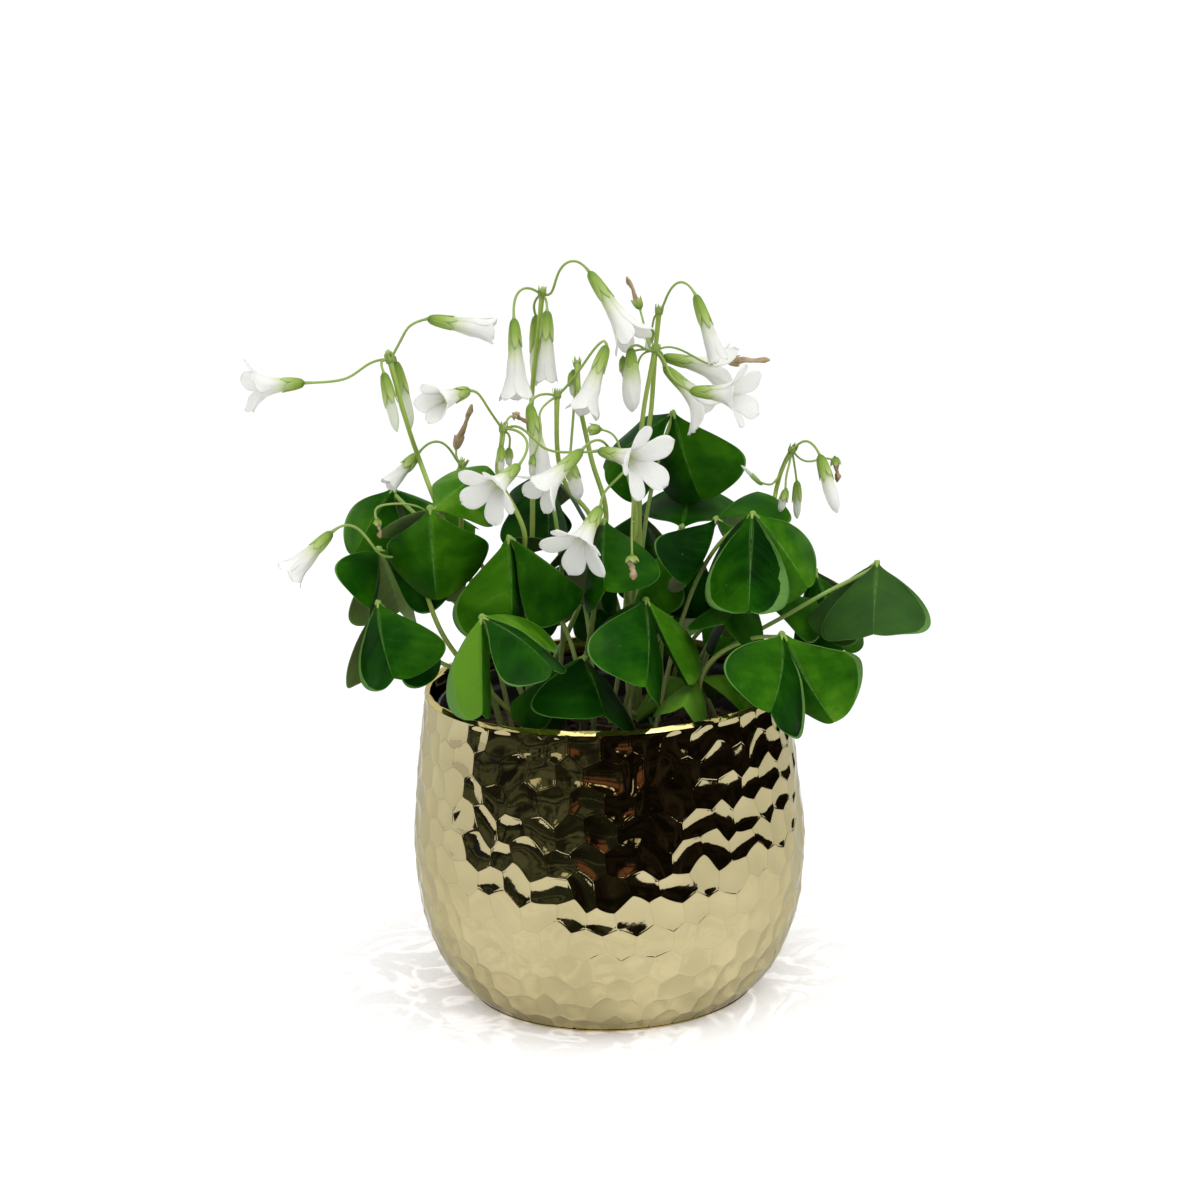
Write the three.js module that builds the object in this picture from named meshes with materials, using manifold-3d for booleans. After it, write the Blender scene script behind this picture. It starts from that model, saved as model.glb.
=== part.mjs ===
// Potted oxalis: a clump of three-leaflet leaves and umbels of white trumpet flowers,
// growing from soil in a plain nursery pot that stands inside a metallic cover pot.
// Millimetres, +Z up. Origin: centre of the cover pot's flat foot. Front of the plant faces -Y.
import * as THREE from 'three';
import { mergeVertices } from 'three/addons/utils/BufferGeometryUtils.js';
import Module from 'manifold-3d';

const wasm = await Module();
wasm.setup();

// ---------------------------------------------------------------- driving dimensions (mm)
const POT_HEIGHT = 98.8;          // cover pot, foot to rim
const POT_WALL = 2.6;             // cover pot wall
const POT_FLOOR = 3.0;            // cover pot floor
const POT_FOOT_RADIUS = 44.0;     // flat foot the pot stands on
// outer radius of the cover pot over its height (share of POT_HEIGHT, radius)
const POT_PROFILE = [[0.012, 46.9], [0.04, 49.9], [0.10, 53.7], [0.20, 58.2], [0.33, 61.1], [0.50, 62.0],
  [0.66, 60.6], [0.80, 59.4], [0.92, 57.4], [0.985, 56.5]];
const GAP = 0.3;                  // clearance between pieces that touch
const NURSERY_HEIGHT = 90.0;      // nursery pot, base to lip
const NURSERY_BASE_RADIUS = 37.0;
const NURSERY_TOP_RADIUS = 50.4;  // body, just under the lip
const NURSERY_LIP_RADIUS = 52.8;
const NURSERY_LIP_HEIGHT = 7.0;
const NURSERY_WALL = 1.4;
const DRAIN_HOLE_RADIUS = 4.0;
const SOIL_TOP = 84.0;            // middle of the soil surface
const SOIL_DROP = 4.0;            // how much lower the surface is at radius 50
const STEM_DEPTH = 5.0;           // how far petioles and scapes reach into the soil
const PETIOLE_RADIUS = 0.75;
const SCAPE_RADIUS = 0.9;
const PEDICEL_RADIUS = 0.5;
const LEAF_THICKNESS = 0.7;
const LEAF_CURL = 0.5;            // extra bend of each half leaflet towards its margin, radians

// ---------------------------------------------------------------- where everything grows (mm)
// petiole: points from the soil up to the hub; leaflets: [base x, y, z, azimuth, elevation, roll of the midrib (radians),
// length, half width, fold, arch]
const LEAVES = [
  { name: 'leaf_01', hub: [-49.65, -34.09, 162.01], petiole: [[14.99, -4.68, 83.61], [-0.16, -7.85, 95.25], [-13.88, -11.0, 107.17], [-24.75, -14.12, 119.65], [-32.21, -17.41, 132.5], [-37.92, -21.62, 144.24], [-43.65, -27.37, 153.6], [-49.65, -34.09, 161.41]],
    leaflets: [[-49.6, -35.09, 161.91, -1.576, -1.54, -0.014, 28.3, 22.93, 0.564, 0.594],
      [-49.04, -33.81, 161.21, 0.652, 0.542, -0.743, 25.17, 17.39, 0.6, 0.5],
      [-50.24, -33.82, 161.18, 1.429, -0.291, -0.633, 25.17, 17.39, 0.6, 0.5]] },
  { name: 'leaf_02', hub: [-64.14, 11.46, 159.12], petiole: [[-17.52, 0.27, 83.51], [-23.15, 2.64, 96.3], [-28.95, 3.8, 109.06], [-35.1, 2.62, 121.75], [-41.7, 0.27, 133.76], [-48.79, 0.21, 144.01], [-56.34, 4.56, 151.92], [-64.14, 11.46, 158.52]],
    leaflets: [[-64.04, 10.53, 159.59, -2.909, -0.865, 0.897, 24.42, 16.99, 0.395, 0.552],
      [-63.65, 12.37, 158.93, -0.124, -0.332, -0.342, 26.55, 18.31, 0.501, 0.271],
      [-64.36, 12.29, 158.52, 1.811, -0.523, 0.01, 25.17, 17.39, 0.6, 0.4]] },
  { name: 'leaf_03', hub: [-67.97, -4.73, 143.9], petiole: [[-29.07, -4.69, 82.61], [-31.02, -2.09, 94.53], [-33.43, -0.46, 105.5], [-36.78, -0.75, 114.64], [-41.66, -2.5, 122.11], [-48.74, -3.99, 129.1], [-57.84, -4.6, 136.17], [-67.97, -4.73, 143.3]],
    leaflets: [[-68.2, -5.73, 143.81, -1.425, -0.467, 1.219, 24.49, 15.69, 0.269, 0.369],
      [-67.64, -5.65, 143.52, -0.395, 0.006, 0.017, 25.98, 17.87, 0.758, 0.323],
      [-67.83, -3.94, 143.23, 1.257, -0.826, -0.01, 25.17, 17.39, 0.6, 0.4]] },
  { name: 'leaf_04', hub: [-66.82, -29.52, 132.76], petiole: [[-31.77, -9.14, 82.25], [-33.92, -7.3, 91.45], [-37.1, -7.65, 99.4], [-42.11, -11.85, 105.19], [-48.37, -18.15, 110.06], [-54.78, -23.54, 116.02], [-60.88, -27.03, 123.66], [-66.82, -29.52, 132.16]],
    leaflets: [[-66.74, -30.52, 132.68, -1.524, -0.66, -0.547, 23.36, 18.05, 0.314, 0.642],
      [-67.05, -28.89, 131.95, 1.796, -0.86, 0.032, 25.17, 17.39, 0.6, 0.4],
      [-66.14, -29.21, 132.01, 0.322, -0.614, -0.126, 25.17, 17.39, 0.6, 0.4]] },
  { name: 'leaf_05', hub: [-34.47, -59.81, 134.89], petiole: [[-31.82, -18.12, 81.85], [-22.78, -17.11, 91.47], [-16.94, -17.75, 100.84], [-17.12, -21.55, 109.73], [-21.81, -28.51, 117.71], [-27.03, -37.73, 124.32], [-31.07, -48.41, 129.63], [-34.47, -59.81, 134.29]],
    leaflets: [[-34.73, -60.78, 134.55, -1.856, -1.438, 0.681, 26.23, 18.46, 0.858, -0.079],
      [-33.95, -60.67, 134.57, -0.518, -0.258, 0.047, 24.69, 16.67, 0.131, 0.499],
      [-33.81, -59.02, 134.67, 1.168, -0.128, 0.135, 26.5, 18.32, 0.54, 0.249]] },
  { name: 'leaf_06', hub: [-27.14, -25.72, 150.51], petiole: [[-7.44, -13.93, 83.6], [-7.23, -16.5, 95.25], [-7.93, -19.45, 106.83], [-10.42, -23.15, 118.3], [-14.9, -27.29, 129.27], [-19.96, -29.97, 138.65], [-24.08, -29.23, 145.31], [-27.14, -25.72, 149.91]],
    leaflets: [[-27.4, -26.72, 150.44, -1.325, -1.271, 0.286, 29.25, 21.0, 0.648, 0.292],
      [-26.45, -26.5, 150.66, 0.057, -0.612, -0.341, 26.26, 18.08, 0.878, 0.174],
      [-27.78, -25.35, 149.77, 1.85, -0.321, 0.879, 25.17, 17.39, 0.6, 0.4]] },
  { name: 'leaf_07', hub: [-17.38, 23.75, 161.74], petiole: [[-17.79, -1.81, 83.49], [-15.14, 1.62, 94.97], [-13.09, 3.5, 107.67], [-12.19, 2.6, 122.58], [-12.46, 1.13, 137.86], [-13.62, 3.34, 150.05], [-15.35, 11.76, 157.08], [-17.38, 23.75, 161.14]],
    leaflets: [[-17.9, 22.91, 161.39, -2.68, -1.008, 0.721, 23.31, 16.39, 0.485, 0.896],
      [-16.72, 23.21, 161.14, -1.452, -0.52, 0.314, 25.63, 17.53, 0.596, 0.439],
      [-17.3, 24.66, 161.22, 1.189, -0.315, -0.072, 25.17, 17.39, 0.6, 0.4]] },
  { name: 'leaf_08', hub: [1.34, -17.35, 153.07], petiole: [[7.62, -22.16, 83.12], [7.33, -8.01, 95.47], [6.74, 1.96, 107.32], [5.57, 3.6, 118.17], [3.76, -4.47, 127.73], [2.05, -14.95, 136.35], [1.28, -19.32, 144.5], [1.34, -17.35, 152.47]],
    leaflets: [[1.63, -18.35, 152.96, -1.698, -0.525, -0.538, 25.71, 16.84, 0.362, 0.297],
      [1.95, -16.93, 152.33, 0.53, -1.264, 0.006, 25.17, 17.39, 0.6, 0.4],
      [0.59, -17.08, 152.39, 2.074, -0.439, -0.355, 25.17, 17.39, 0.6, 0.4]] },
  { name: 'leaf_09', hub: [12.44, 29.1, 145.82], petiole: [[1.5, 1.84, 83.99], [3.61, 6.24, 93.72], [5.47, 10.04, 103.75], [6.87, 12.66, 114.33], [7.88, 14.54, 124.93], [8.98, 17.4, 134.0], [10.56, 22.53, 140.42], [12.44, 29.1, 145.22]],
    leaflets: [[12.82, 28.45, 145.08, -1.113, -0.709, -0.033, 25.17, 17.39, 0.7, 0.4],
      [12.9, 29.89, 145.3, 1.235, -0.371, -0.015, 25.17, 17.39, 0.6, 0.4],
      [11.64, 29.1, 145.15, 3.244, -0.449, 0.007, 25.17, 17.39, 0.6, 0.4]] },
  { name: 'leaf_10', hub: [23.92, 14.0, 180.24], petiole: [[9.57, 5.6, 83.8], [9.87, 5.78, 99.12], [10.53, 6.17, 114.54], [11.9, 6.97, 130.14], [14.11, 8.26, 145.43], [16.99, 9.94, 159.13], [20.33, 11.9, 170.23], [23.92, 14.0, 179.64]],
    leaflets: [[24.19, 13.0, 180.08, -1.239, -1.078, -0.776, 25.66, 18.68, 0.368, 0.501],
      [23.65, 14.92, 179.81, 2.94, -0.528, 0.598, 26.95, 18.74, 0.186, 0.349],
      [24.43, 14.73, 179.68, 0.96, -0.559, 0.0, 25.17, 17.39, 0.6, 0.5]] },
  { name: 'leaf_11', hub: [25.44, 0.92, 146.67], petiole: [[6.38, -3.97, 83.91], [8.51, -1.88, 93.77], [10.71, -0.13, 103.75], [13.02, 0.97, 113.98], [15.54, 1.35, 124.09], [18.43, 1.31, 133.11], [21.79, 1.13, 140.21], [25.44, 0.92, 146.07]],
    leaflets: [[25.48, 1.92, 146.46, 1.41, 0.331, -0.033, 26.59, 18.44, 0.124, 0.147],
      [26.12, 0.6, 145.93, -0.304, -0.977, -0.307, 25.17, 17.39, 0.6, 0.4],
      [24.77, 0.6, 145.93, -2.942, -0.754, -0.187, 25.17, 17.39, 0.6, 0.4]] },
  { name: 'leaf_12', hub: [35.51, -8.92, 150.88], petiole: [[20.74, 16.46, 82.88], [18.84, 8.09, 93.31], [17.88, 0.94, 103.8], [18.81, -3.76, 114.4], [21.87, -5.77, 124.9], [26.17, -6.6, 134.56], [30.8, -7.62, 142.84], [35.51, -8.92, 150.28]],
    leaflets: [[35.16, -9.9, 150.79, -1.69, -0.646, 1.427, 24.71, 16.07, 0.677, 0.573],
      [36.02, -9.83, 150.77, -0.176, -0.426, -0.09, 26.53, 18.24, 0.492, 0.282],
      [35.51, -7.97, 150.44, 1.074, 0.347, 0.401, 25.17, 17.39, 0.6, 0.4]] },
  { name: 'leaf_13', hub: [45.56, -28.0, 155.97], petiole: [[13.12, -32.58, 82.03], [16.28, -23.02, 93.7], [19.67, -15.75, 105.6], [23.5, -13.05, 117.93], [27.96, -15.29, 130.24], [33.16, -19.81, 141.0], [39.13, -24.13, 149.04], [45.56, -28.0, 155.37]],
    leaflets: [[45.21, -28.97, 156.17, -1.692, -0.821, 0.09, 27.37, 19.23, 0.506, 0.326],
      [46.34, -27.38, 155.63, -0.182, -0.856, -0.857, 26.35, 18.4, 0.364, 0.438],
      [44.73, -27.41, 155.7, 3.487, -0.941, 0.414, 26.36, 18.34, 0.424, 0.391]] },
  { name: 'leaf_14', hub: [52.78, -39.91, 122.02], petiole: [[31.57, -21.18, 81.69], [29.45, -21.73, 91.62], [28.77, -22.78, 100.83], [30.98, -24.84, 108.58], [36.19, -28.04, 114.41], [42.44, -31.87, 118.29], [47.94, -35.88, 120.36], [52.78, -39.91, 121.42]],
    leaflets: [[52.45, -40.75, 121.47, -1.536, -0.434, 0.861, 27.37, 19.24, 0.05, 0.523],
      [53.48, -40.55, 121.57, -0.689, -1.076, -1.193, 29.48, 22.78, 0.641, 0.736],
      [53.12, -38.96, 121.75, 1.162, -0.328, 0.008, 25.17, 17.39, 0.6, 0.4]] },
  { name: 'leaf_15', hub: [84.02, -13.53, 136.62], petiole: [[31.88, 6.84, 82.3], [30.47, -4.39, 95.06], [32.25, -13.52, 105.97], [39.39, -18.8, 113.67], [49.29, -20.04, 119.38], [59.88, -18.42, 124.61], [71.57, -16.01, 130.15], [84.02, -13.53, 136.02]],
    leaflets: [[83.9, -14.53, 136.53, -1.748, -0.467, -0.09, 25.94, 18.67, 0.166, 0.211],
      [83.06, -13.36, 136.22, 3.107, -0.471, -0.15, 25.17, 17.39, 0.95, 0.4],
      [84.25, -12.67, 136.06, 1.272, -0.597, 0.007, 25.17, 17.39, 0.6, 0.4]] },
  { name: 'leaf_16', hub: [67.46, 12.06, 128.85], petiole: [[35.39, 3.58, 81.98], [32.16, 4.49, 91.06], [31.36, 5.42, 99.93], [35.08, 6.39, 108.33], [42.46, 7.47, 115.74], [51.09, 8.78, 121.46], [59.4, 10.35, 125.35], [67.46, 12.06, 128.25]],
    leaflets: [[67.64, 11.41, 128.05, -1.14, -0.78, -0.249, 25.17, 17.39, 0.6, 0.4],
      [67.98, 12.67, 128.18, 0.825, -0.569, 0.504, 25.17, 17.39, 0.6, 0.4],
      [66.73, 12.19, 128.11, 3.086, -1.134, 0.396, 25.17, 17.39, 0.6, 0.4]] },
  { name: 'leaf_17', hub: [13.05, -33.35, 132.04], petiole: [[-0.15, -19.78, 83.37], [3.63, -20.57, 90.37], [6.6, -21.3, 97.95], [7.98, -21.92, 106.65], [8.15, -22.84, 115.78], [8.53, -24.85, 123.51], [10.3, -28.57, 128.39], [13.05, -33.35, 131.44]],
    leaflets: [[12.72, -34.35, 131.98, -1.451, -0.611, 0.813, 27.94, 19.97, 0.261, 0.306],
      [13.56, -34.26, 131.96, -0.632, -1.098, -1.154, 26.99, 18.92, 1.121, 0.376],
      [13.05, -32.49, 131.44, 2.035, -0.221, -0.153, 25.17, 17.39, 0.6, 0.4]] },
  { name: 'leaf_18', hub: [-5.67, -24.19, 112.72], petiole: [[-4.9, -18.62, 83.41], [-3.8, -15.14, 88.29], [-2.94, -12.92, 93.18], [-2.55, -13.25, 98.06], [-2.75, -16.21, 102.77], [-3.43, -19.97, 106.85], [-4.45, -22.65, 109.87], [-5.67, -24.19, 112.12]],
    leaflets: [[-6.2, -25.05, 112.43, -1.294, -0.295, 0.421, 26.74, 21.34, 0.229, 0.218],
      [-4.98, -23.42, 112.49, -0.663, 0.349, 0.1, 18.5, 10.0, 0.389, 0.245],
      [-6.56, -23.67, 112.53, 2.992, -0.424, -0.307, 25.17, 17.39, 0.8, 0.3]] },
  { name: 'leaf_19', hub: [27.23, -22.09, 104.5], petiole: [[23.46, -26.14, 82.03], [17.97, -18.89, 85.32], [14.04, -13.24, 88.77], [13.19, -10.82, 92.54], [15.96, -12.26, 96.52], [20.24, -15.62, 99.96], [23.99, -18.96, 102.27], [27.23, -22.09, 103.9]],
    leaflets: [[26.5, -22.85, 104.49, -3.358, -0.709, 1.527, 24.61, 16.79, 0.995, 0.548],
      [27.56, -23.0, 104.11, -1.74, 0.06, 0.284, 19.08, 13.18, 0.6, 0.4],
      [28.24, -21.91, 104.28, 0.615, 0.013, -0.102, 21.2, 14.64, 0.6, 0.4]] },
  { name: 'leaf_20', hub: [45.78, -14.28, 128.94], petiole: [[27.3, 12.59, 82.55], [23.69, 3.95, 89.65], [21.65, -3.3, 97.0], [22.73, -7.76, 104.83], [27.21, -9.37, 112.81], [33.36, -10.17, 119.71], [39.63, -11.88, 124.63], [45.78, -14.28, 128.34]],
    leaflets: [[45.21, -15.11, 128.64, -1.932, -0.016, 0.313, 22.76, 15.73, 0.432, 0.308],
      [46.54, -14.95, 128.66, 0.51, -0.113, -0.289, 22.7, 15.68, 0.494, 0.263],
      [45.2, -13.59, 128.42, 2.23, -0.483, 0.002, 21.65, 14.95, 0.6, 0.4]] },
  { name: 'leaf_21', hub: [-8.38, 42.19, 128.14], petiole: [[-4.17, 13.78, 83.67], [-3.88, 15.91, 91.31], [-3.84, 18.47, 98.96], [-4.26, 21.86, 106.57], [-5.13, 26.15, 113.74], [-6.21, 31.12, 119.71], [-7.3, 36.54, 124.08], [-8.38, 42.19, 127.54]],
    leaflets: [[-8.45, 43.05, 127.54, 1.563, -0.789, -0.105, 25.17, 17.39, 0.6, 0.4],
      [-7.59, 41.73, 127.61, -0.519, -0.598, -0.053, 25.17, 17.39, 0.6, 0.4],
      [-9.08, 41.69, 127.54, 3.437, -0.336, 0.456, 25.17, 17.39, 0.6, 0.4]] },
  { name: 'leaf_22', hub: [32.52, 44.45, 119.59], petiole: [[19.54, 16.98, 82.93], [16.68, 18.51, 89.8], [15.3, 20.81, 96.48], [16.69, 24.56, 102.77], [20.34, 29.46, 108.35], [24.7, 34.67, 112.87], [28.73, 39.64, 116.24], [32.52, 44.45, 118.99]],
    leaflets: [[32.75, 45.28, 118.99, 1.294, -0.471, 0.102, 25.17, 17.39, 0.6, 0.4],
      [33.22, 43.86, 119.06, -0.742, -0.327, -0.047, 25.17, 17.39, 0.6, 0.4],
      [31.69, 44.22, 118.99, 3.105, -0.35, 0.272, 25.17, 17.39, 0.6, 0.4]] },
];
// scape: points from the umbel down to the soil; pedicels: one for each flower; small: buds and spent flowers
const STALKS = [
  { name: 'flower_stalk_01', scape: [[-61.4, -8.0, 202.18], [-58.36, -11.47, 189.71], [-55.97, -8.75, 178.66], [-54.04, -3.54, 170.2], [-51.39, -9.92, 164.32], [-48.63, -11.16, 157.06], [-44.84, -5.01, 145.22], [-38.27, -3.74, 127.86], [-29.51, -7.47, 106.47], [-19.65, -13.7, 83.08]],
    pedicels: [[[-61.4, -8.0, 202.18], [-63.13, -8.42, 202.71], [-67.13, -9.31, 201.92], [-70.73, -10.24, 199.77], [-74.04, -11.07, 197.96], [-77.67, -11.89, 197.23], [-82.14, -12.88, 197.09], [-86.8, -13.87, 197.21]],
      [[-61.4, -8.0, 202.18], [-60.33, -7.5, 204.12], [-58.85, -6.84, 206.62], [-57.21, -6.12, 209.44], [-55.46, -5.46, 211.9], [-52.81, -4.75, 213.33], [-49.75, -4.0, 214.03]],
      [[-61.4, -8.0, 202.18], [-62.92, -8.82, 202.6], [-63.77, -9.75, 202.28], [-63.67, -10.83, 200.87], [-63.12, -11.96, 199.24]],
      [[-61.4, -8.0, 202.18], [-60.72, -7.0, 203.13], [-60.23, -6.0, 203.37], [-60.01, -5.0, 202.49], [-60.02, -4.04, 201.35]]],
    small: [{ kind: 'bud', stem: [[-61.4, -8.0, 202.18], [-61.88, -5.93, 203.72]], base: [-61.83, -5.93, 202.82], tip: [-61.99, -5.93, 205.54], radius: 0.7 }] },
  { name: 'flower_stalk_02', scape: [[-27.78, -22.0, 182.49], [-28.8, -21.67, 176.43], [-30.01, -20.85, 170.27], [-26.68, -21.73, 161.47], [-22.66, -21.87, 151.35], [-23.75, -17.84, 142.17], [-25.13, -11.8, 131.81], [-21.45, -6.43, 118.05], [-13.63, -1.84, 101.67], [-3.74, 2.37, 83.97]],
    pedicels: [[[-27.78, -22.0, 182.49], [-28.5, -23.07, 183.89], [-30.05, -25.34, 186.81], [-31.88, -28.12, 190.49], [-33.48, -30.6, 193.83], [-35.12, -32.54, 195.82], [-36.8, -33.69, 196.25]],
      [[-27.78, -22.0, 182.49], [-26.25, -23.1, 182.92], [-24.03, -24.72, 182.72], [-21.85, -26.55, 181.61], [-20.61, -28.38, 179.69], [-20.8, -30.26, 177.44], [-21.9, -32.14, 175.4], [-23.14, -33.73, 173.84]],
      [[-27.78, -22.0, 182.49], [-23.97, -22.56, 183.58], [-19.97, -23.34, 181.09], [-15.92, -24.17, 177.28], [-11.9, -24.82, 175.94], [-7.34, -25.5, 175.79], [-2.87, -26.19, 175.86], [0.5, -26.48, 176.13]]],
    small: [{ kind: 'bud', stem: [[-27.78, -22.0, 182.49], [-27.55, -22.5, 181.55], [-27.57, -23.08, 180.47], [-27.93, -23.78, 179.21], [-28.51, -24.68, 176.95]], base: [-28.48, -24.54, 177.84], tip: [-28.75, -25.74, 169.95], radius: 1.1 },
      { kind: 'bud', stem: [[-27.78, -22.0, 182.49], [-26.63, -21.6, 181.63], [-25.96, -21.13, 180.36], [-25.95, -20.59, 178.52], [-26.34, -19.83, 175.5]], base: [-26.3, -20.0, 176.38], tip: [-26.54, -19.0, 171.07], radius: 1.1 },
      { kind: 'wither', stem: [[-27.78, -22.0, 182.49], [-27.16, -20.85, 183.92], [-26.44, -19.78, 185.14], [-25.52, -18.84, 185.97], [-23.78, -18.0, 185.96]], base: [-24.47, -18.0, 186.54], tip: [-20.72, -18.0, 183.41], radius: 1.0 }] },
  { name: 'flower_stalk_03', scape: [[-41.74, 2.0, 168.05], [-43.94, 1.31, 163.68], [-43.84, 0.97, 158.53], [-42.75, 1.41, 152.57], [-43.22, 2.75, 145.92], [-43.87, 3.92, 137.55], [-42.84, 3.84, 126.48], [-40.14, 2.55, 113.07], [-36.31, 0.46, 98.11], [-31.92, -2.04, 82.36]],
    pedicels: [[[-41.74, 2.0, 168.05], [-42.87, 1.74, 169.09], [-44.25, 1.26, 171.61], [-45.99, 0.74, 174.21], [-48.19, 0.28, 175.75], [-50.76, -0.16, 175.71], [-53.13, -0.63, 174.31], [-54.93, -0.99, 172.38]]],
    small: [{ kind: 'wither', stem: [[-41.74, 2.0, 168.05], [-42.65, 2.94, 168.98], [-43.32, 3.91, 170.03], [-43.57, 4.94, 171.31], [-43.27, 6.0, 173.56]], base: [-43.58, 6.0, 172.71], tip: [-38.68, 6.0, 186.27], radius: 1.2 },
      { kind: 'wither', stem: [[-41.74, 2.0, 168.05], [-43.56, 2.72, 158.97], [-45.09, 3.12, 153.56], [-46.09, 2.97, 154.92], [-46.81, 2.88, 159.5], [-47.99, 3.35, 162.18]], base: [-47.58, 3.35, 162.98], tip: [-49.95, 3.35, 158.34], radius: 1.0 },
      { kind: 'bud', stem: [[-41.74, 2.0, 168.05], [-40.63, -2.0, 166.97]], base: [-40.94, -2.0, 167.82], tip: [-39.57, -2.0, 164.04], radius: 0.9 }] },
  { name: 'flower_stalk_04', scape: [[-15.35, 6.0, 219.31], [-16.58, 6.05, 209.53], [-17.99, 6.11, 200.11], [-19.3, 5.87, 190.8], [-20.04, 4.93, 181.3], [-20.15, 3.4, 171.2], [-20.44, 2.66, 156.73], [-21.46, 3.56, 135.86], [-23.01, 5.62, 110.5], [-24.82, 8.26, 82.9]],
    pedicels: [[[-15.35, 6.0, 219.31], [-16.64, 5.28, 220.1], [-18.75, 4.14, 221.27], [-21.03, 2.98, 221.35], [-22.76, 1.89, 219.94], [-23.65, 0.66, 217.74], [-23.93, -0.65, 215.22], [-23.91, -1.94, 212.99]],
      [[-15.35, 6.0, 219.31], [-16.5, 7.01, 218.45], [-17.44, 8.11, 217.21], [-17.97, 9.31, 215.53], [-17.94, 10.63, 213.64], [-17.55, 11.97, 212.04]],
      [[-15.35, 6.0, 219.31], [-14.59, 5.18, 218.42], [-14.08, 4.26, 217.31], [-13.92, 3.17, 215.87], [-13.93, 2.02, 214.64]],
      [[-15.35, 6.0, 219.31], [-13.05, 5.59, 219.18], [-11.39, 4.9, 222.24], [-9.66, 4.11, 226.51], [-7.09, 3.48, 228.93], [-4.35, 2.97, 229.07], [-2.16, 2.49, 227.63], [-0.75, 2.12, 225.93]]],
    small: [{ kind: 'bud', stem: [[-15.35, 6.0, 219.31], [-14.97, 3.87, 220.43]], base: [-15.0, 3.87, 219.53], tip: [-14.91, 3.87, 221.95], radius: 0.9 }] },
  { name: 'flower_stalk_05', scape: [[20.28, 12.0, 212.03], [19.33, 11.96, 203.96], [18.39, 12.17, 195.02], [17.56, 11.59, 186.23], [16.44, 9.78, 178.01], [14.36, 7.92, 168.28], [12.16, 7.46, 153.84], [10.39, 8.95, 133.68], [8.94, 11.78, 109.59], [7.64, 15.27, 83.53]],
    pedicels: [[[20.28, 12.0, 212.03], [21.26, 11.18, 213.43], [22.5, 9.61, 216.44], [24.21, 7.88, 219.69], [26.4, 6.56, 221.49], [28.61, 5.34, 221.15], [30.3, 4.14, 219.43], [31.24, 3.05, 217.94]]],
    small: [{ kind: 'bud', stem: [[20.28, 12.0, 212.03], [19.42, 12.35, 211.32], [18.76, 12.79, 210.14], [18.33, 13.36, 208.37], [17.78, 14.0, 205.44]], base: [18.04, 14.0, 206.31], tip: [16.01, 14.0, 199.55], radius: 1.0 }] },
  { name: 'flower_stalk_06', scape: [[18.49, 2.0, 201.38], [16.82, 0.61, 194.6], [15.33, -0.51, 188.15], [14.17, -1.01, 181.67], [13.4, -0.66, 173.92], [12.82, 0.15, 162.9], [12.26, 1.06, 147.36], [11.71, 2.01, 128.18], [11.15, 2.98, 106.59], [10.59, 3.96, 83.8]],
    pedicels: [[[18.49, 2.0, 201.38], [20.43, 0.44, 199.73], [21.7, -1.23, 197.49], [22.73, -3.0, 194.9], [24.58, -4.78, 192.79], [26.84, -6.45, 191.31], [28.75, -7.8, 190.28]],
      [[18.49, 2.0, 201.38], [19.45, 3.01, 200.02], [20.31, 4.01, 198.6], [20.97, 5.01, 197.09], [21.26, 6.04, 195.78]],
      [[18.49, 2.0, 201.38], [19.29, 4.38, 201.16], [20.07, 7.12, 200.53], [20.81, 10.37, 199.34], [21.18, 13.81, 197.94]],
      [[18.49, 2.0, 201.38], [16.77, 0.31, 201.84], [15.08, -1.4, 202.69], [13.49, -3.1, 203.83], [12.16, -4.64, 204.12], [11.08, -6.0, 203.65]]],
    small: [{ kind: 'wither', stem: [[18.49, 2.0, 201.38], [17.13, 2.73, 202.37], [16.24, 3.83, 204.61], [15.64, 5.19, 207.69], [15.03, 6.6, 210.82], [14.04, 8.0, 214.73]], base: [14.39, 8.0, 213.9], tip: [10.37, 8.0, 223.47], radius: 1.2 },
      { kind: 'wither', stem: [[18.49, 2.0, 201.38], [21.71, 4.3, 202.13], [25.52, 7.58, 201.13], [29.78, 10.67, 198.63], [34.03, 12.34, 196.0], [37.96, 14.71, 194.89], [42.47, 18.43, 195.3]], base: [41.57, 18.43, 195.35], tip: [54.66, 18.41, 194.63], radius: 1.3 },
      { kind: 'bud', stem: [[18.49, 2.0, 201.38], [16.27, 1.17, 201.35], [14.47, 0.24, 200.51], [13.29, -0.84, 198.44], [12.44, -2.0, 194.8]], base: [12.46, -2.0, 195.7], tip: [12.27, -2.0, 188.67], radius: 1.1 },
      { kind: 'bud', stem: [[18.49, 2.0, 201.38], [15.86, 1.01, 202.0], [13.32, 0.01, 202.11], [10.94, -0.99, 201.36], [8.74, -2.0, 199.19]], base: [8.64, -2.0, 200.09], tip: [9.36, -2.0, 193.35], radius: 1.3 }] },
  { name: 'flower_stalk_07', scape: [[-11.65, -8.0, 190.02], [-11.99, -9.49, 182.58], [-12.12, -9.44, 175.08], [-11.36, -8.09, 167.43], [-8.64, -7.24, 160.43], [-3.78, -8.13, 154.75], [-0.88, -6.72, 144.67], [-1.68, -1.26, 127.99], [-4.99, 6.96, 106.82], [-9.55, 16.56, 83.42]],
    pedicels: [[[-11.65, -8.0, 190.02], [-9.59, -8.23, 191.93], [-6.88, -8.56, 195.0], [-3.86, -8.97, 198.87], [-1.36, -9.33, 202.31], [0.88, -9.61, 204.99], [3.15, -9.83, 206.46], [3.68, -9.89, 204.97]],
      [[-11.65, -8.0, 190.02], [-13.46, -9.16, 190.74], [-15.5, -10.41, 191.07], [-17.62, -11.72, 190.75], [-19.05, -12.92, 189.7], [-19.79, -13.91, 188.53]]],
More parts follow.
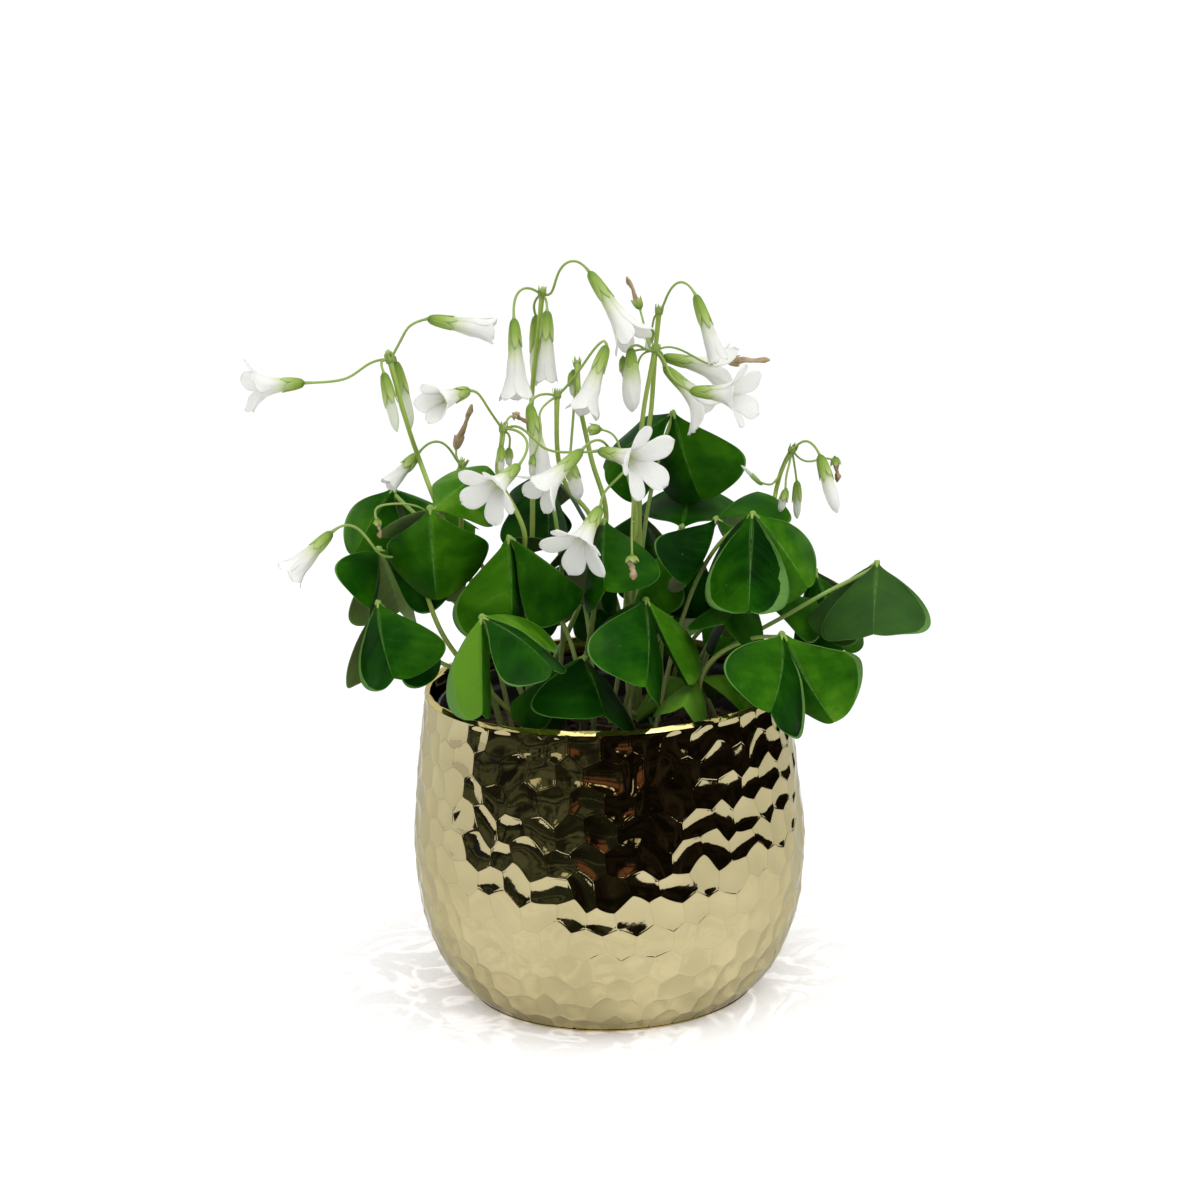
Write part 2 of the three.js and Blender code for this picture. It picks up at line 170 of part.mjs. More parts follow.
    small: [{ kind: 'bud', stem: [[-11.65, -8.0, 190.02], [-15.29, -11.39, 187.95], [-16.96, -14.39, 185.36], [-16.64, -17.1, 182.07], [-17.3, -20.32, 178.46], [-19.25, -24.15, 173.87]], base: [-19.13, -24.0, 174.75], tip: [-19.91, -25.0, 168.93], radius: 0.9 }] },
  { name: 'flower_stalk_08', scape: [[-5.34, -2.0, 198.7], [-5.05, -9.98, 192.02], [-4.56, -5.97, 184.67], [-3.22, -3.16, 176.64], [-1.47, -4.44, 168.06], [0.86, -4.47, 160.16], [2.02, -4.55, 150.54], [-2.93, 0.57, 132.89], [-12.55, 9.8, 109.14], [-24.51, 21.08, 82.33]],
    pedicels: [[[-5.34, -2.0, 198.7], [-6.84, -7.63, 184.68], [-8.41, -13.25, 171.05]]],
    small: [{ kind: 'bud', stem: [[-5.34, -2.0, 198.7], [-6.6, -1.36, 195.31]], base: [-6.64, -1.36, 196.21], tip: [-6.29, -1.36, 188.24], radius: 1.6 }] },
  { name: 'flower_stalk_09', scape: [[8.66, -22.0, 169.9], [9.76, -23.2, 164.56], [10.68, -22.63, 158.52], [10.8, -20.67, 151.99], [9.39, -19.25, 145.68], [7.82, -17.61, 138.23], [7.98, -14.11, 127.78], [9.88, -8.79, 114.56], [12.96, -2.27, 99.5], [16.62, 4.87, 83.52]],
    pedicels: [[[8.66, -22.0, 169.9], [7.23, -23.44, 171.66], [5.41, -24.58, 173.99], [3.46, -26.23, 176.83], [1.54, -28.79, 179.34], [-0.79, -30.95, 179.99], [-3.13, -32.54, 178.97], [-4.53, -34.02, 177.8]],
      [[8.66, -22.0, 169.9], [7.32, -24.16, 168.78], [5.35, -27.08, 167.46], [3.12, -30.39, 165.99], [1.53, -33.15, 164.51], [0.68, -35.56, 162.93], [0.4, -37.75, 161.44]]],
    small: [{ kind: 'wither', stem: [[8.66, -22.0, 169.9], [9.89, -24.42, 167.3], [10.09, -27.92, 162.71], [9.62, -32.11, 156.96], [9.29, -36.11, 151.7], [9.17, -40.1, 146.1]], base: [9.16, -39.87, 146.97], tip: [9.24, -41.69, 140.18], radius: 1.5 },
      { kind: 'bud', stem: [[8.66, -22.0, 169.9], [7.61, -21.41, 171.82], [6.89, -20.66, 174.44], [6.2, -19.83, 177.38], [4.88, -19.15, 179.5], [3.01, -18.57, 180.63], [0.09, -18.0, 181.18]], base: [0.98, -18.0, 181.22], tip: [-2.9, -18.0, 181.04], radius: 1.4 }] },
  { name: 'flower_stalk_10', scape: [[-55.03, -18.0, 145.44], [-54.21, -19.84, 140.62], [-53.03, -21.99, 135.17], [-51.35, -23.59, 128.96], [-49.25, -22.51, 122.46], [-46.42, -18.96, 115.72], [-42.13, -15.19, 108.43], [-36.06, -12.76, 100.43], [-28.71, -11.38, 91.91], [-20.73, -10.53, 83.14]],
    pedicels: [[[-55.03, -18.0, 145.44], [-61.14, -18.37, 144.37], [-65.61, -19.17, 144.95], [-68.06, -19.91, 147.72], [-70.48, -19.03, 150.98], [-73.46, -19.11, 153.92], [-76.92, -20.22, 154.72], [-80.32, -20.81, 152.97]]],
    small: [{ kind: 'wither', stem: [[-55.03, -18.0, 145.44], [-51.96, -19.14, 152.21], [-51.37, -20.24, 157.46], [-54.67, -21.24, 160.15], [-58.85, -21.88, 161.14], [-63.08, -22.63, 161.24], [-66.54, -23.65, 160.1], [-66.17, -23.99, 155.98]], base: [-66.03, -23.99, 156.87], tip: [-66.91, -23.99, 151.41], radius: 0.9 }] },
  { name: 'flower_stalk_11', scape: [[60.16, 6.0, 168.82], [58.4, 10.37, 164.45], [56.78, 13.72, 159.05], [55.44, 14.21, 153.48], [54.26, 9.92, 150.08], [51.7, 5.47, 144.92], [46.65, 5.01, 134.41], [39.61, 7.91, 119.56], [31.25, 13.05, 101.81], [22.22, 19.3, 82.61]],
    pedicels: [[[60.16, 6.0, 168.82], [60.92, 5.63, 169.65], [62.61, 4.91, 171.16], [64.66, 4.09, 171.79], [66.45, 3.37, 170.71], [67.66, 2.68, 169.06], [68.33, 2.08, 167.75]]],
    small: [{ kind: 'bud', stem: [[60.16, 6.0, 168.82], [59.57, 5.14, 166.31], [58.89, 4.31, 163.89], [58.19, 3.51, 161.59], [57.84, 2.75, 159.34], [57.58, 1.87, 156.23]], base: [57.83, 2.0, 157.08], tip: [55.82, 1.0, 150.42], radius: 1.2 },
      { kind: 'bud', stem: [[60.16, 6.0, 168.82], [60.52, 6.41, 166.67], [60.9, 6.88, 164.24], [61.32, 7.42, 161.4], [61.76, 8.08, 157.44]], base: [61.76, 8.0, 158.34], tip: [61.72, 9.0, 146.39], radius: 1.3 },
      { kind: 'wither', stem: [[60.16, 6.0, 168.82], [62.36, 7.22, 166.14], [65.04, 8.47, 164.67], [68.27, 9.75, 164.74], [71.34, 10.93, 164.98], [74.15, 12.11, 163.92]], base: [74.04, 12.0, 164.81], tip: [75.02, 13.0, 156.98], radius: 1.2 },
      { kind: 'bud', stem: [[60.16, 6.0, 168.82], [57.72, 5.34, 164.05], [55.43, 4.78, 160.28], [53.45, 4.39, 158.54], [51.8, 4.19, 158.75], [49.65, 4.0, 159.46]], base: [50.28, 4.0, 158.82], tip: [44.2, 4.0, 164.98], radius: 0.6 }] },
];
// base of the calyx, middle of the mouth, and radius over the petals
const FLOWERS = [
  { name: 'flower_01', base: [-87.15, -14.0, 197.21], mouth: [-103.06, -20.0, 197.09], flare: 8.5, kind: 'half' },
  { name: 'flower_02', base: [-49.38, -4.0, 213.95], mouth: [-29.69, -4.0, 209.72], flare: 4.2, kind: 'half' },
  { name: 'flower_bud_03', base: [-63.05, -12.0, 198.87], mouth: [-59.87, -14.0, 181.56], flare: 1.7, kind: 'bud' },
  { name: 'flower_bud_04', base: [-59.95, -4.0, 200.98], mouth: [-56.56, -2.0, 180.38], flare: 2.1, kind: 'bud' },
  { name: 'flower_05', base: [-37.03, -34.0, 196.22], mouth: [-47.27, -48.0, 194.91], flare: 6.0, kind: 'half' },
  { name: 'flower_06', base: [-23.36, -34.0, 173.68], mouth: [-33.12, -46.0, 166.8], flare: 10.5, kind: 'open' },
  { name: 'flower_07', base: [-55.18, -1.15, 172.15], mouth: [-64.02, -7.0, 163.89], flare: 2.3, kind: 'tube' },
  { name: 'flower_08', base: [-80.59, -20.9, 152.72], mouth: [-93.74, -24.9, 140.82], flare: 5.0, kind: 'half' },
  { name: 'flower_09', base: [-23.91, -2.0, 212.62], mouth: [-23.81, -6.0, 188.88], flare: 5.5, kind: 'half' },
  { name: 'flower_bud_10', base: [-17.56, 12.0, 211.67], mouth: [-18.39, 14.0, 190.03], flare: 2.0, kind: 'bud' },
  { name: 'flower_11', base: [-13.95, 2.0, 214.26], mouth: [-14.68, 1.0, 193.06], flare: 2.6, kind: 'tube' },
  { name: 'flower_12', base: [-0.55, 2.0, 225.62], mouth: [12.62, -6.0, 205.04], flare: 6.5, kind: 'half' },
  { name: 'flower_13', base: [31.36, 3.0, 217.58], mouth: [37.8, 0.0, 197.68], flare: 2.6, kind: 'tube' },
  { name: 'flower_14', base: [29.07, -8.0, 190.27], mouth: [45.28, -18.0, 189.76], flare: 8.5, kind: 'open' },
  { name: 'flower_15', base: [21.53, 6.0, 195.52], mouth: [35.57, 4.0, 181.77], flare: 9.0, kind: 'open' },
  { name: 'flower_16', base: [21.53, 13.88, 197.84], mouth: [41.5, 18.08, 192.27], flare: 8.0, kind: 'half' },
  { name: 'flower_17', base: [3.55, -10.0, 204.64], mouth: [-4.25, -16.0, 185.59], flare: 5.5, kind: 'half' },
  { name: 'flower_18', base: [0.77, -26.74, 176.1], mouth: [15.11, -40.74, 174.58], flare: 14.0, kind: 'open' },
  { name: 'flower_19', base: [-4.8, -34.17, 177.58], mouth: [-18.5, -42.17, 166.18], flare: 8.0, kind: 'half' },
  { name: 'flower_20', base: [0.23, -38.0, 161.21], mouth: [-7.99, -50.0, 149.75], flare: 11.5, kind: 'open' },
  { name: 'flower_21', base: [68.43, 2.0, 167.39], mouth: [73.12, -2.0, 150.16], flare: 2.3, kind: 'tube' },
  { name: 'flower_22', base: [-19.73, -14.0, 188.17], mouth: [-16.28, -20.0, 164.85], flare: 4.2, kind: 'half' },
  { name: 'flower_23', base: [11.07, -6.0, 203.27], mouth: [10.85, -6.0, 184.13], flare: 3.2, kind: 'tube' },
  { name: 'flower_24', base: [-8.34, -13.25, 170.67], mouth: [-6.01, -13.25, 158.94], flare: 2.4, kind: 'tube' },
];

// ---------------------------------------------------------------- materials
const MAT = {
  gold: new THREE.MeshStandardMaterial({ color: 0xc9b27a, roughness: 0.12, metalness: 1.0 }),
  black: new THREE.MeshStandardMaterial({ color: 0x17181a, roughness: 0.45, metalness: 0.0 }),
  soil: new THREE.MeshStandardMaterial({ color: 0x33251a, roughness: 0.95, metalness: 0.0 }),
  leaf: new THREE.MeshStandardMaterial({ color: 0x2c5e12, roughness: 0.45, metalness: 0.0 }),
  stem: new THREE.MeshStandardMaterial({ color: 0x7f9d3c, roughness: 0.5, metalness: 0.0 }),
  petal: new THREE.MeshStandardMaterial({ color: 0xf1f1ee, roughness: 0.6, metalness: 0.0 }),
};

// ---------------------------------------------------------------- solids
// A three.js geometry becomes one solid: only positions kept, shared vertices merged.
function solid(geometry) {
  const g = geometry.index ? geometry.toNonIndexed() : geometry.clone();
  g.deleteAttribute('normal');
  g.deleteAttribute('uv');
  const m = mergeVertices(g, 1e-4);
  const pos = m.attributes.position.array;
  const tri = [];
  const ix = m.index.array;
  for (let i = 0; i < ix.length; i += 3) {
    if (ix[i] !== ix[i + 1] && ix[i + 1] !== ix[i + 2] && ix[i] !== ix[i + 2]) tri.push(ix[i], ix[i + 1], ix[i + 2]);
  }
  let vol = 0;
  for (let i = 0; i < tri.length; i += 3) {
    const a = tri[i] * 3, b = tri[i + 1] * 3, c = tri[i + 2] * 3;
    vol += pos[a] * (pos[b + 1] * pos[c + 2] - pos[b + 2] * pos[c + 1])
      - pos[a + 1] * (pos[b] * pos[c + 2] - pos[b + 2] * pos[c])
      + pos[a + 2] * (pos[b] * pos[c + 1] - pos[b + 1] * pos[c]);
  }
  if (vol < 0) for (let i = 0; i < tri.length; i += 3) { const t = tri[i + 1]; tri[i + 1] = tri[i + 2]; tri[i + 2] = t; }
  return new wasm.Manifold(new wasm.Mesh({ numProp: 3, vertProperties: new Float32Array(pos), triVerts: new Uint32Array(tri) }));
}
function union(list) { return list.slice(1).reduce((a, b) => a.add(b), list[0]); }
function meshOf(manifold, name, material) {
  const m = manifold.getMesh();
  const g = new THREE.BufferGeometry();
  const p = new Float32Array(m.numVert * 3);
  for (let i = 0; i < m.numVert; i++) for (let k = 0; k < 3; k++) p[i * 3 + k] = m.vertProperties[i * m.numProp + k];
  g.setAttribute('position', new THREE.BufferAttribute(p, 3));
  g.setIndex(Array.from(m.triVerts));
  g.computeVertexNormals();
  const mesh = new THREE.Mesh(g, material);
  mesh.name = name;
  return mesh;
}
const V = (a) => new THREE.Vector3(a[0], a[1], a[2]);

// Turned body: profile of [radius, height] pairs about the Z axis.
function turned(profile, segments) {
  const g = new THREE.LatheGeometry(profile.map(([r, z]) => new THREE.Vector2(r, z)), segments);
  g.rotateX(Math.PI / 2);
  return g;
}

const curve = (points) => new THREE.CatmullRomCurve3(points.map(V), false, 'centripetal');

// Round stem of constant radius along a smooth curve.
function stem(points, radius, sides, steps) {
  const shape = new THREE.Shape();
  for (let i = 0; i < sides; i++) {
    const t = (i / sides) * 2 * Math.PI;
    if (i === 0) shape.moveTo(radius * Math.cos(t), radius * Math.sin(t));
    else shape.lineTo(radius * Math.cos(t), radius * Math.sin(t));
  }
  return new THREE.ExtrudeGeometry(shape, { steps, extrudePath: curve(points), bevelEnabled: false });
}

// Outline of half a leaflet: [along the midrib, half width, place on the midrib the vein starts from],
// in shares of the leaflet's length and half width. The last station is the notch between the two lobes.
const HALF_LEAFLET = [[0, 0.03, 0], [0.29, 0.45, 0.10], [0.64, 0.92, 0.31], [0.92, 0.965, 0.58], [1.1, 0.5, 0.88], [1.04, 0.08, 0.99]];

// A leaflet is a thin plate folded down along its midrib, its halves curled a little further and the
// whole arched towards the tip. A box that is subdivided along the midrib is bent into that shape.
function leaflet(q, grow = 0) {
  const [bx, by, bz, az, el, roll, L, W, fold, droop] = q;
  const d = new THREE.Vector3(Math.cos(el) * Math.cos(az), Math.cos(el) * Math.sin(az), Math.sin(el));
  const n0 = new THREE.Vector3(0, 0, 1).addScaledVector(d, -d.z).normalize();
  const l0 = new THREE.Vector3().crossVectors(n0, d);
  const n = n0.multiplyScalar(Math.cos(roll)).addScaledVector(l0, Math.sin(roll));
  const l = new THREE.Vector3().crossVectors(n, d);
  const rows = HALF_LEAFLET.length - 1;
  const g = new THREE.BoxGeometry(rows, 2, 1, rows, 2, 1);
  // the lower face takes the same diagonals as the upper one, so the bent plate keeps its thickness everywhere
  const under = g.groups.find((k) => k.materialIndex === 5), ix = g.index.array;
  for (let i = under.start; i < under.start + under.count; i += 6) {
    const a = ix[i], b = ix[i + 1], d = ix[i + 2], c = ix[i + 4];
    ix[i] = a; ix[i + 1] = b; ix[i + 2] = c; ix[i + 3] = a; ix[i + 4] = c; ix[i + 5] = d;
  }
  const p = g.attributes.position;
  for (let i = 0; i < p.count; i++) {
    const s = Math.round(p.getX(i) + rows / 2), v = p.getY(i), side = p.getZ(i) > 0 ? 0.5 : -0.5;
    const [ox, oy, om] = HALF_LEAFLET[s];
    const x = om + (ox - om) * Math.abs(v), y = oy * v;
    const X = (L + grow) * x, w = Math.abs(y) * (W + grow), psi = fold + LEAF_CURL * Math.abs(y) / 2;
    const y3 = w * Math.cos(psi) * Math.sign(y);
    const z3 = -w * Math.sin(psi) + side * (LEAF_THICKNESS * (Math.abs(v) > 0.5 ? 1 : 1.15) + 2 * grow);
    const th = droop * x;
    const px = X * Math.cos(th / 2) + z3 * Math.sin(th), pz = -X * Math.sin(th / 2) + z3 * Math.cos(th);
    p.setXYZ(i, bx + d.x * px + l.x * y3 + n.x * pz, by + d.y * px + l.y * y3 + n.y * pz, bz + d.z * px + l.z * y3 + n.z * pz);
  }
  return g;
}

// One leaf: petiole, the small swelling at its top and three leaflets, grown as one piece.
const PETIOLE_STEPS = 7, SCAPE_STEPS = 8;
const petiolePath = ({ petiole: p }) => [[p[0][0], p[0][1], p[0][2] - STEM_DEPTH], ...p];
const scapePath = ({ scape: p }) => [[p[p.length - 1][0], p[p.length - 1][1], p[p.length - 1][2] - STEM_DEPTH], ...[...p].reverse()];
function leaf({ petiole, hub, leaflets }, grow = 0) {
  const knot = new THREE.IcosahedronGeometry(1.45 + grow, 0);
  knot.translate(hub[0], hub[1], hub[2]);
  return union([solid(stem(petiolePath({ petiole }), PETIOLE_RADIUS + grow, 5, PETIOLE_STEPS)), solid(knot), ...leaflets.map((q) => solid(leaflet(q, grow)))]);
}

// A closed spindle from a to b, for buds and withered flowers.
function spindle(a, b, radius, kind) {
  const A = V(a), B = V(b), len = A.distanceTo(B);
  const prof = kind === 'bud'
    ? [[0, 0], [radius * 0.9, len * 0.15], [radius, len * 0.45], [radius * 0.45, len * 0.95], [0, len]]
    : [[0, 0], [radius, len * 0.2], [radius * 0.55, len * 0.6], [radius * 0.8, len * 0.9], [0, len]];
  const g = turned(prof, 6);
  g.applyQuaternion(new THREE.Quaternion().setFromUnitVectors(new THREE.Vector3(0, 0, 1), B.clone().sub(A).normalize()));
  g.translate(A.x, A.y, A.z);
  return g;
}

// A flower from the base of its calyx to its mouth. Open ones have five lobes round a hollow throat.
function flower({ base, mouth, flare, kind }, grow = 0) {
  const A = V(base), B = V(mouth), len = A.distanceTo(B);
  let g;
  if (kind === 'bud' || kind === 'tube') {
    g = turned([[0, 0], [1.1, 0.3], [2.0, len * 0.16], [flare * 0.8, len * 0.4], [flare, len * 0.8], [flare * 0.6, len - 0.4], [0, len]], 6);
  } else {
    const rt = 2.1;
    g = turned([[0, 0], [1.1, 0.3], [1.9, len * 0.2], [rt, len * 0.62], [0.5 * flare + 0.9, len * 0.84], [flare, len],
      [flare - 0.35, len + 0.6], [0.5 * flare + 0.2, len * 0.84 + 0.9], [0, len * 0.62 - 0.4]], 10);
    const p = g.attributes.position;
    for (let i = 0; i < p.count; i++) {
      const x = p.getX(i), y = p.getY(i), z = p.getZ(i), r = Math.hypot(x, y);
      if (r < flare * 0.9) continue;
      const k = Math.round((Math.atan2(y, x) / (2 * Math.PI)) * 10 + 100) % 2;
      if (k === 1) p.setXYZ(i, x * 0.72, y * 0.72, z - len * 0.05);
    }
  }
  if (grow) g.translate(0, 0, -len / 2).scale(1 + grow / 3, 1 + grow / 3, 1 + 2 * grow / len).translate(0, 0, len / 2);
  g.applyQuaternion(new THREE.Quaternion().setFromUnitVectors(new THREE.Vector3(0, 0, 1), B.clone().sub(A).normalize()));
  g.translate(A.x, A.y, A.z);
  return solid(g);
}

// One flower stalk: scape, the pedicels that leave its top, and the buds and spent flowers they carry.
function flowerStalk({ scape, pedicels, small }, grow = 0) {
  const knot = new THREE.IcosahedronGeometry(1.35 + grow, 0);
  knot.translate(...scape[0]);
  const parts = [solid(stem(scapePath({ scape }), SCAPE_RADIUS + grow, 5, SCAPE_STEPS)), solid(knot)];
  for (const p of pedicels) parts.push(solid(stem(p, PEDICEL_RADIUS + grow, 4, Math.min(6, p.length))));
  for (const b of small) {
    if (b.stem.length > 1) parts.push(solid(stem(b.stem, PEDICEL_RADIUS * 0.9 + grow, 4, Math.min(6, b.stem.length))));
    parts.push(solid(spindle(b.base, b.tip, b.radius + grow, b.kind)));
  }
  return union(parts);
}

// ---------------------------------------------------------------- pots and soil
function coverPot() {
  const outer = POT_PROFILE.map(([h, r]) => [r, h * POT_HEIGHT]);
  const inner = [[53.9, POT_HEIGHT - 1.0], [54.8, 0.92 * POT_HEIGHT], [56.8, 0.8 * POT_HEIGHT], [58.0, 0.66 * POT_HEIGHT], [59.4, 0.5 * POT_HEIGHT],
    [58.5, 0.33 * POT_HEIGHT], [55.6, 0.2 * POT_HEIGHT], [51.1, 0.10 * POT_HEIGHT], [46.5, 0.045 * POT_HEIGHT], [43.0, POT_FLOOR]];
  const prof = [[0, 0], [POT_FOOT_RADIUS, 0], ...outer, [55.9, POT_HEIGHT], [54.5, POT_HEIGHT], ...inner, [0, POT_FLOOR]];
  return solid(turned(prof, 28));
}
const nurseryBase = POT_FLOOR + GAP;
const nurseryTop = nurseryBase + NURSERY_HEIGHT;
const nurseryRadius = (z) => NURSERY_BASE_RADIUS + (NURSERY_TOP_RADIUS - NURSERY_BASE_RADIUS) * (z - nurseryBase) / (NURSERY_HEIGHT - NURSERY_LIP_HEIGHT);
function nurseryPot() {
  const lipZ = nurseryTop - NURSERY_LIP_HEIGHT;
  const b = NURSERY_BASE_RADIUS, t = NURSERY_TOP_RADIUS, w = NURSERY_WALL;
  const prof = [[0, nurseryBase], [b - 1, nurseryBase], [b, nurseryBase + 1.5], [t, lipZ], [NURSERY_LIP_RADIUS, lipZ], [NURSERY_LIP_RADIUS, nurseryTop - 0.6],
    [NURSERY_LIP_RADIUS - 0.5, nurseryTop], [NURSERY_LIP_RADIUS - w + 0.3, nurseryTop], [NURSERY_LIP_RADIUS - w, nurseryTop - 0.6], [NURSERY_LIP_RADIUS - w, lipZ + w], [t - w, lipZ],
    [b - w, nurseryBase + w + 0.6], [b - w - 1, nurseryBase + w], [0, nurseryBase + w]];
  let body = solid(turned(prof, 20));
  for (let i = 0; i < 4; i++) {
    const a = Math.PI / 4 + (i * Math.PI) / 2;
    const hole = new THREE.CylinderGeometry(DRAIN_HOLE_RADIUS, DRAIN_HOLE_RADIUS, 6, 10);
    hole.rotateX(Math.PI / 2);
    hole.translate(24 * Math.cos(a), 24 * Math.sin(a), nurseryBase);
    body = body.subtract(solid(hole));
  }
  return body;
}
const soilHeight = (r) => SOIL_TOP - SOIL_DROP * (r * r) / 2500;
function soilBody(stemBases) {
  const w = NURSERY_WALL + GAP, z0 = nurseryBase + NURSERY_WALL + GAP;
  const top = [47.4, 34, 18].map((r) => [r, soilHeight(r)]);
  let body = solid(turned([[0, z0], [NURSERY_BASE_RADIUS - w - 1, z0], [NURSERY_BASE_RADIUS - w, z0 + 1.5], [nurseryRadius(60) - w, 60], ...top, [0, SOIL_TOP]], 20));
  for (const { path, steps, radius } of stemBases) {
    const [a, b] = curve(path).getSpacedPoints(steps);
    const dir = b.clone().sub(a).normalize();
    const socket = new THREE.CylinderGeometry(radius + 0.6, radius + 0.6, STEM_DEPTH + 5, 6);
    socket.applyQuaternion(new THREE.Quaternion().setFromUnitVectors(new THREE.Vector3(0, 1, 0), dir));
    const c = a.addScaledVector(dir, (STEM_DEPTH + 5) / 2 - 0.4);
    socket.translate(c.x, c.y, c.z);
    body = body.subtract(solid(socket));
  }
  return body;
}

// ---------------------------------------------------------------- assembly
const group = new THREE.Group();
group.name = 'potted_oxalis';
group.add(meshOf(coverPot(), 'cover_pot', MAT.gold));
group.add(meshOf(nurseryPot(), 'nursery_pot', MAT.black));
const stemBases = [
  ...LEAVES.map((l) => ({ path: petiolePath(l), steps: PETIOLE_STEPS, radius: PETIOLE_RADIUS })),
  ...STALKS.map((k) => ({ path: scapePath(k), steps: SCAPE_STEPS, radius: SCAPE_RADIUS })),
];
group.add(meshOf(soilBody(stemBases).simplify(0.02), 'soil', MAT.soil));

// Grown pieces, in order. Where two of them would touch, the later one is trimmed back by GAP from the earlier one.
const grown = [
  ...STALKS.map((s) => ({ name: s.name, make: (grow) => flowerStalk(s, grow), mat: MAT.stem })),
  ...LEAVES.map((l) => ({ name: l.name, make: (grow) => leaf(l, grow), mat: MAT.leaf })),
  ...FLOWERS.map((f) => ({ name: f.name, make: (grow) => flower(f, grow), mat: MAT.petal })),
];
function boxesMeet(a, b) {
  const p = a.boundingBox(), q = b.boundingBox();
  return [0, 1, 2].every((k) => p.min[k] < q.max[k] && q.min[k] < p.max[k]);
}
for (const g of grown) g.body = g.make(0);
for (let j = 1; j < grown.length; j++) {
  for (let i = 0; i < j; i++) {
    if (!boxesMeet(grown[i].body, grown[j].body) || grown[i].body.intersect(grown[j].body).isEmpty()) continue;
    const left = grown[j].body.subtract(grown[i].make(GAP)).decompose();
    grown[j].body = left.reduce((a, b) => (b.volume() > a.volume() ? b : a));
  }
}
// Cuts can leave hair-thin slivers; they are smoothed away within a thirtieth of a millimetre.
const SLIVER = 0.03;
for (const g of grown) {
  const body = g.body.asOriginal().simplify(SLIVER).decompose().reduce((a, b) => (b.volume() > a.volume() ? b : a));
  group.add(meshOf(body, g.name, g.mat));
}

export default group;
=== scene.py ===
import bpy, math
import numpy as np
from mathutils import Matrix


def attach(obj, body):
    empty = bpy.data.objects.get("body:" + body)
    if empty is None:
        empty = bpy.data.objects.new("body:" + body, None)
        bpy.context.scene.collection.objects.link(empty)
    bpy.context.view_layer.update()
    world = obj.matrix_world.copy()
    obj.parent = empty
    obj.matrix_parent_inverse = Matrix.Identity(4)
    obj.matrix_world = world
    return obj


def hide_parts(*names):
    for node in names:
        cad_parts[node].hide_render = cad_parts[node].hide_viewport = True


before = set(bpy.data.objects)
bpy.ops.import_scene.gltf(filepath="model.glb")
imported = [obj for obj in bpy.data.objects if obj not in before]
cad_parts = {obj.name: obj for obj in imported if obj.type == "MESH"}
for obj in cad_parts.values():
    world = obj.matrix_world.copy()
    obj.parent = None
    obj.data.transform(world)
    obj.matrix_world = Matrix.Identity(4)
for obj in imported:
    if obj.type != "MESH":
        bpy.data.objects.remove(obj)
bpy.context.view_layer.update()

MM = 0.001
PI = math.pi

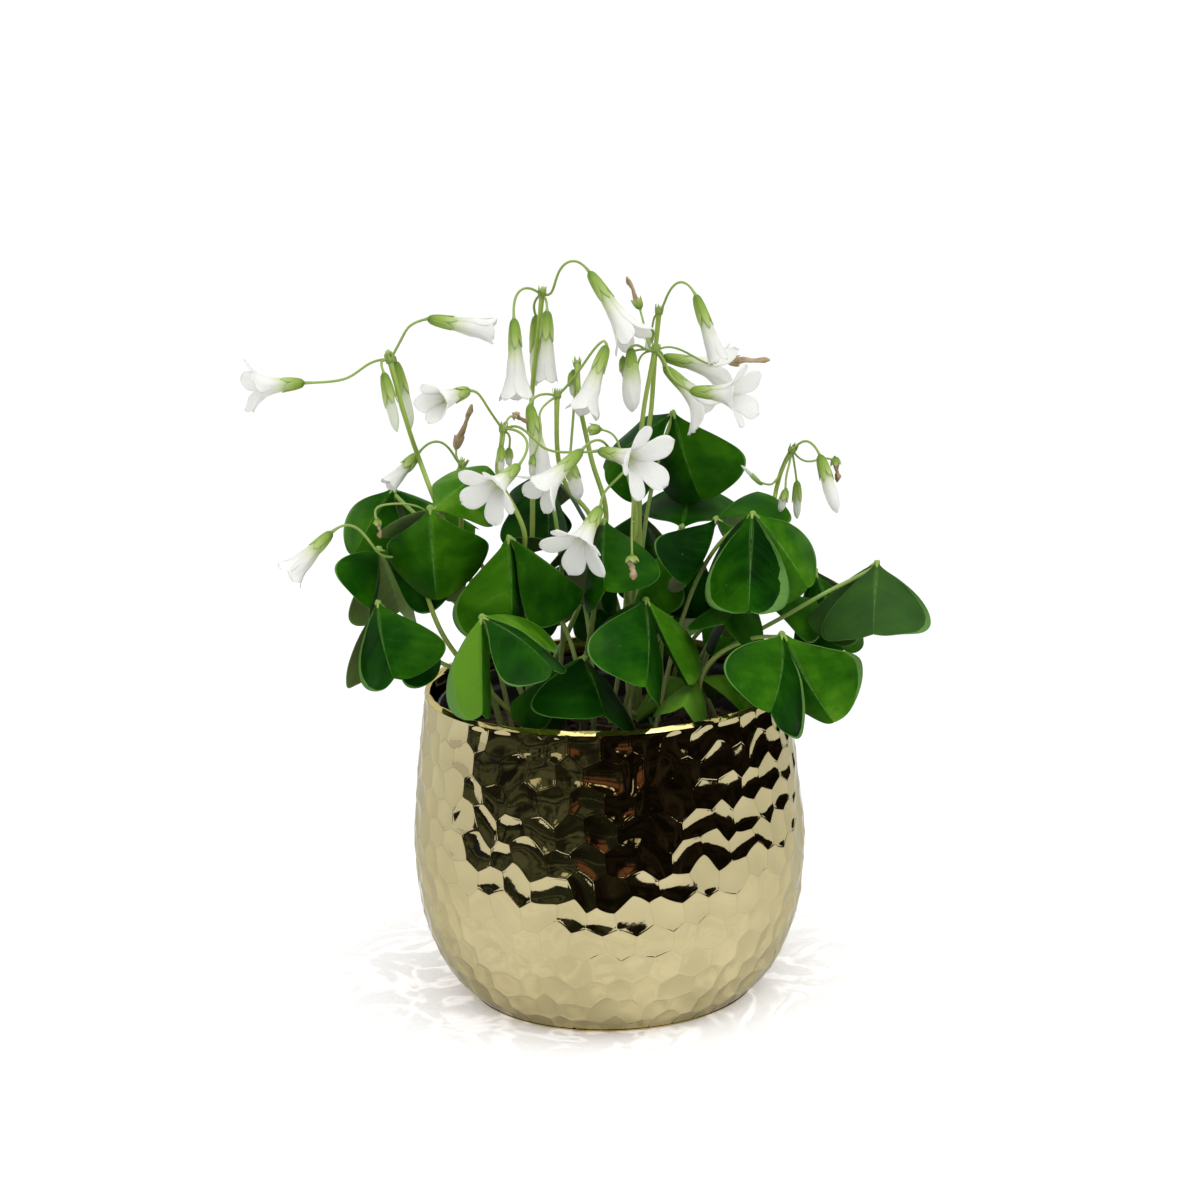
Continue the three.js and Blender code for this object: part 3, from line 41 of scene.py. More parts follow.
# leaf: petiole points from the soil to the hub; leaflets: base x, y, z, azimuth, elevation, roll, length, half width, fold, arch
LEAVES = [
    {"name": "leaf_01", "hub": [-49.65, -34.09, 162.01], "petiole": [[14.99, -4.68, 83.61], [-0.16, -7.85, 95.25], [-13.88, -11.0, 107.17], [-24.75, -14.12, 119.65], [-32.21, -17.41, 132.5], [-37.92, -21.62, 144.24], [-43.65, -27.37, 153.6], [-49.65, -34.09, 161.41]], "leaflets": [[-49.6, -35.09, 161.91, -1.576, -1.54, -0.014, 28.3, 22.93, 0.564, 0.594], [-49.04, -33.81, 161.21, 0.652, 0.542, -0.743, 25.17, 17.39, 0.6, 0.5], [-50.24, -33.82, 161.18, 1.429, -0.291, -0.633, 25.17, 17.39, 0.6, 0.5]]},
    {"name": "leaf_02", "hub": [-64.14, 11.46, 159.12], "petiole": [[-17.52, 0.27, 83.51], [-23.15, 2.64, 96.3], [-28.95, 3.8, 109.06], [-35.1, 2.62, 121.75], [-41.7, 0.27, 133.76], [-48.79, 0.21, 144.01], [-56.34, 4.56, 151.92], [-64.14, 11.46, 158.52]], "leaflets": [[-64.04, 10.53, 159.59, -2.909, -0.865, 0.897, 24.42, 16.99, 0.395, 0.552], [-63.65, 12.37, 158.93, -0.124, -0.332, -0.342, 26.55, 18.31, 0.501, 0.271], [-64.36, 12.29, 158.52, 1.811, -0.523, 0.01, 25.17, 17.39, 0.6, 0.4]]},
    {"name": "leaf_03", "hub": [-67.97, -4.73, 143.9], "petiole": [[-29.07, -4.69, 82.61], [-31.02, -2.09, 94.53], [-33.43, -0.46, 105.5], [-36.78, -0.75, 114.64], [-41.66, -2.5, 122.11], [-48.74, -3.99, 129.1], [-57.84, -4.6, 136.17], [-67.97, -4.73, 143.3]], "leaflets": [[-68.2, -5.73, 143.81, -1.425, -0.467, 1.219, 24.49, 15.69, 0.269, 0.369], [-67.64, -5.65, 143.52, -0.395, 0.006, 0.017, 25.98, 17.87, 0.758, 0.323], [-67.83, -3.94, 143.23, 1.257, -0.826, -0.01, 25.17, 17.39, 0.6, 0.4]]},
    {"name": "leaf_04", "hub": [-66.82, -29.52, 132.76], "petiole": [[-31.77, -9.14, 82.25], [-33.92, -7.3, 91.45], [-37.1, -7.65, 99.4], [-42.11, -11.85, 105.19], [-48.37, -18.15, 110.06], [-54.78, -23.54, 116.02], [-60.88, -27.03, 123.66], [-66.82, -29.52, 132.16]], "leaflets": [[-66.74, -30.52, 132.68, -1.524, -0.66, -0.547, 23.36, 18.05, 0.314, 0.642], [-67.05, -28.89, 131.95, 1.796, -0.86, 0.032, 25.17, 17.39, 0.6, 0.4], [-66.14, -29.21, 132.01, 0.322, -0.614, -0.126, 25.17, 17.39, 0.6, 0.4]]},
    {"name": "leaf_05", "hub": [-34.47, -59.81, 134.89], "petiole": [[-31.82, -18.12, 81.85], [-22.78, -17.11, 91.47], [-16.94, -17.75, 100.84], [-17.12, -21.55, 109.73], [-21.81, -28.51, 117.71], [-27.03, -37.73, 124.32], [-31.07, -48.41, 129.63], [-34.47, -59.81, 134.29]], "leaflets": [[-34.73, -60.78, 134.55, -1.856, -1.438, 0.681, 26.23, 18.46, 0.858, -0.079], [-33.95, -60.67, 134.57, -0.518, -0.258, 0.047, 24.69, 16.67, 0.131, 0.499], [-33.81, -59.02, 134.67, 1.168, -0.128, 0.135, 26.5, 18.32, 0.54, 0.249]]},
    {"name": "leaf_06", "hub": [-27.14, -25.72, 150.51], "petiole": [[-7.44, -13.93, 83.6], [-7.23, -16.5, 95.25], [-7.93, -19.45, 106.83], [-10.42, -23.15, 118.3], [-14.9, -27.29, 129.27], [-19.96, -29.97, 138.65], [-24.08, -29.23, 145.31], [-27.14, -25.72, 149.91]], "leaflets": [[-27.4, -26.72, 150.44, -1.325, -1.271, 0.286, 29.25, 21.0, 0.648, 0.292], [-26.45, -26.5, 150.66, 0.057, -0.612, -0.341, 26.26, 18.08, 0.878, 0.174], [-27.78, -25.35, 149.77, 1.85, -0.321, 0.879, 25.17, 17.39, 0.6, 0.4]]},
    {"name": "leaf_07", "hub": [-17.38, 23.75, 161.74], "petiole": [[-17.79, -1.81, 83.49], [-15.14, 1.62, 94.97], [-13.09, 3.5, 107.67], [-12.19, 2.6, 122.58], [-12.46, 1.13, 137.86], [-13.62, 3.34, 150.05], [-15.35, 11.76, 157.08], [-17.38, 23.75, 161.14]], "leaflets": [[-17.9, 22.91, 161.39, -2.68, -1.008, 0.721, 23.31, 16.39, 0.485, 0.896], [-16.72, 23.21, 161.14, -1.452, -0.52, 0.314, 25.63, 17.53, 0.596, 0.439], [-17.3, 24.66, 161.22, 1.189, -0.315, -0.072, 25.17, 17.39, 0.6, 0.4]]},
    {"name": "leaf_08", "hub": [1.34, -17.35, 153.07], "petiole": [[7.62, -22.16, 83.12], [7.33, -8.01, 95.47], [6.74, 1.96, 107.32], [5.57, 3.6, 118.17], [3.76, -4.47, 127.73], [2.05, -14.95, 136.35], [1.28, -19.32, 144.5], [1.34, -17.35, 152.47]], "leaflets": [[1.63, -18.35, 152.96, -1.698, -0.525, -0.538, 25.71, 16.84, 0.362, 0.297], [1.95, -16.93, 152.33, 0.53, -1.264, 0.006, 25.17, 17.39, 0.6, 0.4], [0.59, -17.08, 152.39, 2.074, -0.439, -0.355, 25.17, 17.39, 0.6, 0.4]]},
    {"name": "leaf_09", "hub": [12.44, 29.1, 145.82], "petiole": [[1.5, 1.84, 83.99], [3.61, 6.24, 93.72], [5.47, 10.04, 103.75], [6.87, 12.66, 114.33], [7.88, 14.54, 124.93], [8.98, 17.4, 134.0], [10.56, 22.53, 140.42], [12.44, 29.1, 145.22]], "leaflets": [[12.82, 28.45, 145.08, -1.113, -0.709, -0.033, 25.17, 17.39, 0.7, 0.4], [12.9, 29.89, 145.3, 1.235, -0.371, -0.015, 25.17, 17.39, 0.6, 0.4], [11.64, 29.1, 145.15, 3.244, -0.449, 0.007, 25.17, 17.39, 0.6, 0.4]]},
    {"name": "leaf_10", "hub": [23.92, 14.0, 180.24], "petiole": [[9.57, 5.6, 83.8], [9.87, 5.78, 99.12], [10.53, 6.17, 114.54], [11.9, 6.97, 130.14], [14.11, 8.26, 145.43], [16.99, 9.94, 159.13], [20.33, 11.9, 170.23], [23.92, 14.0, 179.64]], "leaflets": [[24.19, 13.0, 180.08, -1.239, -1.078, -0.776, 25.66, 18.68, 0.368, 0.501], [23.65, 14.92, 179.81, 2.94, -0.528, 0.598, 26.95, 18.74, 0.186, 0.349], [24.43, 14.73, 179.68, 0.96, -0.559, 0.0, 25.17, 17.39, 0.6, 0.5]]},
    {"name": "leaf_11", "hub": [25.44, 0.92, 146.67], "petiole": [[6.38, -3.97, 83.91], [8.51, -1.88, 93.77], [10.71, -0.13, 103.75], [13.02, 0.97, 113.98], [15.54, 1.35, 124.09], [18.43, 1.31, 133.11], [21.79, 1.13, 140.21], [25.44, 0.92, 146.07]], "leaflets": [[25.48, 1.92, 146.46, 1.41, 0.331, -0.033, 26.59, 18.44, 0.124, 0.147], [26.12, 0.6, 145.93, -0.304, -0.977, -0.307, 25.17, 17.39, 0.6, 0.4], [24.77, 0.6, 145.93, -2.942, -0.754, -0.187, 25.17, 17.39, 0.6, 0.4]]},
    {"name": "leaf_12", "hub": [35.51, -8.92, 150.88], "petiole": [[20.74, 16.46, 82.88], [18.84, 8.09, 93.31], [17.88, 0.94, 103.8], [18.81, -3.76, 114.4], [21.87, -5.77, 124.9], [26.17, -6.6, 134.56], [30.8, -7.62, 142.84], [35.51, -8.92, 150.28]], "leaflets": [[35.16, -9.9, 150.79, -1.69, -0.646, 1.427, 24.71, 16.07, 0.677, 0.573], [36.02, -9.83, 150.77, -0.176, -0.426, -0.09, 26.53, 18.24, 0.492, 0.282], [35.51, -7.97, 150.44, 1.074, 0.347, 0.401, 25.17, 17.39, 0.6, 0.4]]},
    {"name": "leaf_13", "hub": [45.56, -28.0, 155.97], "petiole": [[13.12, -32.58, 82.03], [16.28, -23.02, 93.7], [19.67, -15.75, 105.6], [23.5, -13.05, 117.93], [27.96, -15.29, 130.24], [33.16, -19.81, 141.0], [39.13, -24.13, 149.04], [45.56, -28.0, 155.37]], "leaflets": [[45.21, -28.97, 156.17, -1.692, -0.821, 0.09, 27.37, 19.23, 0.506, 0.326], [46.34, -27.38, 155.63, -0.182, -0.856, -0.857, 26.35, 18.4, 0.364, 0.438], [44.73, -27.41, 155.7, 3.487, -0.941, 0.414, 26.36, 18.34, 0.424, 0.391]]},
    {"name": "leaf_14", "hub": [52.78, -39.91, 122.02], "petiole": [[31.57, -21.18, 81.69], [29.45, -21.73, 91.62], [28.77, -22.78, 100.83], [30.98, -24.84, 108.58], [36.19, -28.04, 114.41], [42.44, -31.87, 118.29], [47.94, -35.88, 120.36], [52.78, -39.91, 121.42]], "leaflets": [[52.45, -40.75, 121.47, -1.536, -0.434, 0.861, 27.37, 19.24, 0.05, 0.523], [53.48, -40.55, 121.57, -0.689, -1.076, -1.193, 29.48, 22.78, 0.641, 0.736], [53.12, -38.96, 121.75, 1.162, -0.328, 0.008, 25.17, 17.39, 0.6, 0.4]]},
    {"name": "leaf_15", "hub": [84.02, -13.53, 136.62], "petiole": [[31.88, 6.84, 82.3], [30.47, -4.39, 95.06], [32.25, -13.52, 105.97], [39.39, -18.8, 113.67], [49.29, -20.04, 119.38], [59.88, -18.42, 124.61], [71.57, -16.01, 130.15], [84.02, -13.53, 136.02]], "leaflets": [[83.9, -14.53, 136.53, -1.748, -0.467, -0.09, 25.94, 18.67, 0.166, 0.211], [83.06, -13.36, 136.22, 3.107, -0.471, -0.15, 25.17, 17.39, 0.95, 0.4], [84.25, -12.67, 136.06, 1.272, -0.597, 0.007, 25.17, 17.39, 0.6, 0.4]]},
    {"name": "leaf_16", "hub": [67.46, 12.06, 128.85], "petiole": [[35.39, 3.58, 81.98], [32.16, 4.49, 91.06], [31.36, 5.42, 99.93], [35.08, 6.39, 108.33], [42.46, 7.47, 115.74], [51.09, 8.78, 121.46], [59.4, 10.35, 125.35], [67.46, 12.06, 128.25]], "leaflets": [[67.64, 11.41, 128.05, -1.14, -0.78, -0.249, 25.17, 17.39, 0.6, 0.4], [67.98, 12.67, 128.18, 0.825, -0.569, 0.504, 25.17, 17.39, 0.6, 0.4], [66.73, 12.19, 128.11, 3.086, -1.134, 0.396, 25.17, 17.39, 0.6, 0.4]]},
    {"name": "leaf_17", "hub": [13.05, -33.35, 132.04], "petiole": [[-0.15, -19.78, 83.37], [3.63, -20.57, 90.37], [6.6, -21.3, 97.95], [7.98, -21.92, 106.65], [8.15, -22.84, 115.78], [8.53, -24.85, 123.51], [10.3, -28.57, 128.39], [13.05, -33.35, 131.44]], "leaflets": [[12.72, -34.35, 131.98, -1.451, -0.611, 0.813, 27.94, 19.97, 0.261, 0.306], [13.56, -34.26, 131.96, -0.632, -1.098, -1.154, 26.99, 18.92, 1.121, 0.376], [13.05, -32.49, 131.44, 2.035, -0.221, -0.153, 25.17, 17.39, 0.6, 0.4]]},
    {"name": "leaf_18", "hub": [-5.67, -24.19, 112.72], "petiole": [[-4.9, -18.62, 83.41], [-3.8, -15.14, 88.29], [-2.94, -12.92, 93.18], [-2.55, -13.25, 98.06], [-2.75, -16.21, 102.77], [-3.43, -19.97, 106.85], [-4.45, -22.65, 109.87], [-5.67, -24.19, 112.12]], "leaflets": [[-6.2, -25.05, 112.43, -1.294, -0.295, 0.421, 26.74, 21.34, 0.229, 0.218], [-4.98, -23.42, 112.49, -0.663, 0.349, 0.1, 18.5, 10.0, 0.389, 0.245], [-6.56, -23.67, 112.53, 2.992, -0.424, -0.307, 25.17, 17.39, 0.8, 0.3]]},
    {"name": "leaf_19", "hub": [27.23, -22.09, 104.5], "petiole": [[23.46, -26.14, 82.03], [17.97, -18.89, 85.32], [14.04, -13.24, 88.77], [13.19, -10.82, 92.54], [15.96, -12.26, 96.52], [20.24, -15.62, 99.96], [23.99, -18.96, 102.27], [27.23, -22.09, 103.9]], "leaflets": [[26.5, -22.85, 104.49, -3.358, -0.709, 1.527, 24.61, 16.79, 0.995, 0.548], [27.56, -23.0, 104.11, -1.74, 0.06, 0.284, 19.08, 13.18, 0.6, 0.4], [28.24, -21.91, 104.28, 0.615, 0.013, -0.102, 21.2, 14.64, 0.6, 0.4]]},
    {"name": "leaf_20", "hub": [45.78, -14.28, 128.94], "petiole": [[27.3, 12.59, 82.55], [23.69, 3.95, 89.65], [21.65, -3.3, 97.0], [22.73, -7.76, 104.83], [27.21, -9.37, 112.81], [33.36, -10.17, 119.71], [39.63, -11.88, 124.63], [45.78, -14.28, 128.34]], "leaflets": [[45.21, -15.11, 128.64, -1.932, -0.016, 0.313, 22.76, 15.73, 0.432, 0.308], [46.54, -14.95, 128.66, 0.51, -0.113, -0.289, 22.7, 15.68, 0.494, 0.263], [45.2, -13.59, 128.42, 2.23, -0.483, 0.002, 21.65, 14.95, 0.6, 0.4]]},
    {"name": "leaf_21", "hub": [-8.38, 42.19, 128.14], "petiole": [[-4.17, 13.78, 83.67], [-3.88, 15.91, 91.31], [-3.84, 18.47, 98.96], [-4.26, 21.86, 106.57], [-5.13, 26.15, 113.74], [-6.21, 31.12, 119.71], [-7.3, 36.54, 124.08], [-8.38, 42.19, 127.54]], "leaflets": [[-8.45, 43.05, 127.54, 1.563, -0.789, -0.105, 25.17, 17.39, 0.6, 0.4], [-7.59, 41.73, 127.61, -0.519, -0.598, -0.053, 25.17, 17.39, 0.6, 0.4], [-9.08, 41.69, 127.54, 3.437, -0.336, 0.456, 25.17, 17.39, 0.6, 0.4]]},
    {"name": "leaf_22", "hub": [32.52, 44.45, 119.59], "petiole": [[19.54, 16.98, 82.93], [16.68, 18.51, 89.8], [15.3, 20.81, 96.48], [16.69, 24.56, 102.77], [20.34, 29.46, 108.35], [24.7, 34.67, 112.87], [28.73, 39.64, 116.24], [32.52, 44.45, 118.99]], "leaflets": [[32.75, 45.28, 118.99, 1.294, -0.471, 0.102, 25.17, 17.39, 0.6, 0.4], [33.22, 43.86, 119.06, -0.742, -0.327, -0.047, 25.17, 17.39, 0.6, 0.4], [31.69, 44.22, 118.99, 3.105, -0.35, 0.272, 25.17, 17.39, 0.6, 0.4]]},
]
# stalk: scape points from the umbel down to the soil, pedicels one for each flower, small buds and spent flowers
STALKS = [
    {"name": "flower_stalk_01", "scape": [[-61.4, -8.0, 202.18], [-58.36, -11.47, 189.71], [-55.97, -8.75, 178.66], [-54.04, -3.54, 170.2], [-51.39, -9.92, 164.32], [-48.63, -11.16, 157.06], [-44.84, -5.01, 145.22], [-38.27, -3.74, 127.86], [-29.51, -7.47, 106.47], [-19.65, -13.7, 83.08]], "pedicels": [[[-61.4, -8.0, 202.18], [-63.13, -8.42, 202.71], [-67.13, -9.31, 201.92], [-70.73, -10.24, 199.77], [-74.04, -11.07, 197.96], [-77.67, -11.89, 197.23], [-82.14, -12.88, 197.09], [-86.8, -13.87, 197.21]], [[-61.4, -8.0, 202.18], [-60.33, -7.5, 204.12], [-58.85, -6.84, 206.62], [-57.21, -6.12, 209.44], [-55.46, -5.46, 211.9], [-52.81, -4.75, 213.33], [-49.75, -4.0, 214.03]], [[-61.4, -8.0, 202.18], [-62.92, -8.82, 202.6], [-63.77, -9.75, 202.28], [-63.67, -10.83, 200.87], [-63.12, -11.96, 199.24]], [[-61.4, -8.0, 202.18], [-60.72, -7.0, 203.13], [-60.23, -6.0, 203.37], [-60.01, -5.0, 202.49], [-60.02, -4.04, 201.35]]], "small": [{"kind": "bud", "stem": [[-61.4, -8.0, 202.18], [-61.88, -5.93, 203.72]], "base": [-61.83, -5.93, 202.82], "tip": [-61.99, -5.93, 205.54], "radius": 0.7}]},
    {"name": "flower_stalk_02", "scape": [[-27.78, -22.0, 182.49], [-28.8, -21.67, 176.43], [-30.01, -20.85, 170.27], [-26.68, -21.73, 161.47], [-22.66, -21.87, 151.35], [-23.75, -17.84, 142.17], [-25.13, -11.8, 131.81], [-21.45, -6.43, 118.05], [-13.63, -1.84, 101.67], [-3.74, 2.37, 83.97]], "pedicels": [[[-27.78, -22.0, 182.49], [-28.5, -23.07, 183.89], [-30.05, -25.34, 186.81], [-31.88, -28.12, 190.49], [-33.48, -30.6, 193.83], [-35.12, -32.54, 195.82], [-36.8, -33.69, 196.25]], [[-27.78, -22.0, 182.49], [-26.25, -23.1, 182.92], [-24.03, -24.72, 182.72], [-21.85, -26.55, 181.61], [-20.61, -28.38, 179.69], [-20.8, -30.26, 177.44], [-21.9, -32.14, 175.4], [-23.14, -33.73, 173.84]], [[-27.78, -22.0, 182.49], [-23.97, -22.56, 183.58], [-19.97, -23.34, 181.09], [-15.92, -24.17, 177.28], [-11.9, -24.82, 175.94], [-7.34, -25.5, 175.79], [-2.87, -26.19, 175.86], [0.5, -26.48, 176.13]]], "small": [{"kind": "bud", "stem": [[-27.78, -22.0, 182.49], [-27.55, -22.5, 181.55], [-27.57, -23.08, 180.47], [-27.93, -23.78, 179.21], [-28.51, -24.68, 176.95]], "base": [-28.48, -24.54, 177.84], "tip": [-28.75, -25.74, 169.95], "radius": 1.1}, {"kind": "bud", "stem": [[-27.78, -22.0, 182.49], [-26.63, -21.6, 181.63], [-25.96, -21.13, 180.36], [-25.95, -20.59, 178.52], [-26.34, -19.83, 175.5]], "base": [-26.3, -20.0, 176.38], "tip": [-26.54, -19.0, 171.07], "radius": 1.1}, {"kind": "wither", "stem": [[-27.78, -22.0, 182.49], [-27.16, -20.85, 183.92], [-26.44, -19.78, 185.14], [-25.52, -18.84, 185.97], [-23.78, -18.0, 185.96]], "base": [-24.47, -18.0, 186.54], "tip": [-20.72, -18.0, 183.41], "radius": 1.0}]},
    {"name": "flower_stalk_03", "scape": [[-41.74, 2.0, 168.05], [-43.94, 1.31, 163.68], [-43.84, 0.97, 158.53], [-42.75, 1.41, 152.57], [-43.22, 2.75, 145.92], [-43.87, 3.92, 137.55], [-42.84, 3.84, 126.48], [-40.14, 2.55, 113.07], [-36.31, 0.46, 98.11], [-31.92, -2.04, 82.36]], "pedicels": [[[-41.74, 2.0, 168.05], [-42.87, 1.74, 169.09], [-44.25, 1.26, 171.61], [-45.99, 0.74, 174.21], [-48.19, 0.28, 175.75], [-50.76, -0.16, 175.71], [-53.13, -0.63, 174.31], [-54.93, -0.99, 172.38]]], "small": [{"kind": "wither", "stem": [[-41.74, 2.0, 168.05], [-42.65, 2.94, 168.98], [-43.32, 3.91, 170.03], [-43.57, 4.94, 171.31], [-43.27, 6.0, 173.56]], "base": [-43.58, 6.0, 172.71], "tip": [-38.68, 6.0, 186.27], "radius": 1.2}, {"kind": "wither", "stem": [[-41.74, 2.0, 168.05], [-43.56, 2.72, 158.97], [-45.09, 3.12, 153.56], [-46.09, 2.97, 154.92], [-46.81, 2.88, 159.5], [-47.99, 3.35, 162.18]], "base": [-47.58, 3.35, 162.98], "tip": [-49.95, 3.35, 158.34], "radius": 1.0}, {"kind": "bud", "stem": [[-41.74, 2.0, 168.05], [-40.63, -2.0, 166.97]], "base": [-40.94, -2.0, 167.82], "tip": [-39.57, -2.0, 164.04], "radius": 0.9}]},
    {"name": "flower_stalk_04", "scape": [[-15.35, 6.0, 219.31], [-16.58, 6.05, 209.53], [-17.99, 6.11, 200.11], [-19.3, 5.87, 190.8], [-20.04, 4.93, 181.3], [-20.15, 3.4, 171.2], [-20.44, 2.66, 156.73], [-21.46, 3.56, 135.86], [-23.01, 5.62, 110.5], [-24.82, 8.26, 82.9]], "pedicels": [[[-15.35, 6.0, 219.31], [-16.64, 5.28, 220.1], [-18.75, 4.14, 221.27], [-21.03, 2.98, 221.35], [-22.76, 1.89, 219.94], [-23.65, 0.66, 217.74], [-23.93, -0.65, 215.22], [-23.91, -1.94, 212.99]], [[-15.35, 6.0, 219.31], [-16.5, 7.01, 218.45], [-17.44, 8.11, 217.21], [-17.97, 9.31, 215.53], [-17.94, 10.63, 213.64], [-17.55, 11.97, 212.04]], [[-15.35, 6.0, 219.31], [-14.59, 5.18, 218.42], [-14.08, 4.26, 217.31], [-13.92, 3.17, 215.87], [-13.93, 2.02, 214.64]], [[-15.35, 6.0, 219.31], [-13.05, 5.59, 219.18], [-11.39, 4.9, 222.24], [-9.66, 4.11, 226.51], [-7.09, 3.48, 228.93], [-4.35, 2.97, 229.07], [-2.16, 2.49, 227.63], [-0.75, 2.12, 225.93]]], "small": [{"kind": "bud", "stem": [[-15.35, 6.0, 219.31], [-14.97, 3.87, 220.43]], "base": [-15.0, 3.87, 219.53], "tip": [-14.91, 3.87, 221.95], "radius": 0.9}]},
    {"name": "flower_stalk_05", "scape": [[20.28, 12.0, 212.03], [19.33, 11.96, 203.96], [18.39, 12.17, 195.02], [17.56, 11.59, 186.23], [16.44, 9.78, 178.01], [14.36, 7.92, 168.28], [12.16, 7.46, 153.84], [10.39, 8.95, 133.68], [8.94, 11.78, 109.59], [7.64, 15.27, 83.53]], "pedicels": [[[20.28, 12.0, 212.03], [21.26, 11.18, 213.43], [22.5, 9.61, 216.44], [24.21, 7.88, 219.69], [26.4, 6.56, 221.49], [28.61, 5.34, 221.15], [30.3, 4.14, 219.43], [31.24, 3.05, 217.94]]], "small": [{"kind": "bud", "stem": [[20.28, 12.0, 212.03], [19.42, 12.35, 211.32], [18.76, 12.79, 210.14], [18.33, 13.36, 208.37], [17.78, 14.0, 205.44]], "base": [18.04, 14.0, 206.31], "tip": [16.01, 14.0, 199.55], "radius": 1.0}]},
    {"name": "flower_stalk_06", "scape": [[18.49, 2.0, 201.38], [16.82, 0.61, 194.6], [15.33, -0.51, 188.15], [14.17, -1.01, 181.67], [13.4, -0.66, 173.92], [12.82, 0.15, 162.9], [12.26, 1.06, 147.36], [11.71, 2.01, 128.18], [11.15, 2.98, 106.59], [10.59, 3.96, 83.8]], "pedicels": [[[18.49, 2.0, 201.38], [20.43, 0.44, 199.73], [21.7, -1.23, 197.49], [22.73, -3.0, 194.9], [24.58, -4.78, 192.79], [26.84, -6.45, 191.31], [28.75, -7.8, 190.28]], [[18.49, 2.0, 201.38], [19.45, 3.01, 200.02], [20.31, 4.01, 198.6], [20.97, 5.01, 197.09], [21.26, 6.04, 195.78]], [[18.49, 2.0, 201.38], [19.29, 4.38, 201.16], [20.07, 7.12, 200.53], [20.81, 10.37, 199.34], [21.18, 13.81, 197.94]], [[18.49, 2.0, 201.38], [16.77, 0.31, 201.84], [15.08, -1.4, 202.69], [13.49, -3.1, 203.83], [12.16, -4.64, 204.12], [11.08, -6.0, 203.65]]], "small": [{"kind": "wither", "stem": [[18.49, 2.0, 201.38], [17.13, 2.73, 202.37], [16.24, 3.83, 204.61], [15.64, 5.19, 207.69], [15.03, 6.6, 210.82], [14.04, 8.0, 214.73]], "base": [14.39, 8.0, 213.9], "tip": [10.37, 8.0, 223.47], "radius": 1.2}, {"kind": "wither", "stem": [[18.49, 2.0, 201.38], [21.71, 4.3, 202.13], [25.52, 7.58, 201.13], [29.78, 10.67, 198.63], [34.03, 12.34, 196.0], [37.96, 14.71, 194.89], [42.47, 18.43, 195.3]], "base": [41.57, 18.43, 195.35], "tip": [54.66, 18.41, 194.63], "radius": 1.3}, {"kind": "bud", "stem": [[18.49, 2.0, 201.38], [16.27, 1.17, 201.35], [14.47, 0.24, 200.51], [13.29, -0.84, 198.44], [12.44, -2.0, 194.8]], "base": [12.46, -2.0, 195.7], "tip": [12.27, -2.0, 188.67], "radius": 1.1}, {"kind": "bud", "stem": [[18.49, 2.0, 201.38], [15.86, 1.01, 202.0], [13.32, 0.01, 202.11], [10.94, -0.99, 201.36], [8.74, -2.0, 199.19]], "base": [8.64, -2.0, 200.09], "tip": [9.36, -2.0, 193.35], "radius": 1.3}]},
    {"name": "flower_stalk_07", "scape": [[-11.65, -8.0, 190.02], [-11.99, -9.49, 182.58], [-12.12, -9.44, 175.08], [-11.36, -8.09, 167.43], [-8.64, -7.24, 160.43], [-3.78, -8.13, 154.75], [-0.88, -6.72, 144.67], [-1.68, -1.26, 127.99], [-4.99, 6.96, 106.82], [-9.55, 16.56, 83.42]], "pedicels": [[[-11.65, -8.0, 190.02], [-9.59, -8.23, 191.93], [-6.88, -8.56, 195.0], [-3.86, -8.97, 198.87], [-1.36, -9.33, 202.31], [0.88, -9.61, 204.99], [3.15, -9.83, 206.46], [3.68, -9.89, 204.97]], [[-11.65, -8.0, 190.02], [-13.46, -9.16, 190.74], [-15.5, -10.41, 191.07], [-17.62, -11.72, 190.75], [-19.05, -12.92, 189.7], [-19.79, -13.91, 188.53]]], "small": [{"kind": "bud", "stem": [[-11.65, -8.0, 190.02], [-15.29, -11.39, 187.95], [-16.96, -14.39, 185.36], [-16.64, -17.1, 182.07], [-17.3, -20.32, 178.46], [-19.25, -24.15, 173.87]], "base": [-19.13, -24.0, 174.75], "tip": [-19.91, -25.0, 168.93], "radius": 0.9}]},
    {"name": "flower_stalk_08", "scape": [[-5.34, -2.0, 198.7], [-5.05, -9.98, 192.02], [-4.56, -5.97, 184.67], [-3.22, -3.16, 176.64], [-1.47, -4.44, 168.06], [0.86, -4.47, 160.16], [2.02, -4.55, 150.54], [-2.93, 0.57, 132.89], [-12.55, 9.8, 109.14], [-24.51, 21.08, 82.33]], "pedicels": [[[-5.34, -2.0, 198.7], [-6.84, -7.63, 184.68], [-8.41, -13.25, 171.05]]], "small": [{"kind": "bud", "stem": [[-5.34, -2.0, 198.7], [-6.6, -1.36, 195.31]], "base": [-6.64, -1.36, 196.21], "tip": [-6.29, -1.36, 188.24], "radius": 1.6}]},
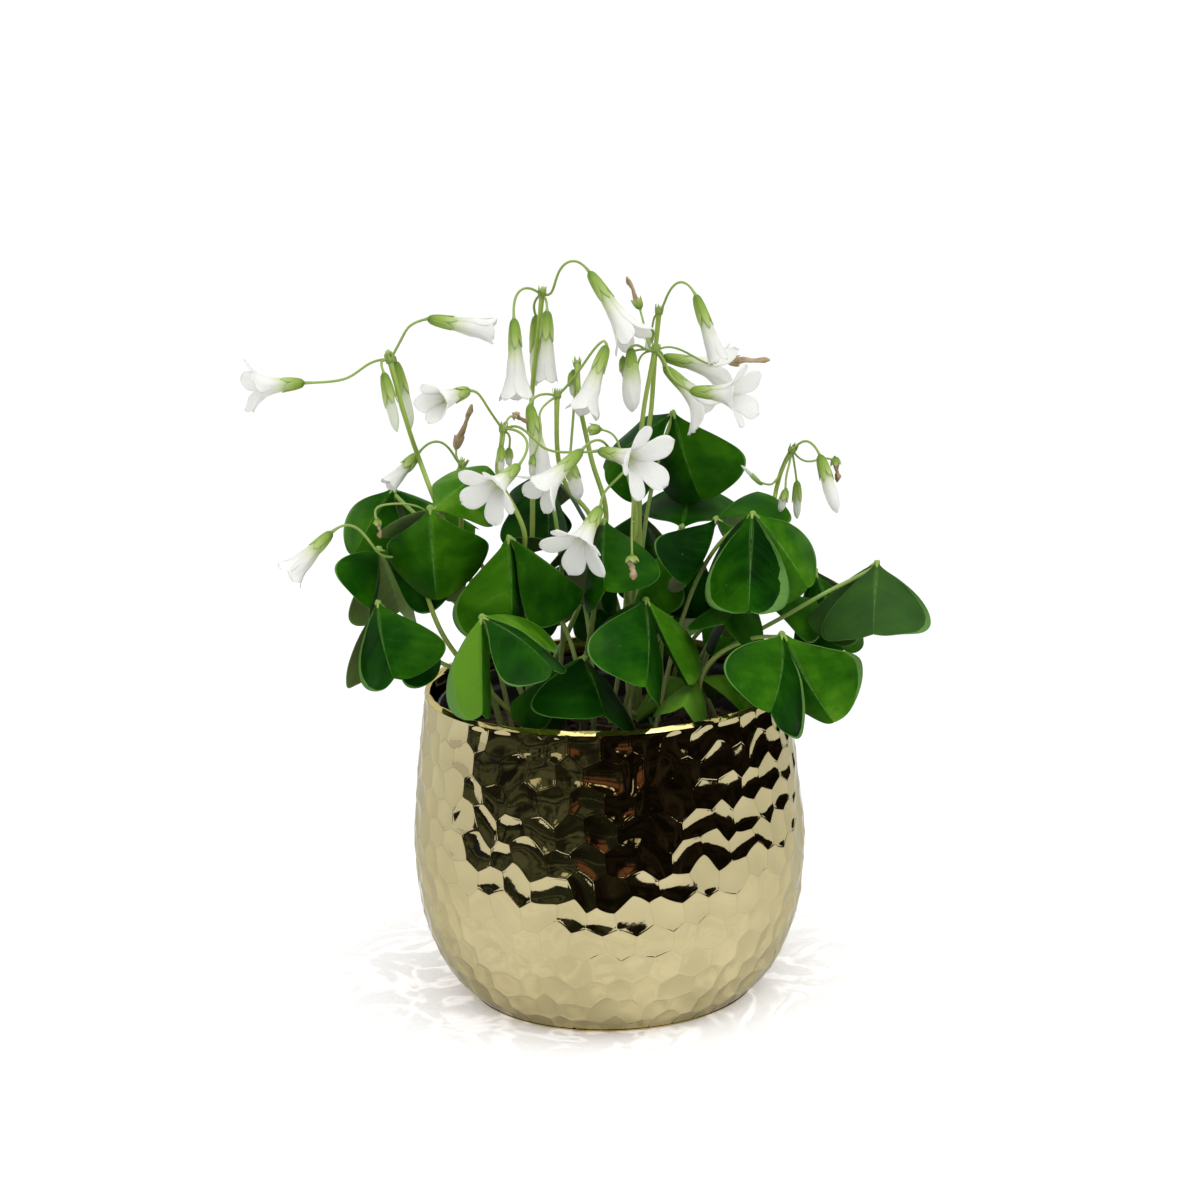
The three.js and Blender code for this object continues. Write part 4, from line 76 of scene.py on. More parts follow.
    {"name": "flower_stalk_09", "scape": [[8.66, -22.0, 169.9], [9.76, -23.2, 164.56], [10.68, -22.63, 158.52], [10.8, -20.67, 151.99], [9.39, -19.25, 145.68], [7.82, -17.61, 138.23], [7.98, -14.11, 127.78], [9.88, -8.79, 114.56], [12.96, -2.27, 99.5], [16.62, 4.87, 83.52]], "pedicels": [[[8.66, -22.0, 169.9], [7.23, -23.44, 171.66], [5.41, -24.58, 173.99], [3.46, -26.23, 176.83], [1.54, -28.79, 179.34], [-0.79, -30.95, 179.99], [-3.13, -32.54, 178.97], [-4.53, -34.02, 177.8]], [[8.66, -22.0, 169.9], [7.32, -24.16, 168.78], [5.35, -27.08, 167.46], [3.12, -30.39, 165.99], [1.53, -33.15, 164.51], [0.68, -35.56, 162.93], [0.4, -37.75, 161.44]]], "small": [{"kind": "wither", "stem": [[8.66, -22.0, 169.9], [9.89, -24.42, 167.3], [10.09, -27.92, 162.71], [9.62, -32.11, 156.96], [9.29, -36.11, 151.7], [9.17, -40.1, 146.1]], "base": [9.16, -39.87, 146.97], "tip": [9.24, -41.69, 140.18], "radius": 1.5}, {"kind": "bud", "stem": [[8.66, -22.0, 169.9], [7.61, -21.41, 171.82], [6.89, -20.66, 174.44], [6.2, -19.83, 177.38], [4.88, -19.15, 179.5], [3.01, -18.57, 180.63], [0.09, -18.0, 181.18]], "base": [0.98, -18.0, 181.22], "tip": [-2.9, -18.0, 181.04], "radius": 1.4}]},
    {"name": "flower_stalk_10", "scape": [[-55.03, -18.0, 145.44], [-54.21, -19.84, 140.62], [-53.03, -21.99, 135.17], [-51.35, -23.59, 128.96], [-49.25, -22.51, 122.46], [-46.42, -18.96, 115.72], [-42.13, -15.19, 108.43], [-36.06, -12.76, 100.43], [-28.71, -11.38, 91.91], [-20.73, -10.53, 83.14]], "pedicels": [[[-55.03, -18.0, 145.44], [-61.14, -18.37, 144.37], [-65.61, -19.17, 144.95], [-68.06, -19.91, 147.72], [-70.48, -19.03, 150.98], [-73.46, -19.11, 153.92], [-76.92, -20.22, 154.72], [-80.32, -20.81, 152.97]]], "small": [{"kind": "wither", "stem": [[-55.03, -18.0, 145.44], [-51.96, -19.14, 152.21], [-51.37, -20.24, 157.46], [-54.67, -21.24, 160.15], [-58.85, -21.88, 161.14], [-63.08, -22.63, 161.24], [-66.54, -23.65, 160.1], [-66.17, -23.99, 155.98]], "base": [-66.03, -23.99, 156.87], "tip": [-66.91, -23.99, 151.41], "radius": 0.9}]},
    {"name": "flower_stalk_11", "scape": [[60.16, 6.0, 168.82], [58.4, 10.37, 164.45], [56.78, 13.72, 159.05], [55.44, 14.21, 153.48], [54.26, 9.92, 150.08], [51.7, 5.47, 144.92], [46.65, 5.01, 134.41], [39.61, 7.91, 119.56], [31.25, 13.05, 101.81], [22.22, 19.3, 82.61]], "pedicels": [[[60.16, 6.0, 168.82], [60.92, 5.63, 169.65], [62.61, 4.91, 171.16], [64.66, 4.09, 171.79], [66.45, 3.37, 170.71], [67.66, 2.68, 169.06], [68.33, 2.08, 167.75]]], "small": [{"kind": "bud", "stem": [[60.16, 6.0, 168.82], [59.57, 5.14, 166.31], [58.89, 4.31, 163.89], [58.19, 3.51, 161.59], [57.84, 2.75, 159.34], [57.58, 1.87, 156.23]], "base": [57.83, 2.0, 157.08], "tip": [55.82, 1.0, 150.42], "radius": 1.2}, {"kind": "bud", "stem": [[60.16, 6.0, 168.82], [60.52, 6.41, 166.67], [60.9, 6.88, 164.24], [61.32, 7.42, 161.4], [61.76, 8.08, 157.44]], "base": [61.76, 8.0, 158.34], "tip": [61.72, 9.0, 146.39], "radius": 1.3}, {"kind": "wither", "stem": [[60.16, 6.0, 168.82], [62.36, 7.22, 166.14], [65.04, 8.47, 164.67], [68.27, 9.75, 164.74], [71.34, 10.93, 164.98], [74.15, 12.11, 163.92]], "base": [74.04, 12.0, 164.81], "tip": [75.02, 13.0, 156.98], "radius": 1.2}, {"kind": "bud", "stem": [[60.16, 6.0, 168.82], [57.72, 5.34, 164.05], [55.43, 4.78, 160.28], [53.45, 4.39, 158.54], [51.8, 4.19, 158.75], [49.65, 4.0, 159.46]], "base": [50.28, 4.0, 158.82], "tip": [44.2, 4.0, 164.98], "radius": 0.6}]},
]
# flower: base of the calyx, middle of the mouth, radius over the petals
FLOWERS = [
    {"name": "flower_01", "base": [-87.15, -14.0, 197.21], "mouth": [-103.06, -20.0, 197.09], "flare": 8.5, "kind": "half"},
    {"name": "flower_02", "base": [-49.38, -4.0, 213.95], "mouth": [-29.69, -4.0, 209.72], "flare": 4.2, "kind": "half"},
    {"name": "flower_bud_03", "base": [-63.05, -12.0, 198.87], "mouth": [-59.87, -14.0, 181.56], "flare": 1.7, "kind": "bud"},
    {"name": "flower_bud_04", "base": [-59.95, -4.0, 200.98], "mouth": [-56.56, -2.0, 180.38], "flare": 2.1, "kind": "bud"},
    {"name": "flower_05", "base": [-37.03, -34.0, 196.22], "mouth": [-47.27, -48.0, 194.91], "flare": 6.0, "kind": "half"},
    {"name": "flower_06", "base": [-23.36, -34.0, 173.68], "mouth": [-33.12, -46.0, 166.8], "flare": 10.5, "kind": "open"},
    {"name": "flower_07", "base": [-55.18, -1.15, 172.15], "mouth": [-64.02, -7.0, 163.89], "flare": 2.3, "kind": "tube"},
    {"name": "flower_08", "base": [-80.59, -20.9, 152.72], "mouth": [-93.74, -24.9, 140.82], "flare": 5.0, "kind": "half"},
    {"name": "flower_09", "base": [-23.91, -2.0, 212.62], "mouth": [-23.81, -6.0, 188.88], "flare": 5.5, "kind": "half"},
    {"name": "flower_bud_10", "base": [-17.56, 12.0, 211.67], "mouth": [-18.39, 14.0, 190.03], "flare": 2.0, "kind": "bud"},
    {"name": "flower_11", "base": [-13.95, 2.0, 214.26], "mouth": [-14.68, 1.0, 193.06], "flare": 2.6, "kind": "tube"},
    {"name": "flower_12", "base": [-0.55, 2.0, 225.62], "mouth": [12.62, -6.0, 205.04], "flare": 6.5, "kind": "half"},
    {"name": "flower_13", "base": [31.36, 3.0, 217.58], "mouth": [37.8, 0.0, 197.68], "flare": 2.6, "kind": "tube"},
    {"name": "flower_14", "base": [29.07, -8.0, 190.27], "mouth": [45.28, -18.0, 189.76], "flare": 8.5, "kind": "open"},
    {"name": "flower_15", "base": [21.53, 6.0, 195.52], "mouth": [35.57, 4.0, 181.77], "flare": 9.0, "kind": "open"},
    {"name": "flower_16", "base": [21.53, 13.88, 197.84], "mouth": [41.5, 18.08, 192.27], "flare": 8.0, "kind": "half"},
    {"name": "flower_17", "base": [3.55, -10.0, 204.64], "mouth": [-4.25, -16.0, 185.59], "flare": 5.5, "kind": "half"},
    {"name": "flower_18", "base": [0.77, -26.74, 176.1], "mouth": [15.11, -40.74, 174.58], "flare": 14.0, "kind": "open"},
    {"name": "flower_19", "base": [-4.8, -34.17, 177.58], "mouth": [-18.5, -42.17, 166.18], "flare": 8.0, "kind": "half"},
    {"name": "flower_20", "base": [0.23, -38.0, 161.21], "mouth": [-7.99, -50.0, 149.75], "flare": 11.5, "kind": "open"},
    {"name": "flower_21", "base": [68.43, 2.0, 167.39], "mouth": [73.12, -2.0, 150.16], "flare": 2.3, "kind": "tube"},
    {"name": "flower_22", "base": [-19.73, -14.0, 188.17], "mouth": [-16.28, -20.0, 164.85], "flare": 4.2, "kind": "half"},
    {"name": "flower_23", "base": [11.07, -6.0, 203.27], "mouth": [10.85, -6.0, 184.13], "flare": 3.2, "kind": "tube"},
    {"name": "flower_24", "base": [-8.34, -13.25, 170.67], "mouth": [-6.01, -13.25, 158.94], "flare": 2.4, "kind": "tube"},
]


# ---------------------------------------------------------------- meshes
class Buf:
    """Grids and fans gathered into one mesh, in millimetres."""

    def __init__(self):
        self.v, self.f, self.uv, self.id, self.m, self.n = [], [], [], [], [], 0

    def add(self, verts, faces, uv, seed=(0.0, 0.0), mat=0):
        verts = np.asarray(verts, float).reshape(-1, 3)
        self.v.append(verts)
        self.uv.append(np.asarray(uv, float).reshape(-1, 2))
        seed = tuple(seed) + (0.03, 0.03)[: 4 - len(seed)] if len(seed) < 4 else seed
        self.id.append(np.tile(np.asarray(seed, float), (len(verts), 1)))
        for f in faces:
            self.f.append([i + self.n for i in f])
            self.m.append(mat)
        self.n += len(verts)

    def grid(self, G, uv, seed=(0.0, 0.0), mat=0, wrap=False, flip=False):
        """G is rows x columns x 3. wrap joins the last column to the first."""
        r, c = G.shape[:2]
        faces = []
        for i in range(r - 1):
            for j in range(c if wrap else c - 1):
                k = (j + 1) % c
                q = [i * c + j, i * c + k, (i + 1) * c + k, (i + 1) * c + j]
                faces.append(q[::-1] if flip else q)
        self.add(G, faces, uv, seed, mat)

    def build(self, name, materials, smooth=True):
        V = np.vstack(self.v) * MM
        me = bpy.data.meshes.new(name)
        me.from_pydata(V.tolist(), [], self.f)
        UV, ID = np.vstack(self.uv), np.vstack(self.id)
        li = np.empty(len(me.loops), np.int32)
        me.loops.foreach_get("vertex_index", li)
        for nm, A in (("grown", UV), ("seed", ID[:, :2]), ("edge", ID[:, 2:])):
            lay = me.uv_layers.new(name=nm)
            lay.data.foreach_set("uv", A[li].astype(np.float32).ravel())
        me.polygons.foreach_set("material_index", np.array(self.m, np.int32))
        me.polygons.foreach_set("use_smooth", np.full(len(self.m), smooth))
        for m in materials:
            me.materials.append(m)
        me.validate()
        me.update()
        ob = bpy.data.objects.new(name, me)
        bpy.context.scene.collection.objects.link(ob)
        return ob


def place(ob, node):
    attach(ob, "root")
    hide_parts(node)
    return ob


def spline(P, n, power=0.5):
    """n points on a natural cubic through P, spaced evenly in its own parameter."""
    P = np.asarray(P, float)
    k = len(P)
    d = np.r_[0, np.cumsum(np.linalg.norm(np.diff(P, axis=0), axis=1) ** power + 1e-6)]
    t = np.linspace(0, d[-1], n)
    if k == 2:
        return P[0] + (P[1] - P[0]) * (t / d[-1])[:, None]
    h = np.diff(d)
    A = np.zeros((k, k))
    B = np.zeros((k, P.shape[1]))
    A[0, 0] = A[-1, -1] = 1
    for i in range(1, k - 1):
        A[i, i - 1], A[i, i], A[i, i + 1] = h[i - 1], 2 * (h[i - 1] + h[i]), h[i]
        B[i] = 6 * ((P[i + 1] - P[i]) / h[i] - (P[i] - P[i - 1]) / h[i - 1])
    M = np.linalg.solve(A, B)
    j = np.clip(np.searchsorted(d, t, side="right") - 1, 0, k - 2)
    a, b = (d[j + 1] - t)[:, None], (t - d[j])[:, None]
    hj = h[j][:, None]
    return (M[j] * a**3 + M[j + 1] * b**3) / (6 * hj) + (P[j] / hj - M[j] * hj / 6) * a + (P[j + 1] / hj - M[j + 1] * hj / 6) * b


def even(P, step):
    """The same cubic, at points a fixed distance apart."""
    Q = spline(P, 400)
    s = np.r_[0, np.cumsum(np.linalg.norm(np.diff(Q, axis=0), axis=1))]
    n = max(4, int(s[-1] / step) + 1)
    t = np.linspace(0, s[-1], n)
    return np.stack([np.interp(t, s, Q[:, i]) for i in range(3)], 1)


def frames(P):
    """A twist-free pair of cross directions along a polyline."""
    T = np.gradient(P, axis=0)
    T /= np.linalg.norm(T, axis=1)[:, None] + 1e-12
    a = np.array([1.0, 0, 0]) if abs(T[0][0]) < 0.8 else np.array([0, 1.0, 0])
    U = np.zeros_like(P)
    U[0] = a - T[0] * (a @ T[0])
    U[0] /= np.linalg.norm(U[0])
    for i in range(1, len(P)):
        u = U[i - 1] - T[i] * (U[i - 1] @ T[i])
        U[i] = u / (np.linalg.norm(u) + 1e-12)
    return T, U, np.cross(T, U)


def tube(buf, P, r, sides=10, mat=0, seed=(0.0, 0.0), v0=0.0, v1=1.0, cap=True):
    """A round stem along P with radii r, closed with domed ends."""
    r = np.broadcast_to(np.asarray(r, float), (len(P),)).copy()
    T, U, W = frames(P)
    v = np.linspace(v0, v1, len(P))
    if cap:
        e = np.array([0.0, 0.45, 0.8])
        k = np.sqrt(1 - (1 - e) ** 2) * 0.98 + 0.02
        P = np.vstack([P[0] - T[0] * (r[0] * 0.8 * (1 - e))[:, None], P, P[-1] + T[-1] * (r[-1] * 0.8 * (1 - e[::-1]))[:, None]])
        r = np.r_[r[0] * k, r, r[-1] * k[::-1]]
        U = np.vstack([np.tile(U[0], (3, 1)), U, np.tile(U[-1], (3, 1))])
        W = np.vstack([np.tile(W[0], (3, 1)), W, np.tile(W[-1], (3, 1))])
        v = np.r_[[v0] * 3, v, [v1] * 3]
    a = np.linspace(0, 2 * PI, sides, endpoint=False)
    G = P[:, None] + r[:, None, None] * (np.cos(a)[None, :, None] * U[:, None] + np.sin(a)[None, :, None] * W[:, None])
    uv = np.stack(np.broadcast_arrays(np.linspace(0, 1, sides, endpoint=False)[None], v[:, None]), 2)
    buf.grid(G, uv, seed, mat, wrap=True, flip=False)
    n = len(P)
    if cap:
        b = buf.n - n * sides
        buf.f.append([b + i for i in range(sides)][::-1])
        buf.m.append(mat)
        buf.f.append([b + (n - 1) * sides + i for i in range(sides)])
        buf.m.append(mat)


def turned(buf, prof, sides, mat=0, seed=(0.0, 0.0)):
    prof = np.asarray(prof, float)
    a = np.linspace(0, 2 * PI, sides, endpoint=False)
    G = np.stack([prof[:, 0:1] * np.cos(a), prof[:, 0:1] * np.sin(a), np.repeat(prof[:, 1:2], sides, 1)], 2)
    uv = np.stack(np.broadcast_arrays((a / (2 * PI))[None], np.linspace(0, 1, len(prof))[:, None]), 2)
    buf.grid(G, uv, seed, mat, wrap=True)


def noise2(x, y, rng, n=9, k=1.0):
    """Smooth seeded noise made of a few waves, about -1 to 1."""
    out = 0
    for _ in range(n):
        a, p, q = rng.uniform(0, 2 * PI), rng.uniform(0, 2 * PI), rng.uniform(0.5, 1.6) * k
        out = out + np.sin(q * (np.cos(a) * x + np.sin(a) * y) + p)
    return out / math.sqrt(n)


# ---------------------------------------------------------------- materials
CELLS_ROUND = 40          # hammer marks round the pot
CELL_ROW = 8.6            # distance between rows of marks
CELL_WIDTH = 9.4
CELL_RADIUS = 25.0        # radius of the hammer's face


def new_mat(name):
    m = bpy.data.materials.new(name)
    m.use_nodes = True
    t = m.node_tree
    t.nodes.clear()
    return m, t


class Nodes:
    """Short names for the nodes of one material."""

    def __init__(self, name):
        self.mat, self.t = new_mat(name)
        self.out = self.n("ShaderNodeOutputMaterial")

    def n(self, kind, **kw):
        x = self.t.nodes.new(kind)
        for k, v in kw.items():
            setattr(x, k, v)
        return x

    def put(self, socket, value):
        if hasattr(value, "is_output"):
            self.t.links.new(value, socket)
        elif value is not None:
            socket.default_value = value

    def uv(self, name):
        x = self.n("ShaderNodeUVMap", uv_map=name)
        s = self.n("ShaderNodeSeparateXYZ")
        self.put(s.inputs[0], x.outputs[0])
        return s.outputs[0], s.outputs[1]

    def obj(self):
        return self.n("ShaderNodeTexCoord").outputs["Object"]

    def math(self, op, a, b=None, c=None, clamp=False):
        x = self.n("ShaderNodeMath", operation=op, use_clamp=clamp)
        self.put(x.inputs[0], a)
        if b is not None:
            self.put(x.inputs[1], b)
        if c is not None:
            self.put(x.inputs[2], c)
        return x.outputs[0]

    def ramp(self, v, lo, hi, a=0.0, b=1.0, smooth=True):
        x = self.n("ShaderNodeMapRange", interpolation_type="SMOOTHSTEP" if smooth else "LINEAR")
        for i, q in enumerate((v, lo, hi, a, b)):
            self.put(x.inputs[i], q)
        return x.outputs[0]

    def mix(self, f, a, b, blend="MIX"):
        x = self.n("ShaderNodeMix", data_type="RGBA", blend_type=blend)
        self.put(x.inputs[0], f)
        self.put(x.inputs[6], a if hasattr(a, "is_output") else (*a, 1.0))
        self.put(x.inputs[7], b if hasattr(b, "is_output") else (*b, 1.0))
        return x.outputs[2]

    def noise(self, vec, scale, detail=3.0, rough=0.55, dist=0.0):
        x = self.n("ShaderNodeTexNoise")
        self.put(x.inputs["Vector"], vec)
        x.inputs["Scale"].default_value = scale
        x.inputs["Detail"].default_value = detail
        x.inputs["Roughness"].default_value = rough
        x.inputs["Distortion"].default_value = dist
        return x.outputs["Fac"]

    def voronoi(self, vec, scale, feature="F1"):
        x = self.n("ShaderNodeTexVoronoi", feature=feature)
        self.put(x.inputs["Vector"], vec)
        x.inputs["Scale"].default_value = scale
        return x.outputs["Distance"]

    def vec(self, x, y, z=0.0):
        c = self.n("ShaderNodeCombineXYZ")
        for i, q in enumerate((x, y, z)):
            self.put(c.inputs[i], q)
        return c.outputs[0]

    def white(self, vec):
        x = self.n("ShaderNodeTexWhiteNoise", noise_dimensions="2D")
        self.put(x.inputs["Vector"], vec)
        return x.outputs["Value"]

    def bump(self, h, strength, dist, normal=None):
        x = self.n("ShaderNodeBump")
        x.inputs["Strength"].default_value = strength
        x.inputs["Distance"].default_value = dist
        self.put(x.inputs["Height"], h)
        if normal is not None:
            self.put(x.inputs["Normal"], normal)
        return x.outputs[0]

    def surface(self, color, rough=0.5, metal=0.0, spec=0.5, normal=None, translucent=0.0, trans_color=None, sheen=0.0, coat=0.0, coat_rough=0.1, sub=0.0, sub_r=(1, 1, 1), sub_scale=0.001):
        p = self.n("ShaderNodeBsdfPrincipled")
        self.put(p.inputs["Base Color"], color if hasattr(color, "is_output") else (*color, 1.0))
        self.put(p.inputs["Roughness"], rough)
        self.put(p.inputs["Metallic"], metal)
        p.inputs["Specular IOR Level"].default_value = spec
        if normal is not None:
            self.put(p.inputs["Normal"], normal)
        p.inputs["Sheen Weight"].default_value = sheen
        p.inputs["Coat Weight"].default_value = coat
        p.inputs["Coat Roughness"].default_value = coat_rough
        if sub:
            p.inputs["Subsurface Weight"].default_value = sub
            p.inputs["Subsurface Radius"].default_value = sub_r
            p.inputs["Subsurface Scale"].default_value = sub_scale
        res = p.outputs[0]
        if translucent:
            tr = self.n("ShaderNodeBsdfTranslucent")
            self.put(tr.inputs["Color"], trans_color if hasattr(trans_color, "is_output") else (*trans_color, 1.0))
            if normal is not None:
                self.put(tr.inputs["Normal"], normal)
            mx = self.n("ShaderNodeMixShader")
            mx.inputs[0].default_value = translucent
            self.put(mx.inputs[1], res)
            self.put(mx.inputs[2], tr.outputs[0])
            res = mx.outputs[0]
        self.put(self.out.inputs[0], res)
        return self.mat


def leaf_material(name, under=False):
    """Blade: U runs from one margin (-1) over the midrib (0) to the other (1), V from the base to the notch.
    The map "seed" holds the tone of each half, part the leaf's own colour and part painted light and shade; the map
    "edge" the width of the turned-up margin of each half."""
    N = Nodes(name)
    u, v = N.uv("grown")
    t1, t2 = N.uv("seed")
    e1, e2 = N.uv("edge")
    s = N.math("ABSOLUTE", u)
    P = N.obj()
    big = N.noise(P, 62.0, 2.0, 0.5, 0.4)
    mid = N.noise(P, 170.0, 3.0, 0.55)
    fine = N.noise(P, 620.0, 4.0, 0.6)
    right = N.ramp(u, -0.05, 0.05)
    # side veins leave the midrib and run out to the margin along lines of equal V
    wob = N.math("MULTIPLY_ADD", mid, 0.05, v)
    ph = N.math("FRACT", N.math("MULTIPLY", wob, 12.0))
    vein = N.ramp(N.math("ABSOLUTE", N.math("SUBTRACT", ph, 0.5)), 0.0, 0.12, 1.0, 0.0)
    vein = N.math("MULTIPLY", vein, N.ramp(s, 0.95, 0.15, 0.0, 1.0))
    # midrib: a shallow pleat with two pale lines that fade towards the notch
    rib = N.ramp(N.math("ABSOLUTE", N.math("SUBTRACT", s, N.ramp(v, 0.0, 0.7, 0.050, 0.012))), 0.0, 0.020, 1.0, 0.0)
    rib = N.math("MULTIPLY", rib, N.ramp(v, 0.75, 0.05, 0.12, 1.0))
    line = N.math("MULTIPLY", N.ramp(s, 0.0, 0.016, 1.0, 0.0), N.ramp(fine, 0.36, 0.56, 0.15, 0.9))
    # margin strip
    w = N.math("ADD", N.math("MULTIPLY", right, e2), N.math("MULTIPLY", N.math("SUBTRACT", 1.0, right), e1))
    w = N.math("MULTIPLY", w, N.ramp(mid, 0.25, 0.75, 0.80, 1.20))
    w = N.math("MULTIPLY", w, N.math("MULTIPLY", N.ramp(v, 0.0, 0.20, 0.25, 1.0), N.ramp(v, 0.50, 0.88, 1.0, 0.25)))
    inner = N.math("SUBTRACT", 1.0, w)
    strip = N.ramp(N.math("SUBTRACT", s, inner), -0.006, 0.014)
    # tone of each half: part the leaf's own colour, part painted light and shade
    tone = N.math("ADD", N.math("MULTIPLY", right, t2), N.math("MULTIPLY", N.math("SUBTRACT", 1.0, right), t1))
    dusty = N.ramp(t1, 1.45, 1.55)
    tone = N.math("SUBTRACT", tone, N.math("MULTIPLY", dusty, 1.25))
    tone = N.math("ADD", tone, N.ramp(big, 0.30, 0.70, -0.16, 0.16))
    tone = N.math("ADD", tone, N.ramp(v, 0.62, 1.0, 0.0, 0.16))
    # soft bands that follow the side veins
    band = N.noise(N.vec(N.math("MULTIPLY", u, 1.6), N.math("MULTIPLY", v, 9.0), N.math("MULTIPLY", t1, 40.0)), 1.0, 2.0, 0.5)
    tone = N.math("ADD", tone, N.ramp(band, 0.34, 0.66, -0.05, 0.05))
    tone = N.math("ADD", tone, N.ramp(fine, 0.3, 0.7, -0.035, 0.035))
    if under:
        c = N.mix(N.ramp(tone, 0.0, 0.9), (0.100, 0.120, 0.048), (0.150, 0.270, 0.050))
        c = N.mix(N.math("MULTIPLY", N.ramp(mid, 0.45, 0.7), 0.3), c, (0.150, 0.140, 0.085))
        c = N.mix(N.math("MULTIPLY", vein, 0.25), c, (0.26, 0.38, 0.14))
        c = N.mix(N.math("MULTIPLY", rib, 0.7), c, (0.30, 0.42, 0.16))
        tc, rough = (0.22, 0.42, 0.03), 0.6
    else:
        x = N.n("ShaderNodeValToRGB")
        N.put(x.inputs[0], tone)
        r = x.color_ramp
        stops = [(0.0, (0.0012, 0.021, 0.0003)), (0.25, (0.0050, 0.054, 0.0006)), (0.50, (0.0200, 0.105, 0.0013)), (0.75, (0.0480, 0.175, 0.0036)), (1.0, (0.120, 0.290, 0.018))]
        r.elements[0].position, r.elements[0].color = stops[0][0], (*stops[0][1], 1)
        r.elements[1].position, r.elements[1].color = stops[4][0], (*stops[4][1], 1)
        for p, col in stops[1:4]:
            q = r.elements.new(p)
            q.color = (*col, 1)
        c = x.outputs[0]
        # dusty, slightly olive bloom in soft patches
        bloom = N.math("MULTIPLY", N.ramp(N.noise(P, 34.0, 2.0), 0.54, 0.72), 0.22)
        bloom = N.math("MAXIMUM", bloom, N.math("MULTIPLY", dusty, 0.5))
        c = N.mix(bloom, c, (0.052, 0.098, 0.030))
        c = N.mix(N.math("MULTIPLY", vein, 0.06), c, (0.075, 0.20, 0.020))
        c = N.mix(N.math("MULTIPLY", rib, 0.50), c, (0.120, 0.27, 0.035))
        c = N.mix(N.math("MULTIPLY", line, 0.55), c, (0.200, 0.340, 0.110))
        c = N.mix(N.math("MULTIPLY", strip, N.ramp(fine, 0.3, 0.7, 0.82, 0.95)), c, (0.118, 0.262, 0.058))
        # painted highlight: a thin bright line where the turned-up strip bends up
        lip = N.ramp(N.math("ABSOLUTE", N.math("SUBTRACT", s, inner)), 0.0, 0.012, 1.0, 0.0)
        c = N.mix(N.math("MULTIPLY", lip, N.ramp(w, 0.05, 0.12, 0.0, 0.45)), c, (0.26, 0.42, 0.12))
        specks = N.math("MULTIPLY", N.ramp(N.voronoi(P, 420.0), 0.0, 0.16, 1.0, 0.0), N.ramp(N.noise(P, 90.0, 1.0), 0.60, 0.70))
        c = N.mix(N.math("MULTIPLY", specks, 0.5), c, (0.20, 0.26, 0.14))
        tc, rough = (0.10, 0.34, 0.006), 0.50
    h = N.math("MULTIPLY_ADD", vein, 0.5 if under else -0.4, N.math("MULTIPLY", fine, 0.5))
    h = N.math("MULTIPLY_ADD", rib, -0.8, h)
    nrm = N.bump(h, 0.30, 0.00018)
    ro = N.ramp(fine, 0.3, 0.8, rough - 0.05, rough + 0.1, smooth=False)
    return N.surface(c, ro, spec=0.035, normal=nrm, translucent=0.16, trans_color=tc)


def stem_material(name, base, top, bump=0.3):
    """Stalks: V runs from the soil (0) to the tip (1)."""
    N = Nodes(name)
    u, v = N.uv("grown")
    r1, r2 = N.uv("seed")
    P = N.obj()
    n1, n2 = N.noise(P, 160.0, 3.0), N.noise(P, 900.0, 3.0)
    c = N.mix(N.ramp(v, 0.0, 0.85), base, top)
    c = N.mix(N.math("MULTIPLY", N.ramp(n1, 0.45, 0.75), 0.35), c, tuple(0.62 * q for q in base))
    c = N.mix(N.math("MULTIPLY", r1, 0.35), c, (0.13, 0.30, 0.045))
    line = N.math("FRACT", N.math("MULTIPLY", u, 7.0))
    line = N.ramp(N.math("ABSOLUTE", N.math("SUBTRACT", line, 0.5)), 0.05, 0.25, 1.0, 0.0)
    c = N.mix(N.math("MULTIPLY", line, 0.14), c, (0.45, 0.58, 0.22))
    nrm = N.bump(N.math("ADD", N.math("MULTIPLY", line, 0.5), n2), bump, 0.00012)
    return N.surface(c, N.ramp(n2, 0.3, 0.7, 0.38, 0.52, smooth=False), spec=0.45, normal=nrm, translucent=0.2, trans_color=tuple(min(1, 1.5 * q) for q in top))


def calyx_material():
    """Sepals: V from the base (0) to the tip (1), U across."""
    N = Nodes("calyx")
    u, v = N.uv("grown")
    r1, r2 = N.uv("seed")
    P = N.obj()
    fine = N.noise(P, 1100.0, 3.0)
    c = N.mix(N.ramp(v, 0.0, 0.35), (0.125, 0.24, 0.022), (0.30, 0.43, 0.065))
    c = N.mix(N.ramp(v, 0.30, 0.95), c, (0.56, 0.66, 0.25))
    c = N.mix(N.math("MULTIPLY", r2, 0.35), c, (0.26, 0.44, 0.06))
    line = N.math("FRACT", N.math("MULTIPLY", u, 3.0))
    line = N.ramp(N.math("ABSOLUTE", N.math("SUBTRACT", line, 0.5)), 0.02, 0.2, 1.0, 0.0)
    c = N.mix(N.math("MULTIPLY", line, 0.25), c, (0.18, 0.38, 0.05))
    nrm = N.bump(N.math("ADD", line, fine), 0.3, 0.0001)
    return N.surface(c, 0.5, spec=0.4, normal=nrm, translucent=0.25, trans_color=(0.45, 0.68, 0.12))


